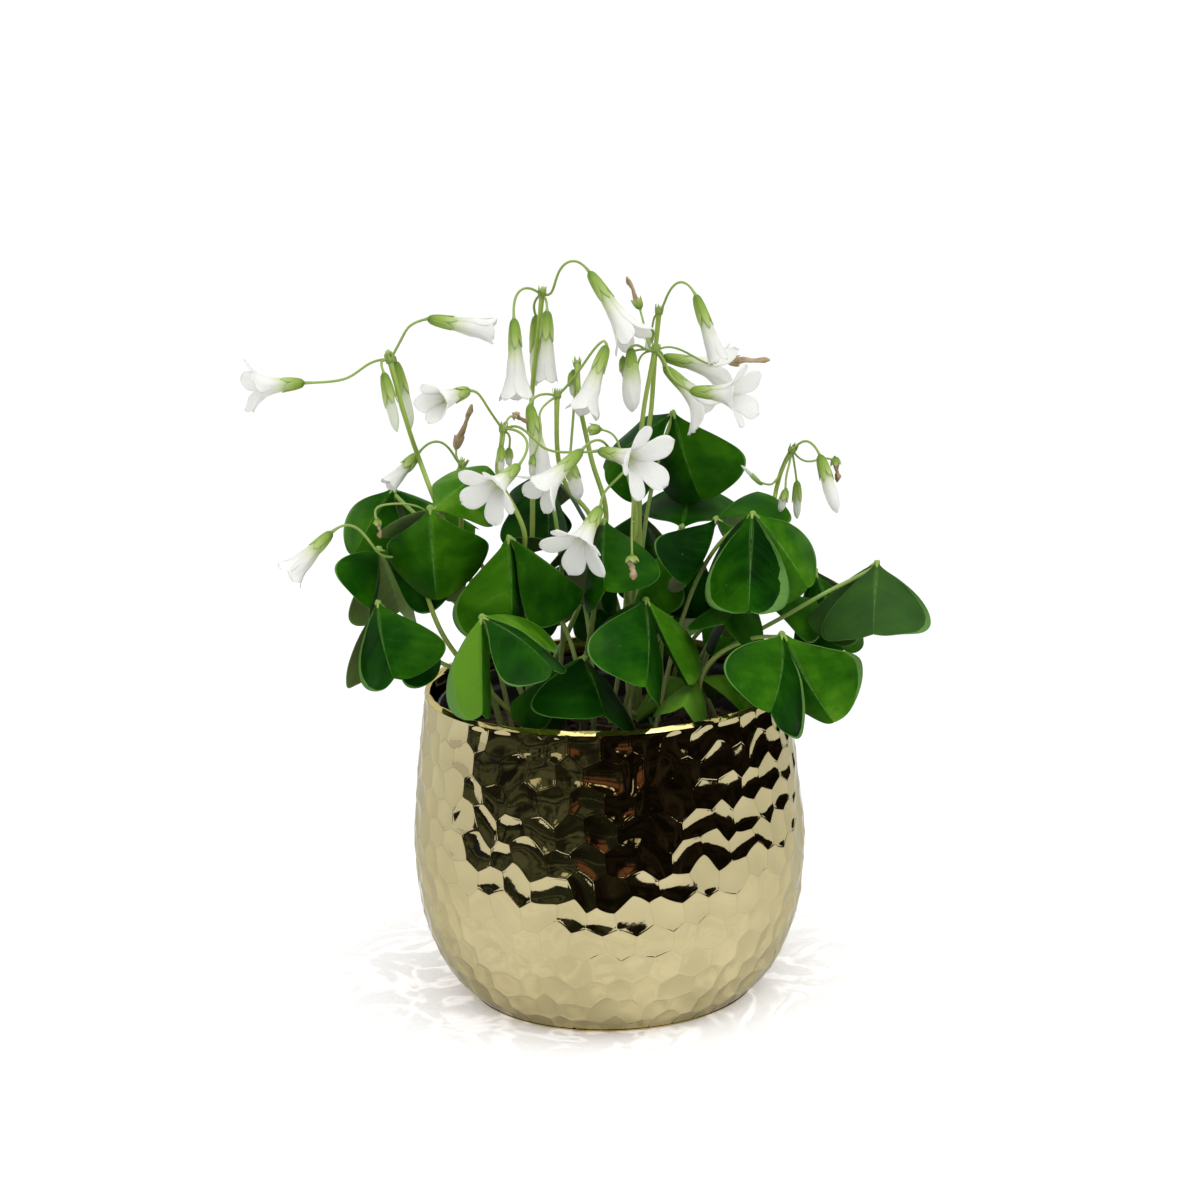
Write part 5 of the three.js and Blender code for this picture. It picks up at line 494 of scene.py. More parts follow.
def petal_material(name, tip=(0.93, 0.93, 0.905), base=(0.46, 0.60, 0.16), mid=(0.80, 0.84, 0.62), veins=0.14):
    """Corolla: V from the base of the tube (0) to the lobes' ends (1)."""
    N = Nodes(name)
    u, v = N.uv("grown")
    r1, r2 = N.uv("seed")
    P = N.obj()
    n1 = N.noise(P, 260.0, 3.0)
    n2 = N.noise(P, 1500.0, 3.0)
    vv = N.math("MULTIPLY_ADD", n1, 0.10, v)
    c = N.mix(N.ramp(vv, 0.30, 0.54), base, mid)
    c = N.mix(N.ramp(vv, 0.46, 0.72), c, tip)
    # painted shade: soft grey patches on the lobes
    c = N.mix(N.math("MULTIPLY", N.ramp(N.noise(P, 150.0, 2.0), 0.45, 0.72), 0.22), c, tuple(0.82 * q for q in (tip[0], tip[1], min(1.0, 1.04 * tip[2]))))
    ph = N.math("FRACT", N.math("MULTIPLY_ADD", u, 7.0, N.math("MULTIPLY", n1, 0.5)))
    line = N.ramp(N.math("ABSOLUTE", N.math("SUBTRACT", ph, 0.5)), 0.0, 0.32, 1.0, 0.0)
    c = N.mix(N.math("MULTIPLY", line, veins), c, (0.60, 0.64, 0.60))
    nrm = N.bump(N.math("MULTIPLY_ADD", line, -0.7, N.math("MULTIPLY", n2, 0.4)), 0.35, 0.00016)
    return N.surface(c, 0.55, spec=0.3, normal=nrm, translucent=0.42, trans_color=tuple(min(1.0, 1.05 * q) for q in tip), sheen=0.15)


def plain_material(name, a, b, scale, rough=0.6, spec=0.4, bump=0.4, dist=0.0002, translucent=0.0, trans=(0, 0, 0)):
    N = Nodes(name)
    P = N.obj()
    n1, n2 = N.noise(P, scale, 5.0, 0.6), N.noise(P, scale * 5, 3.0)
    c = N.mix(N.ramp(n1, 0.32, 0.68), a, b)
    c = N.mix(N.math("MULTIPLY", n2, 0.35), c, tuple(0.55 * q for q in a))
    nrm = N.bump(N.math("ADD", n1, N.math("MULTIPLY", n2, 0.5)), bump, dist)
    return N.surface(c, N.ramp(n2, 0.3, 0.7, rough - 0.08, rough + 0.08, smooth=False), spec=spec, normal=nrm, translucent=translucent, trans_color=trans)


def gold_material(marks):
    """Thin metallic glaze over ceramic: mirror-like, with faint haze, pinholes and a slightly uneven tone.
    With marks, the narrow crests between the hammer marks are added from the map "grown"."""
    N = Nodes("gold_glaze" if marks else "gold_glaze_plain")
    P = N.obj()
    n1 = N.noise(P, 28.0, 3.0)
    n2 = N.noise(P, 1400.0, 2.0)
    n3 = N.noise(P, 210.0, 2.0)
    dots = N.ramp(N.voronoi(P, 190.0), 0.0, 0.12, 1.0, 0.0)
    dots = N.math("MULTIPLY", dots, N.ramp(N.noise(P, 60.0, 1.0), 0.55, 0.66))
    c = N.mix(N.ramp(n1, 0.35, 0.68), GOLD_A, GOLD_B) if marks else N.mix(N.ramp(n1, 0.35, 0.68), (0.62, 0.50, 0.19), (0.68, 0.56, 0.24))
    c = N.mix(N.math("MULTIPLY", dots, 0.35), c, (0.36, 0.26, 0.10))
    ro = N.ramp(n1, 0.35, 0.7, 0.03, 0.065, smooth=False)
    ro = N.math("MULTIPLY_ADD", dots, 0.12, ro)
    h = N.math("MULTIPLY_ADD", dots, -0.5, n2)
    nrm = N.bump(h, 0.06, 0.00008)
    nrm = N.bump(n3, 0.5, 0.00009, nrm)
    if marks:
        u, v = N.uv("grown")

        def lattice(du, dv):
            x = N.math("SUBTRACT", u, du)
            x = N.math("ABSOLUTE", N.math("SUBTRACT", x, N.math("ROUND", x)))
            x = N.math("MULTIPLY", x, CELL_WIDTH)
            t = N.math("MULTIPLY", N.math("SUBTRACT", v, dv), 0.5)
            y = N.math("MULTIPLY", N.math("SUBTRACT", t, N.math("ROUND", t)), 2 * CELL_ROW)
            y = N.math("MULTIPLY", y, y)
            o = N.math("SUBTRACT", CELL_WIDTH, x)
            return N.math("MULTIPLY_ADD", x, x, y), N.math("MULTIPLY_ADD", o, o, y)
        a, a2 = lattice(0.5, 0.5)
        b, b2 = lattice(0.0, 1.5)
        f1 = N.math("MINIMUM", a, b)
        f2 = N.math("MINIMUM", N.math("MAXIMUM", a, b), N.math("MINIMUM", a2, b2))
        e = N.math("MULTIPLY", N.math("SUBTRACT", f2, f1), 1 / (2 * 9.0))      # mm to the crest
        crest = N.ramp(e, 0.0, 0.55, 1.0, 0.0)
        low = N.ramp(v, 7.0, 9.5, 1.0, 2.2)
        nrm = N.bump(N.math("MULTIPLY", crest, low), 1.0, 0.00004, nrm)
        # a faint brown line lies along each crest, where the glaze is thinnest
        c = N.mix(N.math("MULTIPLY", N.ramp(e, 0.0, 0.38, 1.0, 0.0), N.ramp(v, 4.5, 8.0, 0.24, 0.07)), c, (0.16, 0.10, 0.05))
    m = N.surface(c, ro, metal=1.0, spec=0.5, normal=nrm)
    for q in N.t.nodes:
        if q.type == "BSDF_PRINCIPLED":
            q.inputs["Specular Tint"].default_value = (0.60, 0.60, 0.55, 1)
    return m


def plastic_material():
    N = Nodes("black_plastic")
    P = N.obj()
    n1, n2 = N.noise(P, 60.0, 4.0), N.noise(P, 1500.0, 2.0)
    c = N.mix(N.ramp(n1, 0.4, 0.75), (0.012, 0.012, 0.013), (0.026, 0.025, 0.024))
    dust = N.math("MULTIPLY", N.ramp(N.noise(P, 240.0, 5.0, 0.7), 0.58, 0.75), 0.25)
    c = N.mix(dust, c, (0.10, 0.075, 0.05))
    return N.surface(c, N.ramp(n1, 0.3, 0.7, 0.34, 0.5, smooth=False), spec=0.5, normal=N.bump(n2, 0.25, 0.0001))


def soil_material():
    N = Nodes("potting_soil")
    P = N.obj()
    r1, r2 = N.uv("seed")
    n1, n2, n3 = N.noise(P, 130.0, 6.0, 0.7), N.noise(P, 700.0, 5.0, 0.7), N.noise(P, 40.0, 2.0)
    c = N.mix(N.ramp(n1, 0.3, 0.72), (0.012, 0.008, 0.006), (0.070, 0.042, 0.024))
    c = N.mix(N.math("MULTIPLY", N.ramp(n2, 0.55, 0.8), 0.5), c, (0.14, 0.09, 0.055))
    c = N.mix(N.math("MULTIPLY", N.ramp(n3, 0.5, 0.7), 0.3), c, (0.03, 0.022, 0.014))
    nrm = N.bump(N.math("ADD", n1, n2), 0.8, 0.0006)
    return N.surface(c, 0.9, spec=0.2, normal=nrm)


def bark_material():
    N = Nodes("soil_bits")
    P = N.obj()
    r1, r2 = N.uv("seed")
    n1, n2 = N.noise(P, 500.0, 5.0, 0.65), N.noise(P, 1800.0, 3.0)
    c = N.mix(r1, (0.020, 0.012, 0.008), (0.13, 0.075, 0.038))
    c = N.mix(N.ramp(r2, 0.86, 0.93), c, (0.34, 0.25, 0.15))
    c = N.mix(N.math("MULTIPLY", n1, 0.5), c, (0.028, 0.017, 0.010))
    return N.surface(c, 0.85, spec=0.2, normal=N.bump(N.math("ADD", n1, n2), 0.7, 0.0003))


GOLD_A, GOLD_B = (0.445, 0.386, 0.210), (0.500, 0.438, 0.248)
M_GOLD = gold_material(True)
M_GOLD_PLAIN = gold_material(False)
M_PLASTIC = plastic_material()
M_SOIL = soil_material()
M_BITS = bark_material()
M_LEAF = leaf_material("leaf_blade")
M_UNDER = leaf_material("leaf_underside", under=True)
M_PETIOLE = stem_material("petiole", (0.42, 0.41, 0.17), (0.29, 0.43, 0.080))
M_SCAPE = stem_material("scape", (0.37, 0.46, 0.13), (0.37, 0.48, 0.085))
M_PEDICEL = stem_material("pedicel", (0.29, 0.40, 0.075), (0.34, 0.45, 0.105))
M_CALYX = calyx_material()
M_PETAL = petal_material("corolla")
M_BUD = petal_material("furled_petals", tip=(0.80, 0.83, 0.72), base=(0.42, 0.55, 0.16), mid=(0.68, 0.74, 0.50), veins=0.2)
M_ANTHER = plain_material("stamens", (0.62, 0.66, 0.22), (0.80, 0.78, 0.36), 900.0)
M_DRY = plain_material("withered_petals", (0.36, 0.24, 0.11), (0.62, 0.50, 0.33), 420.0, translucent=0.2, trans=(0.6, 0.42, 0.22))


# ---------------------------------------------------------------- cover pot
def smooth_profile(pairs, n):
    P = np.array(pairs, float)
    return spline(np.c_[P, np.zeros(len(P))], n, power=1.0)[:, :2]


POT_H = 98.8
POT_OUT = [(46.2, 1.0), (47.4, 2.2), (49.6, 4.3), (52.6, 8.2), (56.1, 14.8), (59.6, 24.7), (61.4, 36.5), (62.0, 49.4), (61.5, 57.5), (60.6, 65.2), (59.9, 72.5), (59.1, 79.0), (58.1, 86.0), (57.1, 92.5), (56.55, 97.3)]


def cells(u, v):
    """Squared distance (mm) to the nearest mark and to the next one; the marks sit like bricks, rows one apart in v."""
    def lattice(du, dv):
        x = np.abs(u - du - np.round(u - du)) * CELL_WIDTH
        t = (v - dv) / 2
        y = 2 * (t - np.round(t)) * CELL_ROW
        return x * x + y * y, (CELL_WIDTH - x) ** 2 + y * y
    a, a2 = lattice(0.5, 0.5)
    b, b2 = lattice(0.0, 1.5)
    return np.minimum(a, b), np.minimum(np.maximum(a, b), np.minimum(a2, b2))


def waves(th, v, rng, n, amp):
    """Uneven spacing of the marks: a few waves that close round the pot."""
    out = 0.0
    for _ in range(n):
        k, m = rng.integers(3, 22), rng.uniform(0.3, 2.6) * rng.choice([-1, 1])
        out = out + np.sin(k * th + m * v + rng.uniform(0, 2 * PI))
    return amp * out / math.sqrt(n / 2)


def cover_pot():
    rng = np.random.default_rng(11)
    prof = smooth_profile(POT_OUT, 600)
    s = np.r_[0, np.cumsum(np.linalg.norm(np.diff(prof, axis=0), axis=1))]
    total = s[-1]
    rows, cols = (178, 540) if not LOW else (90, 280)
    arc = np.linspace(0, total, rows)
    R = np.interp(arc, s, prof[:, 0])
    Z = np.interp(arc, s, prof[:, 1])
    Tr = np.gradient(R, arc)
    Tz = np.gradient(Z, arc)
    th = np.linspace(0, 2 * PI, cols, endpoint=False)
    V0 = np.repeat(((total - arc) / CELL_ROW + 0.12)[:, None], cols, 1)
    TH = np.repeat(th[None], rows, 0)
    U = TH * CELLS_ROUND / (2 * PI) + 0.25 * np.sin(V0 * 0.55 + 0.4) + waves(TH, V0, rng, 9, 0.085)
    V = V0 + waves(TH, V0, rng, 9, 0.10)
    f1, f2 = cells(U, V)
    K = 9.0
    q1, q2 = f1 / (2 * CELL_RADIUS), f2 / (2 * CELL_RADIUS)
    H = q1 - np.log(1 + np.exp(-K * (q2 - q1))) / K     # shallow dishes that meet in rounded ridges
    H *= 1 + waves(TH, V0, rng, 5, 0.10)
    H += waves(TH, V0 * 1.7, rng, 12, 0.035)
    H -= 0.42
    fade = np.clip((total - arc) / 1.6, 0, 1) * np.clip((arc - 1.0) / 8.0, 0, 1)
    fade = fade * fade * (3 - 2 * fade)
    wave = 0.25 * np.sin(5 * th + 0.6)[None] * np.linspace(0.2, 1, rows)[:, None] + 0.10 * np.sin(13 * th + 1.1)[None] * np.linspace(0, 1, rows)[:, None]
    D = H * fade[:, None] * 1.0 + wave * 0.6
    rr = R[:, None] + D * Tz[:, None]
    zz = Z[:, None] - D * Tr[:, None]
    G = np.stack([rr * np.cos(th), rr * np.sin(th), zz], 2)
    # the map "grown" holds the places in the pattern of marks; the last column of faces wraps, so it gets its own copy
    G = np.concatenate([G, G[:, :1]], 1)
    wrapu = U[:, :1] + CELLS_ROUND
    uv = np.stack([np.concatenate([U, wrapu], 1), np.concatenate([V, V[:, :1]], 1)], 2)
    sd = np.stack([np.concatenate([TH, TH[:, :1] + 2 * PI], 1) / (2 * PI), np.repeat((arc / total)[:, None], cols + 1, 1)], 2)
    b = Buf()
    b.grid(G, uv)
    b.id[-1] = np.c_[sd.reshape(-1, 2), 0 * sd.reshape(-1, 2)]
    wall = b.build("cover_pot_hammered_wall", [M_GOLD])
    # the seam shares its shading with the first column
    me = wall.data
    nv = G.shape[1]
    dR, dC = np.gradient(G, axis=0), np.zeros_like(G)
    dC[:, 1:-1] = G[:, 2:] - G[:, :-2]
    dC[:, 0] = dC[:, -1] = G[:, 1] - G[:, -2]
    nn = np.cross(dC, dR)
    nn /= np.linalg.norm(nn, axis=2)[..., None]
    if (nn[rows // 2, 0] @ G[rows // 2, 0]) < 0:
        nn = -nn
    me.normals_split_custom_set_from_vertices(nn.reshape(-1, 3).tolist())
    place(wall, "cover_pot")

    # rim, inner wall, floor and foot: the rim follows the wall's slight waviness
    cols2 = 225 if not LOW else 140
    th2 = np.linspace(0, 2 * PI, cols2, endpoint=False)
    top = 0.6 * (0.25 * np.sin(5 * th2 + 0.6) + 0.10 * np.sin(13 * th2 + 1.1))
    lift = 0.16 * np.sin(7 * th2 + 2.0) + 0.12 * np.sin(19 * th2 + 0.4) + 0.06 * np.sin(40 * th2)
    pr = [(56.53, 97.28, 1), (56.55, 97.9, 1), (56.42, 98.4, 1), (56.0, 98.72, 1), (55.5, 98.8, 1), (55.05, 98.62, 1), (54.75, 98.1, 1), (54.6, 97.2, 1), (54.3, 94.5, .8), (54.9, 91, .5),
          (55.9, 85, .2), (57.0, 78, 0), (58.0, 68, 0), (58.8, 56, 0), (59.2, 48, 0), (58.6, 34, 0), (56.2, 21.5, 0), (52.0, 12, 0), (47.6, 6.5, 0), (44.5, 4.0, 0), (41.0, 3.1, 0), (30, 3.0, 0), (16, 3.0, 0), (6, 3.0, 0)]
    pr = np.array(pr)
    q = spline(pr, 96, power=1.0)
    q = np.vstack([q[:1], q])
    G = np.zeros((len(q), cols2, 3))
    for i, (r, z, w) in enumerate(q):
        w = min(max(w, 0), 1)
        G[i, :, 0] = (r + top * w) * np.cos(th2)
        G[i, :, 1] = (r + top * w) * np.sin(th2)
        G[i, :, 2] = z + lift * w * (1 if z > 97.6 else 0.4)
    uv = np.stack(np.broadcast_arrays((th2 / (2 * PI))[None], np.linspace(0, 1, len(q))[:, None]), 2)
    b = Buf()
    b.grid(G, uv, wrap=True)
    n = b.n
    b.add([[0, 0, 3.0]], [], [[0, 1]])
    base = (len(q) - 1) * cols2
    for j in range(cols2):
        b.f.append([base + j, base + (j + 1) % cols2, n])
        b.m.append(0)
    # foot: rounded step, ring and a shallow recess
    foot = [(46.3, 0.9), (45.9, 0.35), (45.2, 0.06), (44.2, 0.0), (42.6, 0.0), (41.4, 0.12), (40.6, 0.55), (39.8, 0.9), (38.0, 1.0), (20, 1.0), (6, 1.0)]
    fb = Buf()
    f3 = np.array(foot)
    a3 = np.linspace(0, 2 * PI, 160, endpoint=False)
    G = np.stack([f3[:, 0:1] * np.cos(a3), f3[:, 0:1] * np.sin(a3), np.repeat(f3[:, 1:2], 160, 1)], 2)
    uv = np.stack(np.broadcast_arrays((a3 / (2 * PI))[None], np.linspace(0, 1, len(foot))[:, None]), 2)
    fb.grid(G, uv, wrap=True, flip=True)
    n = fb.n
    fb.add([[0, 0, 1.0]], [], [[0, 1]])
    base = (len(foot) - 1) * 160
    for j in range(160):
        fb.f.append([base + (j + 1) % 160, base + j, n])
        fb.m.append(0)
    inner = b.build("cover_pot_rim_and_lining", [M_GOLD_PLAIN])
    place(inner, "cover_pot")
    ft = fb.build("cover_pot_foot", [M_GOLD_PLAIN])
    place(ft, "cover_pot")


# ---------------------------------------------------------------- nursery pot and soil
def nursery_pot():
    b = Buf()
    n0, lip = 3.3, 86.3
    prof = [(9, n0), (30, n0), (35.6, n0 + 0.1), (36.7, n0 + 0.6), (37.2, n0 + 1.8)]
    for k in range(1, 16):
        z = n0 + 1.8 + (lip - n0 - 2.6) * k / 15
        prof.append((37.0 + 13.4 * (z - n0) / 83.0, z))
    prof += [(50.6, lip - 0.4), (51.6, lip - 0.05), (52.4, lip + 0.15), (52.75, lip + 0.7), (52.8, lip + 3.2), (52.8, lip + 6.2), (52.65, lip + 6.75), (52.25, lip + 7.0),
             (51.9, lip + 6.9), (51.6, lip + 6.5), (51.5, lip + 4), (51.45, lip + 2.0), (51.1, lip + 1.5), (50.2, lip + 1.3), (49.3, lip + 0.9), (49.0, lip)]
    for k in range(1, 12):
        z = lip - (lip - n0 - 3.5) * k / 11
        prof.append((35.6 + 13.4 * (z - n0) / 83.0, z))
    prof += [(35.6, n0 + 2.4), (34.4, n0 + 1.6), (30, n0 + 1.4), (9, n0 + 1.4)]
    prof = np.array(prof)
    sides = 144
    a = np.linspace(0, 2 * PI, sides, endpoint=False)
    G = np.stack([prof[:, 0:1] * np.cos(a), prof[:, 0:1] * np.sin(a), np.repeat(prof[:, 1:2], sides, 1)], 2)
    uv = np.stack(np.broadcast_arrays((a / (2 * PI))[None], np.linspace(0, 1, len(prof))[:, None]), 2)
    b.grid(G, uv, wrap=True)
    # close the small middle opening of the base
    G = np.stack([np.array([[9.0] * sides, [9.0] * sides]) * np.cos(a), np.array([[9.0] * sides, [9.0] * sides]) * np.sin(a), np.array([[n0 + 1.4] * sides, [n0] * sides])], 2)
    me_faces = b
    ob = b.build("nursery_pot_shell", [M_PLASTIC])
    # centre disc
    c = Buf()
    for z, fl in ((n0, True), (n0 + 1.4, False)):
        ring = np.stack([9 * np.cos(a), 9 * np.sin(a), np.full(sides, z)], 1)
        c.add(np.vstack([ring, [[0, 0, z]]]), [([j, sides, (j + 1) % sides] if fl else [j, (j + 1) % sides, sides]) for j in range(sides)], np.zeros((sides + 1, 2)))
    disc = c.build("nursery_pot_centre", [M_PLASTIC])
    bpy.ops.object.select_all(action="DESELECT")
    disc.select_set(True)
    ob.select_set(True)
    bpy.context.view_layer.objects.active = ob
    bpy.ops.object.join()
    bpy.ops.object.mode_set(mode="EDIT")
    bpy.ops.mesh.select_all(action="SELECT")
    bpy.ops.mesh.remove_doubles(threshold=1e-6)
    bpy.ops.mesh.normals_make_consistent(inside=False)
    bpy.ops.object.mode_set(mode="OBJECT")
    cut = Buf()
    for i in range(4):
        t = PI / 4 + i * PI / 2
        P = np.array([[24 * math.cos(t), 24 * math.sin(t), z] for z in np.linspace(n0 - 3, n0 + 5, 5)])
        tube(cut, P, 4.0, 32, cap=True)
    cutter = cut.build("drain_cutter", [])
    mod = ob.modifiers.new("drain", "BOOLEAN")
    mod.operation, mod.object, mod.solver = "DIFFERENCE", cutter, "EXACT"
    bpy.context.view_layer.objects.active = ob
    bpy.ops.object.modifier_apply(modifier="drain")
    bpy.data.objects.remove(cutter)
    place(ob, "nursery_pot")


def soil_top(x, y, rng_waves):
    r2 = x * x + y * y
    return 84.0 - 4.0 * r2 / 2500.0 + rng_waves


def soil():
    rng = np.random.default_rng(21)
    R0 = 47.4
    nr, na = (54, 150) if not LOW else (26, 80)
    rr = np.linspace(0.8, R0, nr)
    a = np.linspace(0, 2 * PI, na, endpoint=False)
    X, Y = rr[:, None] * np.cos(a), rr[:, None] * np.sin(a)
    w = 0.45 * noise2(X, Y, rng, 9, 0.35) + 0.30 * noise2(X, Y, rng, 14, 1.3) + 0.2 * np.random.default_rng(4).normal(size=X.shape)
    Zt = 84.0 - 4.0 * (X * X + Y * Y) / 2500.0 - 0.35 + w * np.clip((R0 - rr) / 3, 0.1, 1)[:, None]
    G = np.stack([X, Y, Zt], 2)
    side = []
    for z, r in ((78, 47.3), (70, 46.0), (60, 44.4), (45, 42.0), (30, 39.6), (12, 36.7), (6.5, 35.3), (5.2, 34.2), (5.1, 15)):
        side.append(np.stack([r * np.cos(a), r * np.sin(a), np.full(na, float(z))], 1))
    G = np.concatenate([G, np.array(side)], 0)
    uv = np.zeros(G.shape[:2] + (2,))
    b = Buf()
    b.grid(G, uv, wrap=True, flip=True)
    n = b.n
    b.add([[0, 0, float(Zt[0].mean())], [0, 0, 5.1]], [], [[0, 0], [0, 0]])
    last = (G.shape[0] - 1) * na
    for j in range(na):
        b.f.append([j, (j + 1) % na, n])
        b.m.append(0)
        b.f.append([last + (j + 1) % na, last + j, n + 1])
        b.m.append(0)
    place(b.build("soil_body", [M_SOIL]), "soil")

    # bits of bark, coir and grit lying on the surface
    b = Buf()
    ico_v, ico_f = icosphere(1)
    count = 740 if not LOW else 250
    for i in range(count):
        r = 46.0 * math.sqrt(rng.uniform(0, 1))
        t = rng.uniform(0, 2 * PI)
        x, y = r * math.cos(t), r * math.sin(t)
        z = 84.0 - 4.0 * r * r / 2500.0 - 0.1
        big = rng.uniform(0, 1) ** 3
        size = np.array([0.5 + 2.0 * big, 0.4 + 1.1 * big, 0.3 + 0.6 * big]) * rng.uniform(0.7, 1.2, 3)
        v = ico_v * (1 + 0.28 * rng.normal(size=(len(ico_v), 1))) * size
        v = v @ rot(rng.uniform(0, 2 * PI), rng.uniform(-0.5, 0.5), rng.uniform(-0.5, 0.5)).T + [x, y, z + size[2] * 0.35]
        b.add(v, ico_f, np.zeros((len(v), 2)), (rng.uniform(), rng.uniform(0, 0.97)))
    for i in range(46 if not LOW else 20):
        r, t = 43.0 * math.sqrt(rng.uniform(0, 1)), rng.uniform(0, 2 * PI)
        x, y = r * math.cos(t), r * math.sin(t)
        z = 84.0 - 4.0 * r * r / 2500.0 + 0.5
        d = rng.uniform(0, 2 * PI)
        L = rng.uniform(4, 11)
        pts = [np.array([x + math.cos(d + 0.5 * k * rng.uniform(-1, 1)) * L * (k / 3 - 0.5), y + math.sin(d) * L * (k / 3 - 0.5), z + rng.uniform(-0.3, 1.2)]) for k in range(4)]
        pts = [p if np.hypot(p[0], p[1]) < 45.5 else p * [0.9, 0.9, 1] for p in pts]
        tube(b, even(pts, 1.2), rng.uniform(0.12, 0.3), 5, seed=(rng.uniform(0.6, 1), rng.uniform(0.8, 1)))
    place(b.build("soil_surface_bits", [M_BITS], smooth=False), "soil")


def rot(a, b, c):
    ca, sa, cb, sb, cc, sc = math.cos(a), math.sin(a), math.cos(b), math.sin(b), math.cos(c), math.sin(c)
    A = np.array([[ca, -sa, 0], [sa, ca, 0], [0, 0, 1]])
    B = np.array([[cb, 0, sb], [0, 1, 0], [-sb, 0, cb]])
    C = np.array([[1, 0, 0], [0, cc, -sc], [0, sc, cc]])
    return A @ B @ C


def icosphere(level):
    t = (1 + math.sqrt(5)) / 2
    v = [(-1, t, 0), (1, t, 0), (-1, -t, 0), (1, -t, 0), (0, -1, t), (0, 1, t), (0, -1, -t), (0, 1, -t), (t, 0, -1), (t, 0, 1), (-t, 0, -1), (-t, 0, 1)]
    f = [(0, 11, 5), (0, 5, 1), (0, 1, 7), (0, 7, 10), (0, 10, 11), (1, 5, 9), (5, 11, 4), (11, 10, 2), (10, 7, 6), (7, 1, 8), (3, 9, 4), (3, 4, 2), (3, 2, 6), (3, 6, 8), (3, 8, 9), (4, 9, 5), (2, 4, 11), (6, 2, 10), (8, 6, 7), (9, 8, 1)]
    v = [np.array(q) / np.linalg.norm(q) for q in v]
    for _ in range(level):
        mid, g = {}, []
        def m(a, b):
            k = (min(a, b), max(a, b))
            if k not in mid:
                q = v[a] + v[b]
                v.append(q / np.linalg.norm(q))
                mid[k] = len(v) - 1
            return mid[k]
        for a, b, c in f:
            ab, bc, ca = m(a, b), m(b, c), m(c, a)
            g += [(a, ab, ca), (b, bc, ab), (c, ca, bc), (ab, bc, ca)]
        f = g
    return np.array(v), f


# ---------------------------------------------------------------- leaves
# Outline of half a leaflet: [along the midrib, half width, place on the midrib where the vein to it starts].
OUTLINE = np.array([(0, .03, 0), (.10, .15, .03), (.22, .34, .07), (.36, .57, .14), (.50, .77, .22), (.64, .92, .31), (.77, .99, .42), (.89, .98, .54),
                    (1.0, .87, .68), (1.07, .68, .80), (1.105, .45, .90), (1.09, .24, .96), (1.04, .08, .99), (1.0, 0, 1.0)])
# how much further the end reaches where the notch is nearly closed
NOTCH = np.array([0, 0, 0, 0, 0, 0, 0, 0, 0, 0.0, 0.005, 0.045, 0.085, 0.11])
CLOSED = {"leaf_13": {0: 1.0, 1: 0.6}, "leaf_14": {0: 0.5, 1: 0.6}, "leaf_15": {0: 1.0}, "leaf_01": {0: 0.8}, "leaf_17": {0: 0.8}, "leaf_10": {0: 0.8, 1: 0.8}, "leaf_11": {0: 0.9}}
TUCKED = {"leaf_01": 3.4, "leaf_06": 3.5, "leaf_13": 3.4}
CURL = 0.5
# Leaflets that show well: tone of the left and right half (0 dark, 1 bright), part the leaf's own colour and part
# painted light and shade, width of their turned-up margins.
LEAF_TONES_AND_PAINTED_LIGHT = {
    "leaf_01": {0: ((0.46, 0.66), (0.06, 0.03)), 1: ((0.85, 0.80), (0.04, 0.05))},
    "leaf_02": {0: ((0.50, 0.40), (0.12, 0.08))},
    "leaf_03": {0: ((0.34, 0.30), (0.04, 0.04))},
    "leaf_04": {0: ((0.20, 0.34), (0.14, 0.03))},
    "leaf_05": {0: ((1.30, 0.42), (0.45, 0.05)), 1: ((0.26, 0.22), (0.06, 0.03)), 2: ((0.82, 0.86), (0.10, 0.10))},
    "leaf_06": {0: ((0.62, 0.30), (0.14, 0.04)), 1: ((0.34, 0.30), (0.05, 0.05))},
    "leaf_10": {0: ((0.36, 0.50), (0.03, 0.05)), 1: ((0.30, 0.40), (0.04, 0.03))},
    "leaf_11": {0: ((0.42, 0.42), (0.04, 0.05))},
    "leaf_12": {0: ((0.02, 0.05), (0.05, 0.04))},
    "leaf_13": {0: ((0.29, 0.07), (0.20, 0.42)), 1: ((0.52, 0.60), (0.04, 0.08))},
    "leaf_14": {0: ((0.40, 0.14), (0.05, 0.08)), 1: ((0.34, 0.62), (0.03, 0.20))},
    "leaf_15": {0: ((1.62, 1.66), (0.03, 0.16)), 1: ((1.55, 1.55), (0.03, 0.03))},
    "leaf_17": {0: ((0.34, 0.24), (0.05, 0.03)), 1: ((0.58, 0.78), (0.05, 0.12))},
    "leaf_18": {0: ((0.15, 0.20), (0.04, 0.06)), 1: ((1.55, 1.55), (0.03, 0.03))},
    "leaf_19": {0: ((0.95, 1.05), (0.03, 0.10)), 1: ((0.9, 0.9), (0.05, 0.05)), 2: ((0.9, 0.9), (0.05, 0.05))},
}


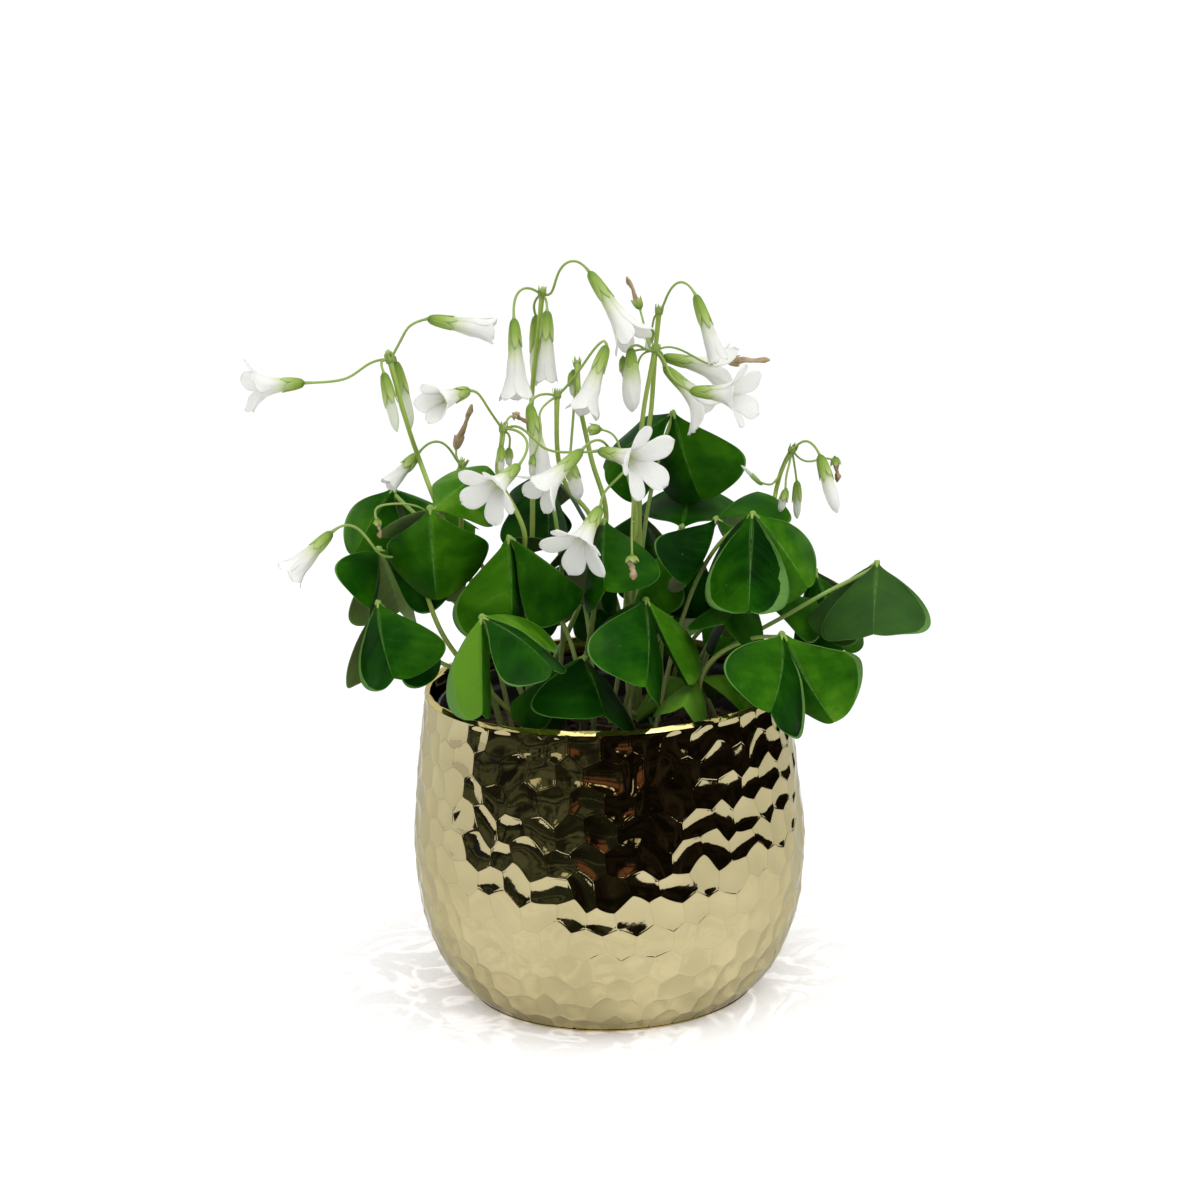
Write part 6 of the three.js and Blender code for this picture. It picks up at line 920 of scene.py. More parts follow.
def leaflet(buf, q, rng, tones_and_painted_light, edges, closed=0.35):
    bx, by, bz, az, el, ro, L, W, fold, droop = q
    d = np.array([math.cos(el) * math.cos(az), math.cos(el) * math.sin(az), math.sin(el)])
    n0 = np.array([0, 0, 1.0]) - d * d[2]
    n0 /= np.linalg.norm(n0)
    l0 = np.cross(n0, d)
    n = math.cos(ro) * n0 + math.sin(ro) * l0
    l = np.cross(n, d)
    nt, ns = (37, 12) if not LOW else (20, 6)
    t = np.linspace(0.15, 12.72, nt)
    out = OUTLINE.copy()
    out[:, 0] += closed * NOTCH
    out[-1, 2] += closed * NOTCH[-1]
    out[-2, 2] += closed * NOTCH[-2]
    out[-3, 2] += closed * 0.06
    out[-4, 2] += closed * 0.03
    O = spline(out, 400, power=0.0001)
    ti = np.linspace(0, 13, 400)
    xo, yo, xm = (np.interp(t, ti, O[:, k]) for k in range(3))
    s = np.r_[0, np.linspace(0.05, 1, ns) ** 0.9]
    s = np.r_[-s[:0:-1], s]
    S, Tt = np.meshgrid(s, t)
    A = np.abs(S)
    x = xm[:, None] + (xo - xm)[:, None] * A
    y = yo[:, None] * S
    X = L * x
    ay = np.abs(y) * W
    crease = np.sqrt(ay * ay + 0.30**2) - 0.30
    k1, k2, k3 = rng.uniform(0, 2 * PI, 3)
    amp = rng.uniform(0.12, 0.30)
    wave = amp * A**3 * np.sin(Tt * rng.uniform(0.9, 1.5) + k1 + 1.3 * np.sign(S)) + 0.10 * np.sin(ay * 0.55 + Tt * 0.6 + k2)
    psi = fold + CURL * np.abs(y) / 2
    y3 = ay * np.cos(psi) * np.sign(y)
    z3 = -crease * np.sin(psi) + wave * np.clip(ay / 4, 0, 1)
    # the margin turns up over the width of its strip
    ew = np.where(S > 0, edges[1], edges[0]) * np.clip(Tt / 3.0, 0, 1)
    over = np.clip(A - (1 - ew), 0, None) * W * np.abs(yo[:, None])
    z3 = z3 + 0.85 * over * np.cos(psi)
    y3 = y3 - np.sign(y) * 0.25 * over
    th = droop * x
    px = X * np.cos(th / 2) + z3 * np.sin(th)
    pz = -X * np.sin(th / 2) + z3 * np.cos(th)
    G = np.array([bx, by, bz]) + px[..., None] * d + y3[..., None] * l + pz[..., None] * n
    # unit normals of the middle surface
    Nn = np.cross(np.gradient(G, axis=0), np.gradient(G, axis=1))
    Nn /= np.linalg.norm(Nn, axis=2)[..., None] + 1e-12
    if (Nn.reshape(-1, 3) @ n).sum() < 0:
        Nn = -Nn
    half = 0.16 * (1 - 0.65 * A**6)
    top, bot = G + Nn * half[..., None], G - Nn * half[..., None]
    rib = 0.22 * np.exp(-((ay / 0.45) ** 2)) * (1 - 0.7 * Tt / 13)
    bot = bot - Nn * rib[..., None]
    uv = np.stack([S, Tt / 13], 2)
    seed = (*tones_and_painted_light, *edges)
    r, c = S.shape
    # orientation: rows go along the midrib, columns across
    def side(Gs, up, mat):
        e1 = Gs[r // 2, c // 2 + 1] - Gs[r // 2, c // 2]
        e2 = Gs[r // 2 + 1, c // 2] - Gs[r // 2, c // 2]
        f = np.cross(e1, e2) @ Nn[r // 2, c // 2] > 0
        buf.grid(Gs, uv, seed, mat, flip=(not f) if up else f)
        return f
    f = side(top, True, 0)
    side(bot, False, 1)
    # rim between the two faces
    idx = [(0, j) for j in range(c)] + [(i, c - 1) for i in range(1, r)] + [(r - 1, j) for j in range(c - 2, -1, -1)] + [(i, 0) for i in range(r - 2, 0, -1)]
    n2 = buf.n
    a0, b0 = n2 - 2 * r * c, n2 - r * c
    m = len(idx)
    for k in range(m):
        p, q2 = idx[k], idx[(k + 1) % m]
        A1, A2 = a0 + p[0] * c + p[1], a0 + q2[0] * c + q2[1]
        B1, B2 = b0 + p[0] * c + p[1], b0 + q2[0] * c + q2[1]
        buf.f.append([A1, B1, B2, A2] if f else [A1, A2, B2, B1])
        buf.m.append(0)


def leaf(spec, k):
    rng = np.random.default_rng(100 + k)
    name = spec["name"]
    hub = np.array(spec["hub"], float)
    P = np.array(spec["petiole"], float)
    root = P[0] + np.array([0, 0, -3.0])
    Q = even(np.vstack([root, P, hub + [0, 0, 0.1]]), 1.6)
    n = len(Q)
    if name in TUCKED:
        # the top of this stalk bends back a little, behind its own leaflet
        far = np.r_[np.cumsum(np.linalg.norm(np.diff(Q[::-1], axis=0), axis=1))[::-1], 0]
        Q[:, 1] += TUCKED[name] * np.interp(far, [0.0, 1.5, 6.0, 30.0, 48.0], [0.0, 0.25, 1.0, 1.0, 0.0])
    r = np.interp(np.linspace(0, 1, n), [0, 0.03, 0.3, 0.9, 1], [0.98, 0.86, 0.74, 0.62, 0.66])
    b = Buf()
    tube(b, Q, r, 10, seed=(rng.uniform(0, 0.8), rng.uniform()))
    # swelling where the leaflets join, and their short stalks
    T = Q[-1] - Q[-3]
    T /= np.linalg.norm(T)
    K = np.array([hub - T * 1.1, hub - T * 0.5, hub, hub + T * 0.45, hub + T * 0.8])
    tube(b, K, np.array([0.66, 0.95, 1.12, 0.95, 0.5]), 10, seed=(0.2, 0.5), v0=0.9)
    for q in spec["leaflets"]:
        B0 = np.array(q[:3])
        az, el = q[3], q[4]
        d = np.array([math.cos(el) * math.cos(az), math.cos(el) * math.sin(az), math.sin(el)])
        tube(b, np.array([hub, (hub + B0) / 2 + d * 0.2, B0 + d * 0.5, B0 + d * 1.5]), np.array([0.5, 0.52, 0.5, 0.34]), 8, seed=(0.2, 0.5), v0=0.95)
    place(b.build(name + "_petiole", [M_PETIOLE]), name)
    b = Buf()
    known = LEAF_TONES_AND_PAINTED_LIGHT.get(name, {})
    for i, q in enumerate(spec["leaflets"]):
        t = rng.uniform(0.10, 0.50)
        tones_and_painted_light = (t, np.clip(t + rng.uniform(-0.15, 0.15), 0, 1))
        edges = tuple(rng.uniform(0.01, 0.06, 2))
        tones_and_painted_light, edges = known.get(i, (tones_and_painted_light, edges))
        leaflet(b, q, rng, tones_and_painted_light, edges, CLOSED.get(name, {}).get(i, 0.35))
    place(b.build(name + "_leaflets", [M_LEAF, M_UNDER]), name)


# ---------------------------------------------------------------- flowers
def axes(A, B):
    a = np.array(B, float) - np.array(A, float)
    L = np.linalg.norm(a)
    a /= L
    u = np.cross(a, [0, 0, 1.0])
    if np.linalg.norm(u) < 0.05:
        u = np.cross(a, [0, 1.0, 0])
    u /= np.linalg.norm(u)
    return np.array(A, float), L, a, u, np.cross(a, u)


def sheet(buf, G, uv, seed, mats, half):
    """A thin closed petal or sepal: G is rows (along) x columns (across)."""
    r, c = G.shape[:2]
    Nn = np.cross(np.gradient(G, axis=0), np.gradient(G, axis=1))
    Nn /= np.linalg.norm(Nn, axis=2)[..., None] + 1e-12
    h = np.broadcast_to(half, (r, c))[..., None]
    n0 = buf.n
    # cross(rows, columns) points the other way from the winding that grid() gives
    buf.grid(G - Nn * h, uv, seed, mats[0])
    buf.grid(G + Nn * h, uv, seed, mats[1], flip=True)
    idx = [(0, j) for j in range(c)] + [(i, c - 1) for i in range(1, r)] + [(r - 1, j) for j in range(c - 2, -1, -1)] + [(i, 0) for i in range(r - 2, 0, -1)]
    m = len(idx)
    for k in range(m):
        p, q = idx[k], idx[(k + 1) % m]
        A1, A2 = n0 + p[0] * c + p[1], n0 + q[0] * c + q[1]
        B1, B2 = A1 + r * c, A2 + r * c
        buf.f.append([A1, B1, B2, A2])
        buf.m.append(mats[0])


def petal_rows(kind, L, R):
    """Centre line (radius, height) and half width of one petal, from the tube's base to the lobe's end."""
    v = np.array([0, 0.10, 0.22, 0.36, 0.50, 0.60, 0.68, 0.76, 0.84, 0.92, 1.0])
    if kind == "open":
        m = min(3.9, 0.42 * R)
        R = min(R, 11.5)
        rho = np.array([0.8, 1.25, 1.6, 2.0, 2.55, 3.1, m, m + 0.20 * (R - m), m + 0.46 * (R - m), m + 0.74 * (R - m), R])
        rho = np.maximum.accumulate(np.minimum(rho, R))
        z = np.array([0.03, 0.13, 0.26, 0.40, 0.54, 0.64, 0.73, 0.82, 0.90, 0.96, 0.99]) * L
        w = np.array([0.55, 0.90, 1.15, 1.45, 1.90, 2.40, 2.85, 3.30, 3.70, 3.75, 3.4]) * (0.70 + 0.30 * R / 10.0)
    elif kind == "half":
        m = min(3.3, 0.50 * R)
        rho = np.array([0.8, 1.2, 1.55, 1.9, 2.3, 2.75, m, m + 0.18 * (R - m), m + 0.42 * (R - m), m + 0.72 * (R - m), R])
        rho = np.maximum.accumulate(np.minimum(rho, R))
        z = np.array([0.03, 0.13, 0.26, 0.39, 0.52, 0.62, 0.70, 0.79, 0.88, 0.95, 1.0]) * L
        w = np.array([0.55, 0.90, 1.15, 1.40, 1.75, 2.1, 2.45, 2.80, 3.1, 3.1, 2.8]) * (0.75 + 0.25 * R / 7.0)
    else:
        # just opening: the lobes still point straight ahead
        rho = np.array([0.7, 1.0, 1.25, 1.5, 1.8, 2.0, 2.2, 2.4, 2.65, 2.95, 3.2]) * (R / 2.5)
        z = np.array([0.03, 0.13, 0.25, 0.39, 0.53, 0.63, 0.71, 0.80, 0.88, 0.95, 1.0]) * L
        w = np.array([0.50, 0.80, 1.00, 1.25, 1.5, 1.70, 1.9, 2.1, 2.2, 2.1, 1.9]) * (R / 2.5)
    return v, rho, z, w


def corolla(buf, A, B, R, kind, rng, spin, mats=(0, 0)):
    A, L, a, u, w3 = axes(A, B)
    v, rho, z, w = petal_rows(kind, L, R)
    nv, nu = (30, 13) if not LOW else (14, 7)
    tt = np.linspace(0, 1, nv) ** 0.85
    rho, z, w = (spline(np.c_[v, q, 0 * v], 200, power=1.0)[:, 1] if False else np.interp(tt, v, q) for q in (rho, z, w))
    # soften the piecewise curves; the lobes end in a round arc
    for _ in range(2):
        for q in (rho, z, w):
            q[1:-1] = (q[:-2] + 2 * q[1:-1] + q[2:]) / 4
    if True:
        w = w * np.sqrt(np.clip(1 - (np.clip(tt - 0.83, 0, 1) / 0.172) ** 2.2, 0.012, 1))
    U = np.linspace(-1, 1, nu)
    open_ = kind == "open"
    for i in range(5):
        ph = spin + i * 2 * PI / 5 + rng.uniform(-0.06, 0.06)
        k1, k2 = rng.uniform(0, 2 * PI, 2)
        bend = rng.uniform(-0.10, 0.10)
        short = rng.uniform(0.93, 1.03)
        G = np.zeros((nv, nu, 3))
        for j in range(nv):
            # the tip is rounded: width narrows in an arc over the last rows
            x = U * w[j]
            lim = np.clip((tt[j] - 0.64) / 0.36, 0, 1)
            # across the petal the surface follows the tube's circle and opens flat in the lobe
            rad = max(rho[j], 0.6)
            ang = x / rad
            circ_r, circ_t = rad * np.cos(np.clip(ang, -1.3, 1.3)), rad * np.sin(np.clip(ang, -1.3, 1.3))
            flat_r = rho[j] - (0.16 + bend) * lim * (x * x) / max(R, 2.0) * (1 if open_ else 1.6)
            mixf = lim**0.8 if kind in ("open", "half") else 0.25 * lim
            rr = circ_r * (1 - mixf) + flat_r * mixf
            tx = circ_t * (1 - mixf) + x * mixf
            zz = z[j] + lim * (0.16 * np.sin(U * 5.5 + k1) + 0.22 * np.sin(U * 2.4 + tt[j] * 6 + k2)) * min(1.0, R / 7)
            zz = zz - lim * 0.10 * np.abs(U) ** 2 * w[j] * (0.5 if open_ else 0.9)
            rr = rr * (1 + (short - 1) * lim)
            over = 0.10 * U * (1 - lim)      # each petal's edge tucks under the next one
            pleat = 0.16 * np.clip(tt[j] / 0.5, 0, 1) * (1 - lim) * (1 - 2 * np.abs(U) ** 1.5)
            rr = rr + over + pleat
            e = np.cos(ph)[None] if False else math.cos(ph)
            G[j] = A + a * zz[:, None] + (u * math.cos(ph) + w3 * math.sin(ph)) * rr[:, None] + (-u * math.sin(ph) + w3 * math.cos(ph)) * tx[:, None]
        # the outer corners could be pulled towards the centre line; the pull is zero, so the lobe's end keeps its shape
        if kind in ("open", "half"):
            c0 = G[:, nu // 2].copy()
            for j in range(nv):
                lim = np.clip((tt[j] - 0.80) / 0.20, 0, 1)
                pull = lim * np.abs(U) ** 2 * 0.0
                G[j] = G[j] * (1 - pull)[:, None] + c0[j] * pull[:, None]
        uv = np.stack(np.broadcast_arrays((U[None] * 0.5 + 0.5 + i), tt[:, None]), 2)
        sheet(buf, G, uv, (rng.uniform(), rng.uniform()), mats, 0.10)


def calyx(buf, A, B, R, kind, rng, spin, mat=0, share=0.34, fat=1.0):
    A, L, a, u, w3 = axes(A, B)
    Ls = min(10.5, share * L) * rng.uniform(0.95, 1.08)
    nv, nu = 12, 7
    tt = np.linspace(0, 1, nv)
    for i in range(5):
        ph = spin + (i + 0.5) * 2 * PI / 5
        ls = Ls * rng.uniform(0.88, 1.08)
        rho = np.interp(tt, [0, 0.10, 0.30, 0.65, 1.0], np.array([0.70, 1.22, 1.60, 1.92, 2.06]) * fat) + 0.08 * (i % 2)
        wd = np.interp(tt, [0, 0.15, 0.45, 0.72, 0.88, 1.0], np.array([0.62, 1.08, 1.30, 1.12, 0.60, 0.05]) * fat)
        zz = -0.1 + ls * tt
        flare = 0.30 * np.clip(tt - 0.75, 0, 1) * rng.uniform(-0.5, 1.5)
        G = np.zeros((nv, nu, 3))
        U = np.linspace(-1, 1, nu)
        for j in range(nv):
            x = U * wd[j]
            an = x / rho[j]
            r = (rho[j] + flare[j]) * np.cos(an) + 0.05 * (1 - U * U)
            t = rho[j] * np.sin(an)
            G[j] = A + a * zz[j] + (u * math.cos(ph) + w3 * math.sin(ph)) * r[:, None] + (-u * math.sin(ph) + w3 * math.cos(ph)) * t[:, None]
        uv = np.stack(np.broadcast_arrays((U[None] * 0.5 + 0.5), tt[:, None]), 2)
        sheet(buf, G, uv, (rng.uniform(), rng.uniform()), (mat, mat), 0.11)
    # the swollen top of the pedicel under the sepals
    P = A + a * np.array([-0.5, 0.0, 0.5, 1.1])[:, None]
    tube(buf, P, np.array([0.5, 0.85, 1.25, 1.30]) * fat, 12, mat=mat, v0=0.0, v1=0.1, seed=(0.5, 0.5))


def furled(buf, A, B, R, rng, mat=0, start=0.12, twist=2.2):
    """Petals rolled up into a bud: a spindle with spiral pleats."""
    A, L, a, u, w3 = axes(A, B)
    nv, nu = (26, 20) if not LOW else (14, 12)
    tt = np.linspace(0, 1, nv)
    rad = np.interp(tt, [0, 0.08, 0.3, 0.55, 0.8, 0.93, 1.0], np.array([0.50, 0.62, 0.86, 1.0, 0.86, 0.52, 0.10])) * R
    for _ in range(2):
        rad[1:-1] = (rad[:-2] + 2 * rad[1:-1] + rad[2:]) / 4
    al = np.linspace(0, 2 * PI, nu, endpoint=False)
    k = rng.uniform(0, 2 * PI)
    G = np.zeros((nv, nu, 3))
    for j in range(nv):
        h = ((al * 5 / (2 * PI) + twist * tt[j] + k) % 1.0)
        r = rad[j] * (1 + 0.10 * tt[j] * (h - 0.5) * 2 * np.clip((1 - h) * 6, 0, 1))
        p = A + a * L * (start + (1 - start) * tt[j])
        G[j] = p + (np.cos(al)[:, None] * u + np.sin(al)[:, None] * w3) * r[:, None]
    uv = np.stack(np.broadcast_arrays((al / (2 * PI) + 0.25 * np.linspace(0, 1, nv)[:, None]), (0.1 + 0.9 * tt)[:, None]), 2)
    buf.grid(G, uv, (rng.uniform(), rng.uniform()), mat, wrap=True, flip=False)
    n = buf.n
    b0 = n - nv * nu
    buf.f.append([b0 + i for i in range(nu)][::-1])
    buf.m.append(mat)
    buf.f.append([b0 + (nv - 1) * nu + i for i in range(nu)])
    buf.m.append(mat)


WIDE = {"flower_14": 1.18, "flower_15": 1.32, "flower_16": 1.2, "flower_12": 1.1}     # the crowded corollas at the top right


def flower(spec, k):
    rng = np.random.default_rng(500 + k)
    name, A, B, R, kind = spec["name"], spec["base"], spec["mouth"], spec["flare"], spec["kind"]
    spin = rng.uniform(0, 2 * PI)
    cal = Buf()
    share = {"open": 0.42, "half": 0.40, "tube": 0.44, "bud": 0.56}[kind]
    calyx(cal, A, B, R, kind, rng, spin, share=share)
    place(cal.build(name + "_calyx", [M_CALYX]), name)
    b = Buf()
    if kind == "bud":
        furled(b, A, B, R, rng)
        place(b.build(name + "_petals", [M_BUD]), name)
        return
    if kind == "tube" and spec["name"] not in ("flower_07", "flower_11", "flower_13"):
        furled(b, A, B, R * 0.92, rng, twist=1.2)
        place(b.build(name + "_petals", [M_PETAL]), name)
        return
    corolla(b, A, B, R * WIDE.get(name, 1.0), kind, rng, spin)
    place(b.build(name + "_petals", [M_PETAL]), name)
    # stamens and styles in the throat
    A0, L, a, u, w3 = axes(A, B)
    b = Buf()
    for i in range(10):
        t = spin + i * 2 * PI / 10
        r = 0.5 + 0.35 * (i % 2)
        h = (0.60 if i % 2 else 0.50) * L
        d = u * math.cos(t) + w3 * math.sin(t)
        P = np.array([A0 + a * 0.15 * L + d * 0.4, A0 + a * (0.35 * L) + d * r * 0.8, A0 + a * h + d * r])
        tube(b, spline(P, 6), 0.10, 5, seed=(0.5, 0.5))
        c = A0 + a * (h + 0.2) + d * r
        tube(b, np.array([c - a * 0.45, c, c + a * 0.45]), np.array([0.16, 0.32, 0.16]), 6, seed=(0.5, 0.5))
    place(b.build(name + "_stamens", [M_ANTHER]), name)


def withered(buf, A, B, R, rng, mat):
    A, L, a, u, w3 = axes(A, B)
    nv, nu = 16, 10
    tt = np.linspace(0, 1, nv)
    rad = np.interp(tt, [0, 0.15, 0.35, 0.6, 0.85, 1], [0.45, 0.95, 0.60, 0.42, 0.72, 0.2]) * R
    al = np.linspace(0, 2 * PI, nu, endpoint=False)
    off = np.cumsum(rng.normal(size=(nv, 2)) * 0.13, axis=0)
    G = np.zeros((nv, nu, 3))
    kk = rng.uniform(0, 2 * PI, 4)
    for j in range(nv):
        r = rad[j] * (1 + 0.32 * np.sin(3 * al + kk[0] + 3 * tt[j]) + 0.18 * np.sin(5 * al + kk[1] - 5 * tt[j]) + 0.08 * rng.normal(size=nu))
        c = A + a * L * tt[j] + u * off[j, 0] + w3 * off[j, 1]
        G[j] = c + (np.cos(al)[:, None] * u + np.sin(al)[:, None] * w3) * r[:, None]
    uv = np.stack(np.broadcast_arrays((al / (2 * PI))[None], tt[:, None]), 2)
    buf.grid(G, uv, (rng.uniform(), rng.uniform()), mat, wrap=True)
    n = buf.n
    b0 = n - nv * nu
    buf.f.append([b0 + i for i in range(nu)][::-1])
    buf.m.append(mat)
    buf.f.append([b0 + (nv - 1) * nu + i for i in range(nu)])
    buf.m.append(mat)


def stalk(spec, k):
    rng = np.random.default_rng(300 + k)
    name = spec["name"]
    P = np.array(spec["scape"], float)[::-1]
    Q = even(np.vstack([P[0] + [0, 0, -3.0], P]), 1.8)
    n = len(Q)
    r = np.interp(np.linspace(0, 1, n), [0, 0.05, 0.4, 0.93, 1], [1.05, 0.95, 0.82, 0.70, 0.86])
    b = Buf()
    tube(b, Q, r, 12, seed=(rng.uniform(0, 0.6), rng.uniform()))
    place(b.build(name + "_scape", [M_SCAPE]), name)
    hub = P[-1]
    T = Q[-1] - Q[-3]
    T /= np.linalg.norm(T)
    b = Buf()
    # umbel base: a low knob with pointed bracts
    K = hub + T * np.array([-1.3, -0.6, 0.1, 0.7, 1.1])[:, None]
    tube(b, K, np.array([0.78, 1.02, 1.22, 1.0, 0.5]), 12, mat=0, v0=0.4, v1=0.6, seed=(0.4, 0.5))
    A, L, a, u, w3 = axes(hub - T * 0.6, hub + T * 2.4)
    for i in range(6):
        ph = i * PI / 3 + rng.uniform(-0.3, 0.3)
        d = u * math.cos(ph) + w3 * math.sin(ph)
        t = -u * math.sin(ph) + w3 * math.cos(ph)
        tt = np.linspace(0, 1, 6)
        wd = np.interp(tt, [0, 0.4, 1], [0.5, 0.45, 0.05])
        G = np.zeros((6, 5, 3))
        for j in range(6):
            G[j] = A + a * (L * tt[j]) + d * (1.05 + 0.35 * tt[j]) + t * (np.linspace(-1, 1, 5) * wd[j])[:, None]
        uv = np.stack(np.broadcast_arrays(np.linspace(0, 1, 5)[None], 0.3 + 0.7 * tt[:, None]), 2)
        sheet(b, G, uv, (0.4, 0.4), (0, 0), 0.09)
    for p in spec["pedicels"]:
        pts = np.array(p, float)
        end = pts[-1] - pts[-2]
        end /= np.linalg.norm(end)
        pts[-1] = pts[-1] + end * 0.3
        q = even(pts, 1.0)
        m = len(q)
        tube(b, q, np.interp(np.linspace(0, 1, m), [0, 0.08, 0.9, 1], [0.55, 0.40, 0.40, 0.58]), 8, mat=0, seed=(rng.uniform(0, 0.5), 0.5))
    dry = 0
    for sm in spec["small"]:
        if len(sm["stem"]) > 1:
            q = even(sm["stem"], 1.0)
            m = len(q)
            tube(b, q, np.interp(np.linspace(0, 1, m), [0, 0.1, 0.9, 1], [0.48, 0.34, 0.34, 0.45]), 8, mat=0, seed=(rng.uniform(0, 0.5), 0.5))
        R, A2, B2 = sm["radius"], np.array(sm["base"], float), np.array(sm["tip"], float)
        Lb = np.linalg.norm(B2 - A2)
        if sm["kind"] == "bud":
            furled(b, A2, B2, R, rng, mat=2 if Lb > 5 else 1, start=0.05)
            if Lb > 2.5:
                calyx(b, A2, B2, R, "bud", rng, rng.uniform(0, 6), mat=1, share=0.55 if Lb > 5 else 0.8, fat=min(1.0, R / 1.75))
        else:
            withered(b, A2, B2, R, rng, 3)
            if Lb > 4:
                calyx(b, A2, B2, R, "bud", rng, rng.uniform(0, 6), mat=3 if rng.uniform() < 0.5 else 1, share=0.3, fat=min(1.0, R / 1.6))
    place(b.build(name + "_umbel", [M_PEDICEL, M_CALYX, M_BUD, M_DRY]), name)


# ---------------------------------------------------------------- build
LOW = False
cover_pot()
nursery_pot()
soil()
for k, spec in enumerate(LEAVES):
    leaf(spec, k)
for k, spec in enumerate(STALKS):
    stalk(spec, k)
for k, spec in enumerate(FLOWERS):
    flower(spec, k)


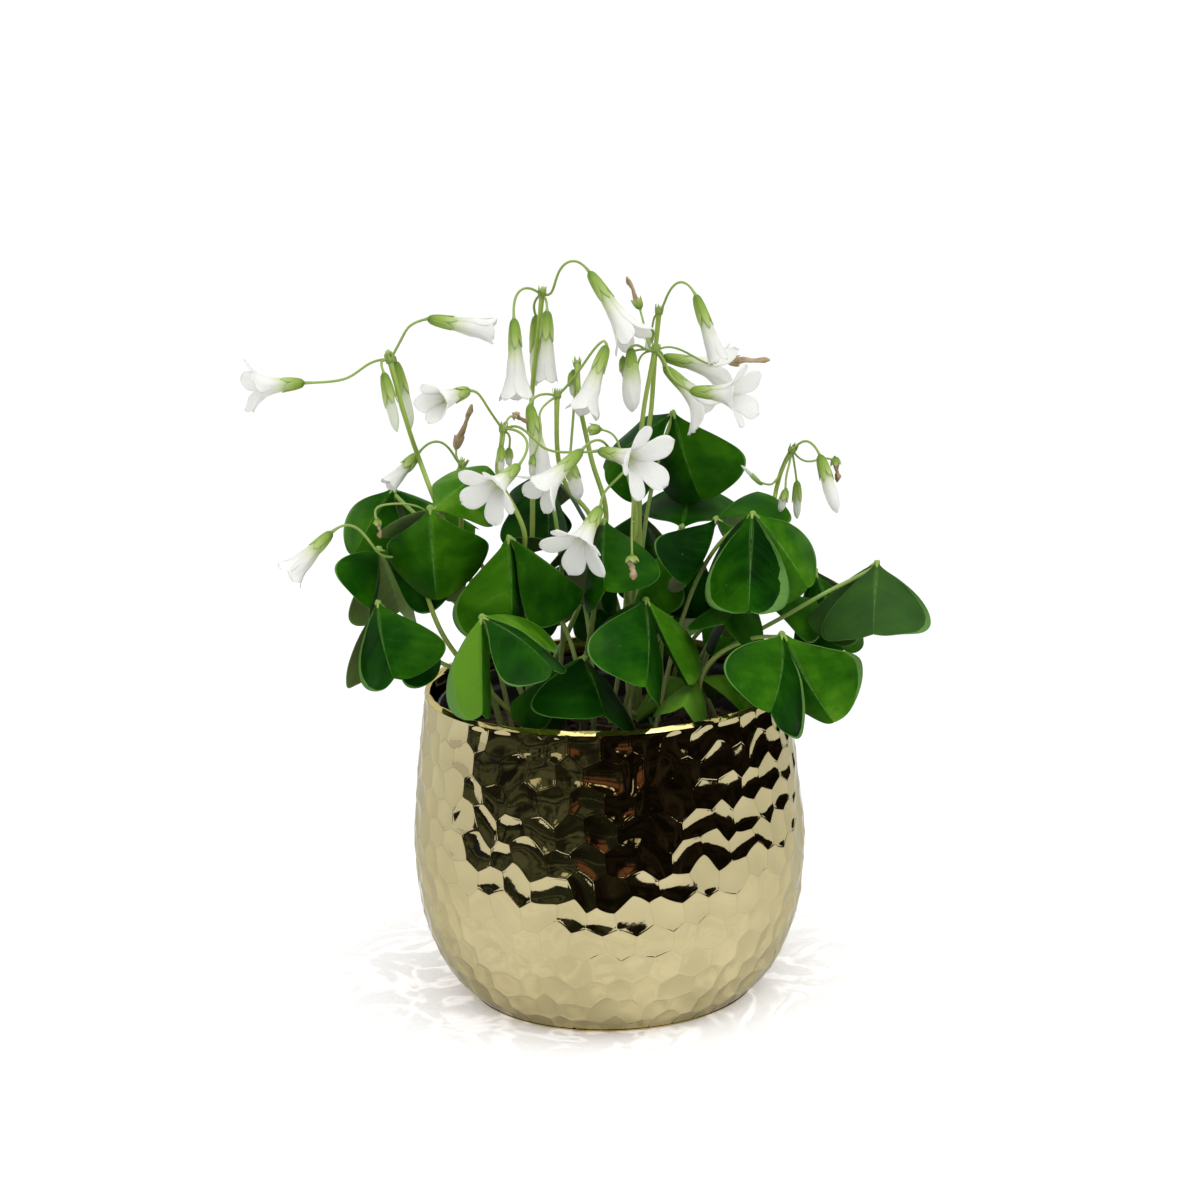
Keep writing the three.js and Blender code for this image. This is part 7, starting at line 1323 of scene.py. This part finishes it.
# ---------------------------------------------------------------- studio
def studio():
    e, roll = math.radians(13.45), math.radians(-1.78)
    D, T = 0.751, np.array([-0.0006, 0.0, 0.1245])
    fw = np.array([0, math.cos(e), -math.sin(e)])
    C = T - D * fw
    right = np.array([1.0, 0, 0])
    up = np.cross(right, fw)
    r2 = math.cos(roll) * right + math.sin(roll) * up
    u2 = -math.sin(roll) * right + math.cos(roll) * up
    cam = bpy.data.cameras.new("camera")
    cam.lens, cam.sensor_width = 72.45, 36.0
    cam.clip_start, cam.clip_end = 0.01, 50
    ob = bpy.data.objects.new("camera", cam)
    bpy.context.scene.collection.objects.link(ob)
    from mathutils import Matrix
    ob.matrix_world = Matrix([[r2[0], u2[0], -fw[0], C[0]], [r2[1], u2[1], -fw[1], C[1]], [r2[2], u2[2], -fw[2], C[2]], [0, 0, 0, 1]])
    bpy.context.scene.camera = ob

    # pale floor, running up into a pale backdrop far behind; the faint light patches near the pot are painted light:
    # emission streaks like caustics from the glaze, and a painted fill that lightens the shadow round the foot
    N = Nodes("floor")
    P = N.obj()
    n1 = N.noise(P, 9.0, 3.0)
    c = N.mix(N.ramp(n1, 0.3, 0.7), (0.86, 0.86, 0.865), (0.88, 0.88, 0.88))
    p = N.n("ShaderNodeBsdfPrincipled")
    N.put(p.inputs["Base Color"], c)
    p.inputs["Roughness"].default_value = 0.6
    p.inputs["Specular IOR Level"].default_value = 0.1
    near = N.n("ShaderNodeVectorMath", operation="LENGTH")
    N.put(near.inputs[0], P)
    near = near.outputs["Value"]
    # painted light: glowing streaks near the pot, like caustics from the glaze
    v = N.noise(P, 34.0, 3.0, 0.6, 1.2)
    painted_caustic = N.ramp(N.math("ABSOLUTE", N.math("SUBTRACT", v, 0.5)), 0.0, 0.075, 1.0, 0.0)
    painted_caustic = N.math("MULTIPLY", painted_caustic, N.ramp(near, 0.05, 0.20, 1.0, 0.0))
    painted_floor_light = N.math("MULTIPLY", painted_caustic, PAINTED_CAUSTIC_GLOW)
    # painted light: a glowing fill near the foot that lightens the pot's shadow
    painted_floor_light = N.math("ADD", painted_floor_light, N.ramp(near, 0.05, 0.32, 0.17, 0.0))
    p.inputs["Emission Color"].default_value = (1.0, 0.93, 0.90, 1)
    N.put(p.inputs["Emission Strength"], painted_floor_light)
    N.put(N.out.inputs[0], p.outputs[0])
    me = bpy.data.meshes.new("floor")
    s, back = 12.0, 5.0
    fv = [(-s, -s, -0.00005), (s, -s, -0.00005)]
    for i in range(13):
        t = 0.5 * PI * i / 12
        fv += [(-s, back + 1.5 * math.sin(t), 1.5 - 1.5 * math.cos(t) - 0.00005), (s, back + 1.5 * math.sin(t), 1.5 - 1.5 * math.cos(t) - 0.00005)]
    fv += [(-s, back + 1.5, 6.0), (s, back + 1.5, 6.0)]
    ff = [(2 * i, 2 * i + 1, 2 * i + 3, 2 * i + 2) for i in range(len(fv) // 2 - 1)]
    me.from_pydata(fv, [], ff)
    me.polygons.foreach_set("use_smooth", [True] * len(ff))
    me.materials.append(N.mat)
    fl = bpy.data.objects.new("floor", me)
    bpy.context.scene.collection.objects.link(fl)

    # dark card low in front, out of the picture: a glowing painted reflection of the dark room in front of the pot,
    # with painted reflected patches and highlights; the glaze mirrors it, nothing else sees it
    N = Nodes("painted_reflection_card")
    P = N.obj()
    sp = N.n("ShaderNodeSeparateXYZ")
    N.put(sp.inputs[0], P)
    px = sp.outputs[0]
    az = N.math("MULTIPLY", N.math("ARCTAN2", px, N.math("MULTIPLY", sp.outputs[1], -1.0)), 180 / PI)
    el = N.math("MULTIPLY", sp.outputs[2], 60.0)             # about degrees above the floor

    def painted_reflection_patch(a0, a1, e0, e1, soft=1.2):
        m = N.math("MULTIPLY", N.ramp(az, a0 - soft, a0 + soft), N.ramp(az, a1 - soft, a1 + soft, 1.0, 0.0))
        return N.math("MULTIPLY", m, N.math("MULTIPLY", N.ramp(el, e0 - soft, e0 + soft), N.ramp(el, e1 - soft, e1 + soft, 1.0, 0.0)))
    # painted reflection of the room: blotches, lighter on the left than on the right
    blot = N.noise(P, 5.2, 2.0, 0.5, 0.5)
    fine = N.noise(P, 19.0, 2.0, 0.6, 0.5)
    side = N.ramp(az, -14.0, 0.0, 1.0, 0.0)                  # 1 on the left, 0 on the right
    dark = N.mix(side, (0.006, 0.0045, 0.003), (0.020, 0.021, 0.013))
    lit = N.mix(side, (0.017, 0.012, 0.0075), (0.105, 0.108, 0.068))
    c = N.mix(N.ramp(blot, 0.42, 0.62), dark, lit)
    c = N.mix(N.math("MULTIPLY", N.ramp(fine, 0.52, 0.66), 0.25), c, dark)
    # painted reflections of things in the room: dark, bluish, grey and copper-brown patches
    for (a0, a1, e0, e1), col, k in (
            ((-72, -70, -5, 30), (0.015, 0.020, 0.07), 0.7), ((-58, -52, -5, 40), (0.012, 0.012, 0.010), 0.8),
            ((-50, -38, 2, 9), (0.15, 0.15, 0.10), 0.7), ((-6.5, -1, 2.2, 5), (0.22, 0.095, 0.055), 0.6), ((-8.5, 1, 7, 11.5), (0.27, 0.105, 0.055), 0.75),
            ((-22, -16, 4, 20), (0.018, 0.015, 0.010), 0.8), ((24, 27, 0, 40), (0.045, 0.032, 0.022), 0.7), ((38, 43, 0, 40), (0.034, 0.025, 0.018), 0.7)):
        c = N.mix(N.math("MULTIPLY", painted_reflection_patch(a0, a1, e0, e1), k), c, col)
    # painted highlights: pale and bright patches, the last one brighter than white
    for (a0, a1, e0, e1), col in (((-38, -28, 10.5, 15.5), (0.85, 0.80, 0.62)), ((-60, -55, 15, 17.5), (0.6, 0.58, 0.45)), ((12, 15, 9, 15), (0.85, 0.76, 0.58)),
                                  ((33, 36, 14, 17), (0.8, 0.78, 0.7)), ((-1.2, 0.2, 13, 14.4), (2.6, 2.2, 1.3))):
        c = N.mix(painted_reflection_patch(a0, a1, e0, e1, 0.7), c, col)
    em = N.n("ShaderNodeEmission")
    N.put(em.inputs[0], c)
    N.put(N.out.inputs[0], em.outputs[0])
    b = []
    f = []
    seg = 54
    a0, a1 = math.radians(CARD[0]), math.radians(CARD[1])
    for i in range(seg + 1):
        t = a0 + (a1 - a0) * i / seg          # 0 is straight to the front, positive to the right
        near = np.interp(math.degrees(t), CARD_NEAR[0], CARD_NEAR[1])
        b.append((near * math.sin(t), -near * math.cos(t), 0.0006))
        b.append((0.9 * math.sin(t), -0.9 * math.cos(t), 0.004))
        b.append((0.95 * math.sin(t), -0.95 * math.cos(t), CARD[3]))
        if i:
            n = 3 * (i - 1)
            f += [(n, n + 1, n + 4, n + 3), (n + 1, n + 2, n + 5, n + 4)]
    me = bpy.data.meshes.new("painted_reflection_card")
    me.from_pydata(b, [], f)
    me.materials.append(N.mat)
    card = bpy.data.objects.new("painted_reflection_card", me)
    bpy.context.scene.collection.objects.link(card)
    card.visible_camera = card.visible_diffuse = card.visible_shadow = card.visible_transmission = False

    # soft lights: a large overhead disc, and a soft sun from the front right
    def area(name, loc, to, size, power, color=(1, 1, 1)):
        li = bpy.data.lights.new(name, "AREA")
        li.shape, li.size, li.energy, li.color = "DISK", size, power, color
        o = bpy.data.objects.new(name, li)
        bpy.context.scene.collection.objects.link(o)
        from mathutils import Vector
        d = Vector(to) - Vector(loc)
        o.location = loc
        o.rotation_euler = d.to_track_quat("-Z", "Y").to_euler()
        return o
    for args in LIGHTS:
        area(*args)
    for name, to, ang, power in SUNS:
        li = bpy.data.lights.new(name, "SUN")
        li.energy, li.angle = power, math.radians(ang)
        o = bpy.data.objects.new(name, li)
        bpy.context.scene.collection.objects.link(o)
        from mathutils import Vector
        o.rotation_euler = Vector(to).to_track_quat("-Z", "Y").to_euler()

    w = bpy.data.worlds.new("studio")
    bpy.context.scene.world = w
    w.use_nodes = True
    t = w.node_tree
    t.nodes.clear()
    bg = t.nodes.new("ShaderNodeBackground")
    out = t.nodes.new("ShaderNodeOutputWorld")
    bg.inputs[0].default_value = (1, 1, 1, 1)
    bg.inputs[1].default_value = WORLD
    t.links.new(bg.outputs[0], out.inputs[0])
    bpy.context.scene.view_settings.view_transform = "Standard"
    bpy.context.scene.view_settings.look = "None"
    bpy.context.scene.view_settings.exposure = 0.0


CARD = (-84.0, 132.0, 0.0, 0.9)
CARD_NEAR = ([-84, -60, -41, -24, -10, 8, 19, 35, 48, 60, 77, 103, 132], [0.30, 0.29, 0.245, 0.185, 0.155, 0.156, 0.190, 0.245, 0.32, 0.38, 0.41, 0.50, 0.40])
# strength of the painted caustic light on the floor
PAINTED_CAUSTIC_GLOW = 0.22
WORLD = 0.80
LIGHTS = [
    ("overhead", (0.15, -0.25, 1.1), (0, 0, 0.1), 0.7, 2.0),
]
SUNS = [("soft_sun", (-0.22, 0.42, -1.0), 75.0, 1.35)]
studio()
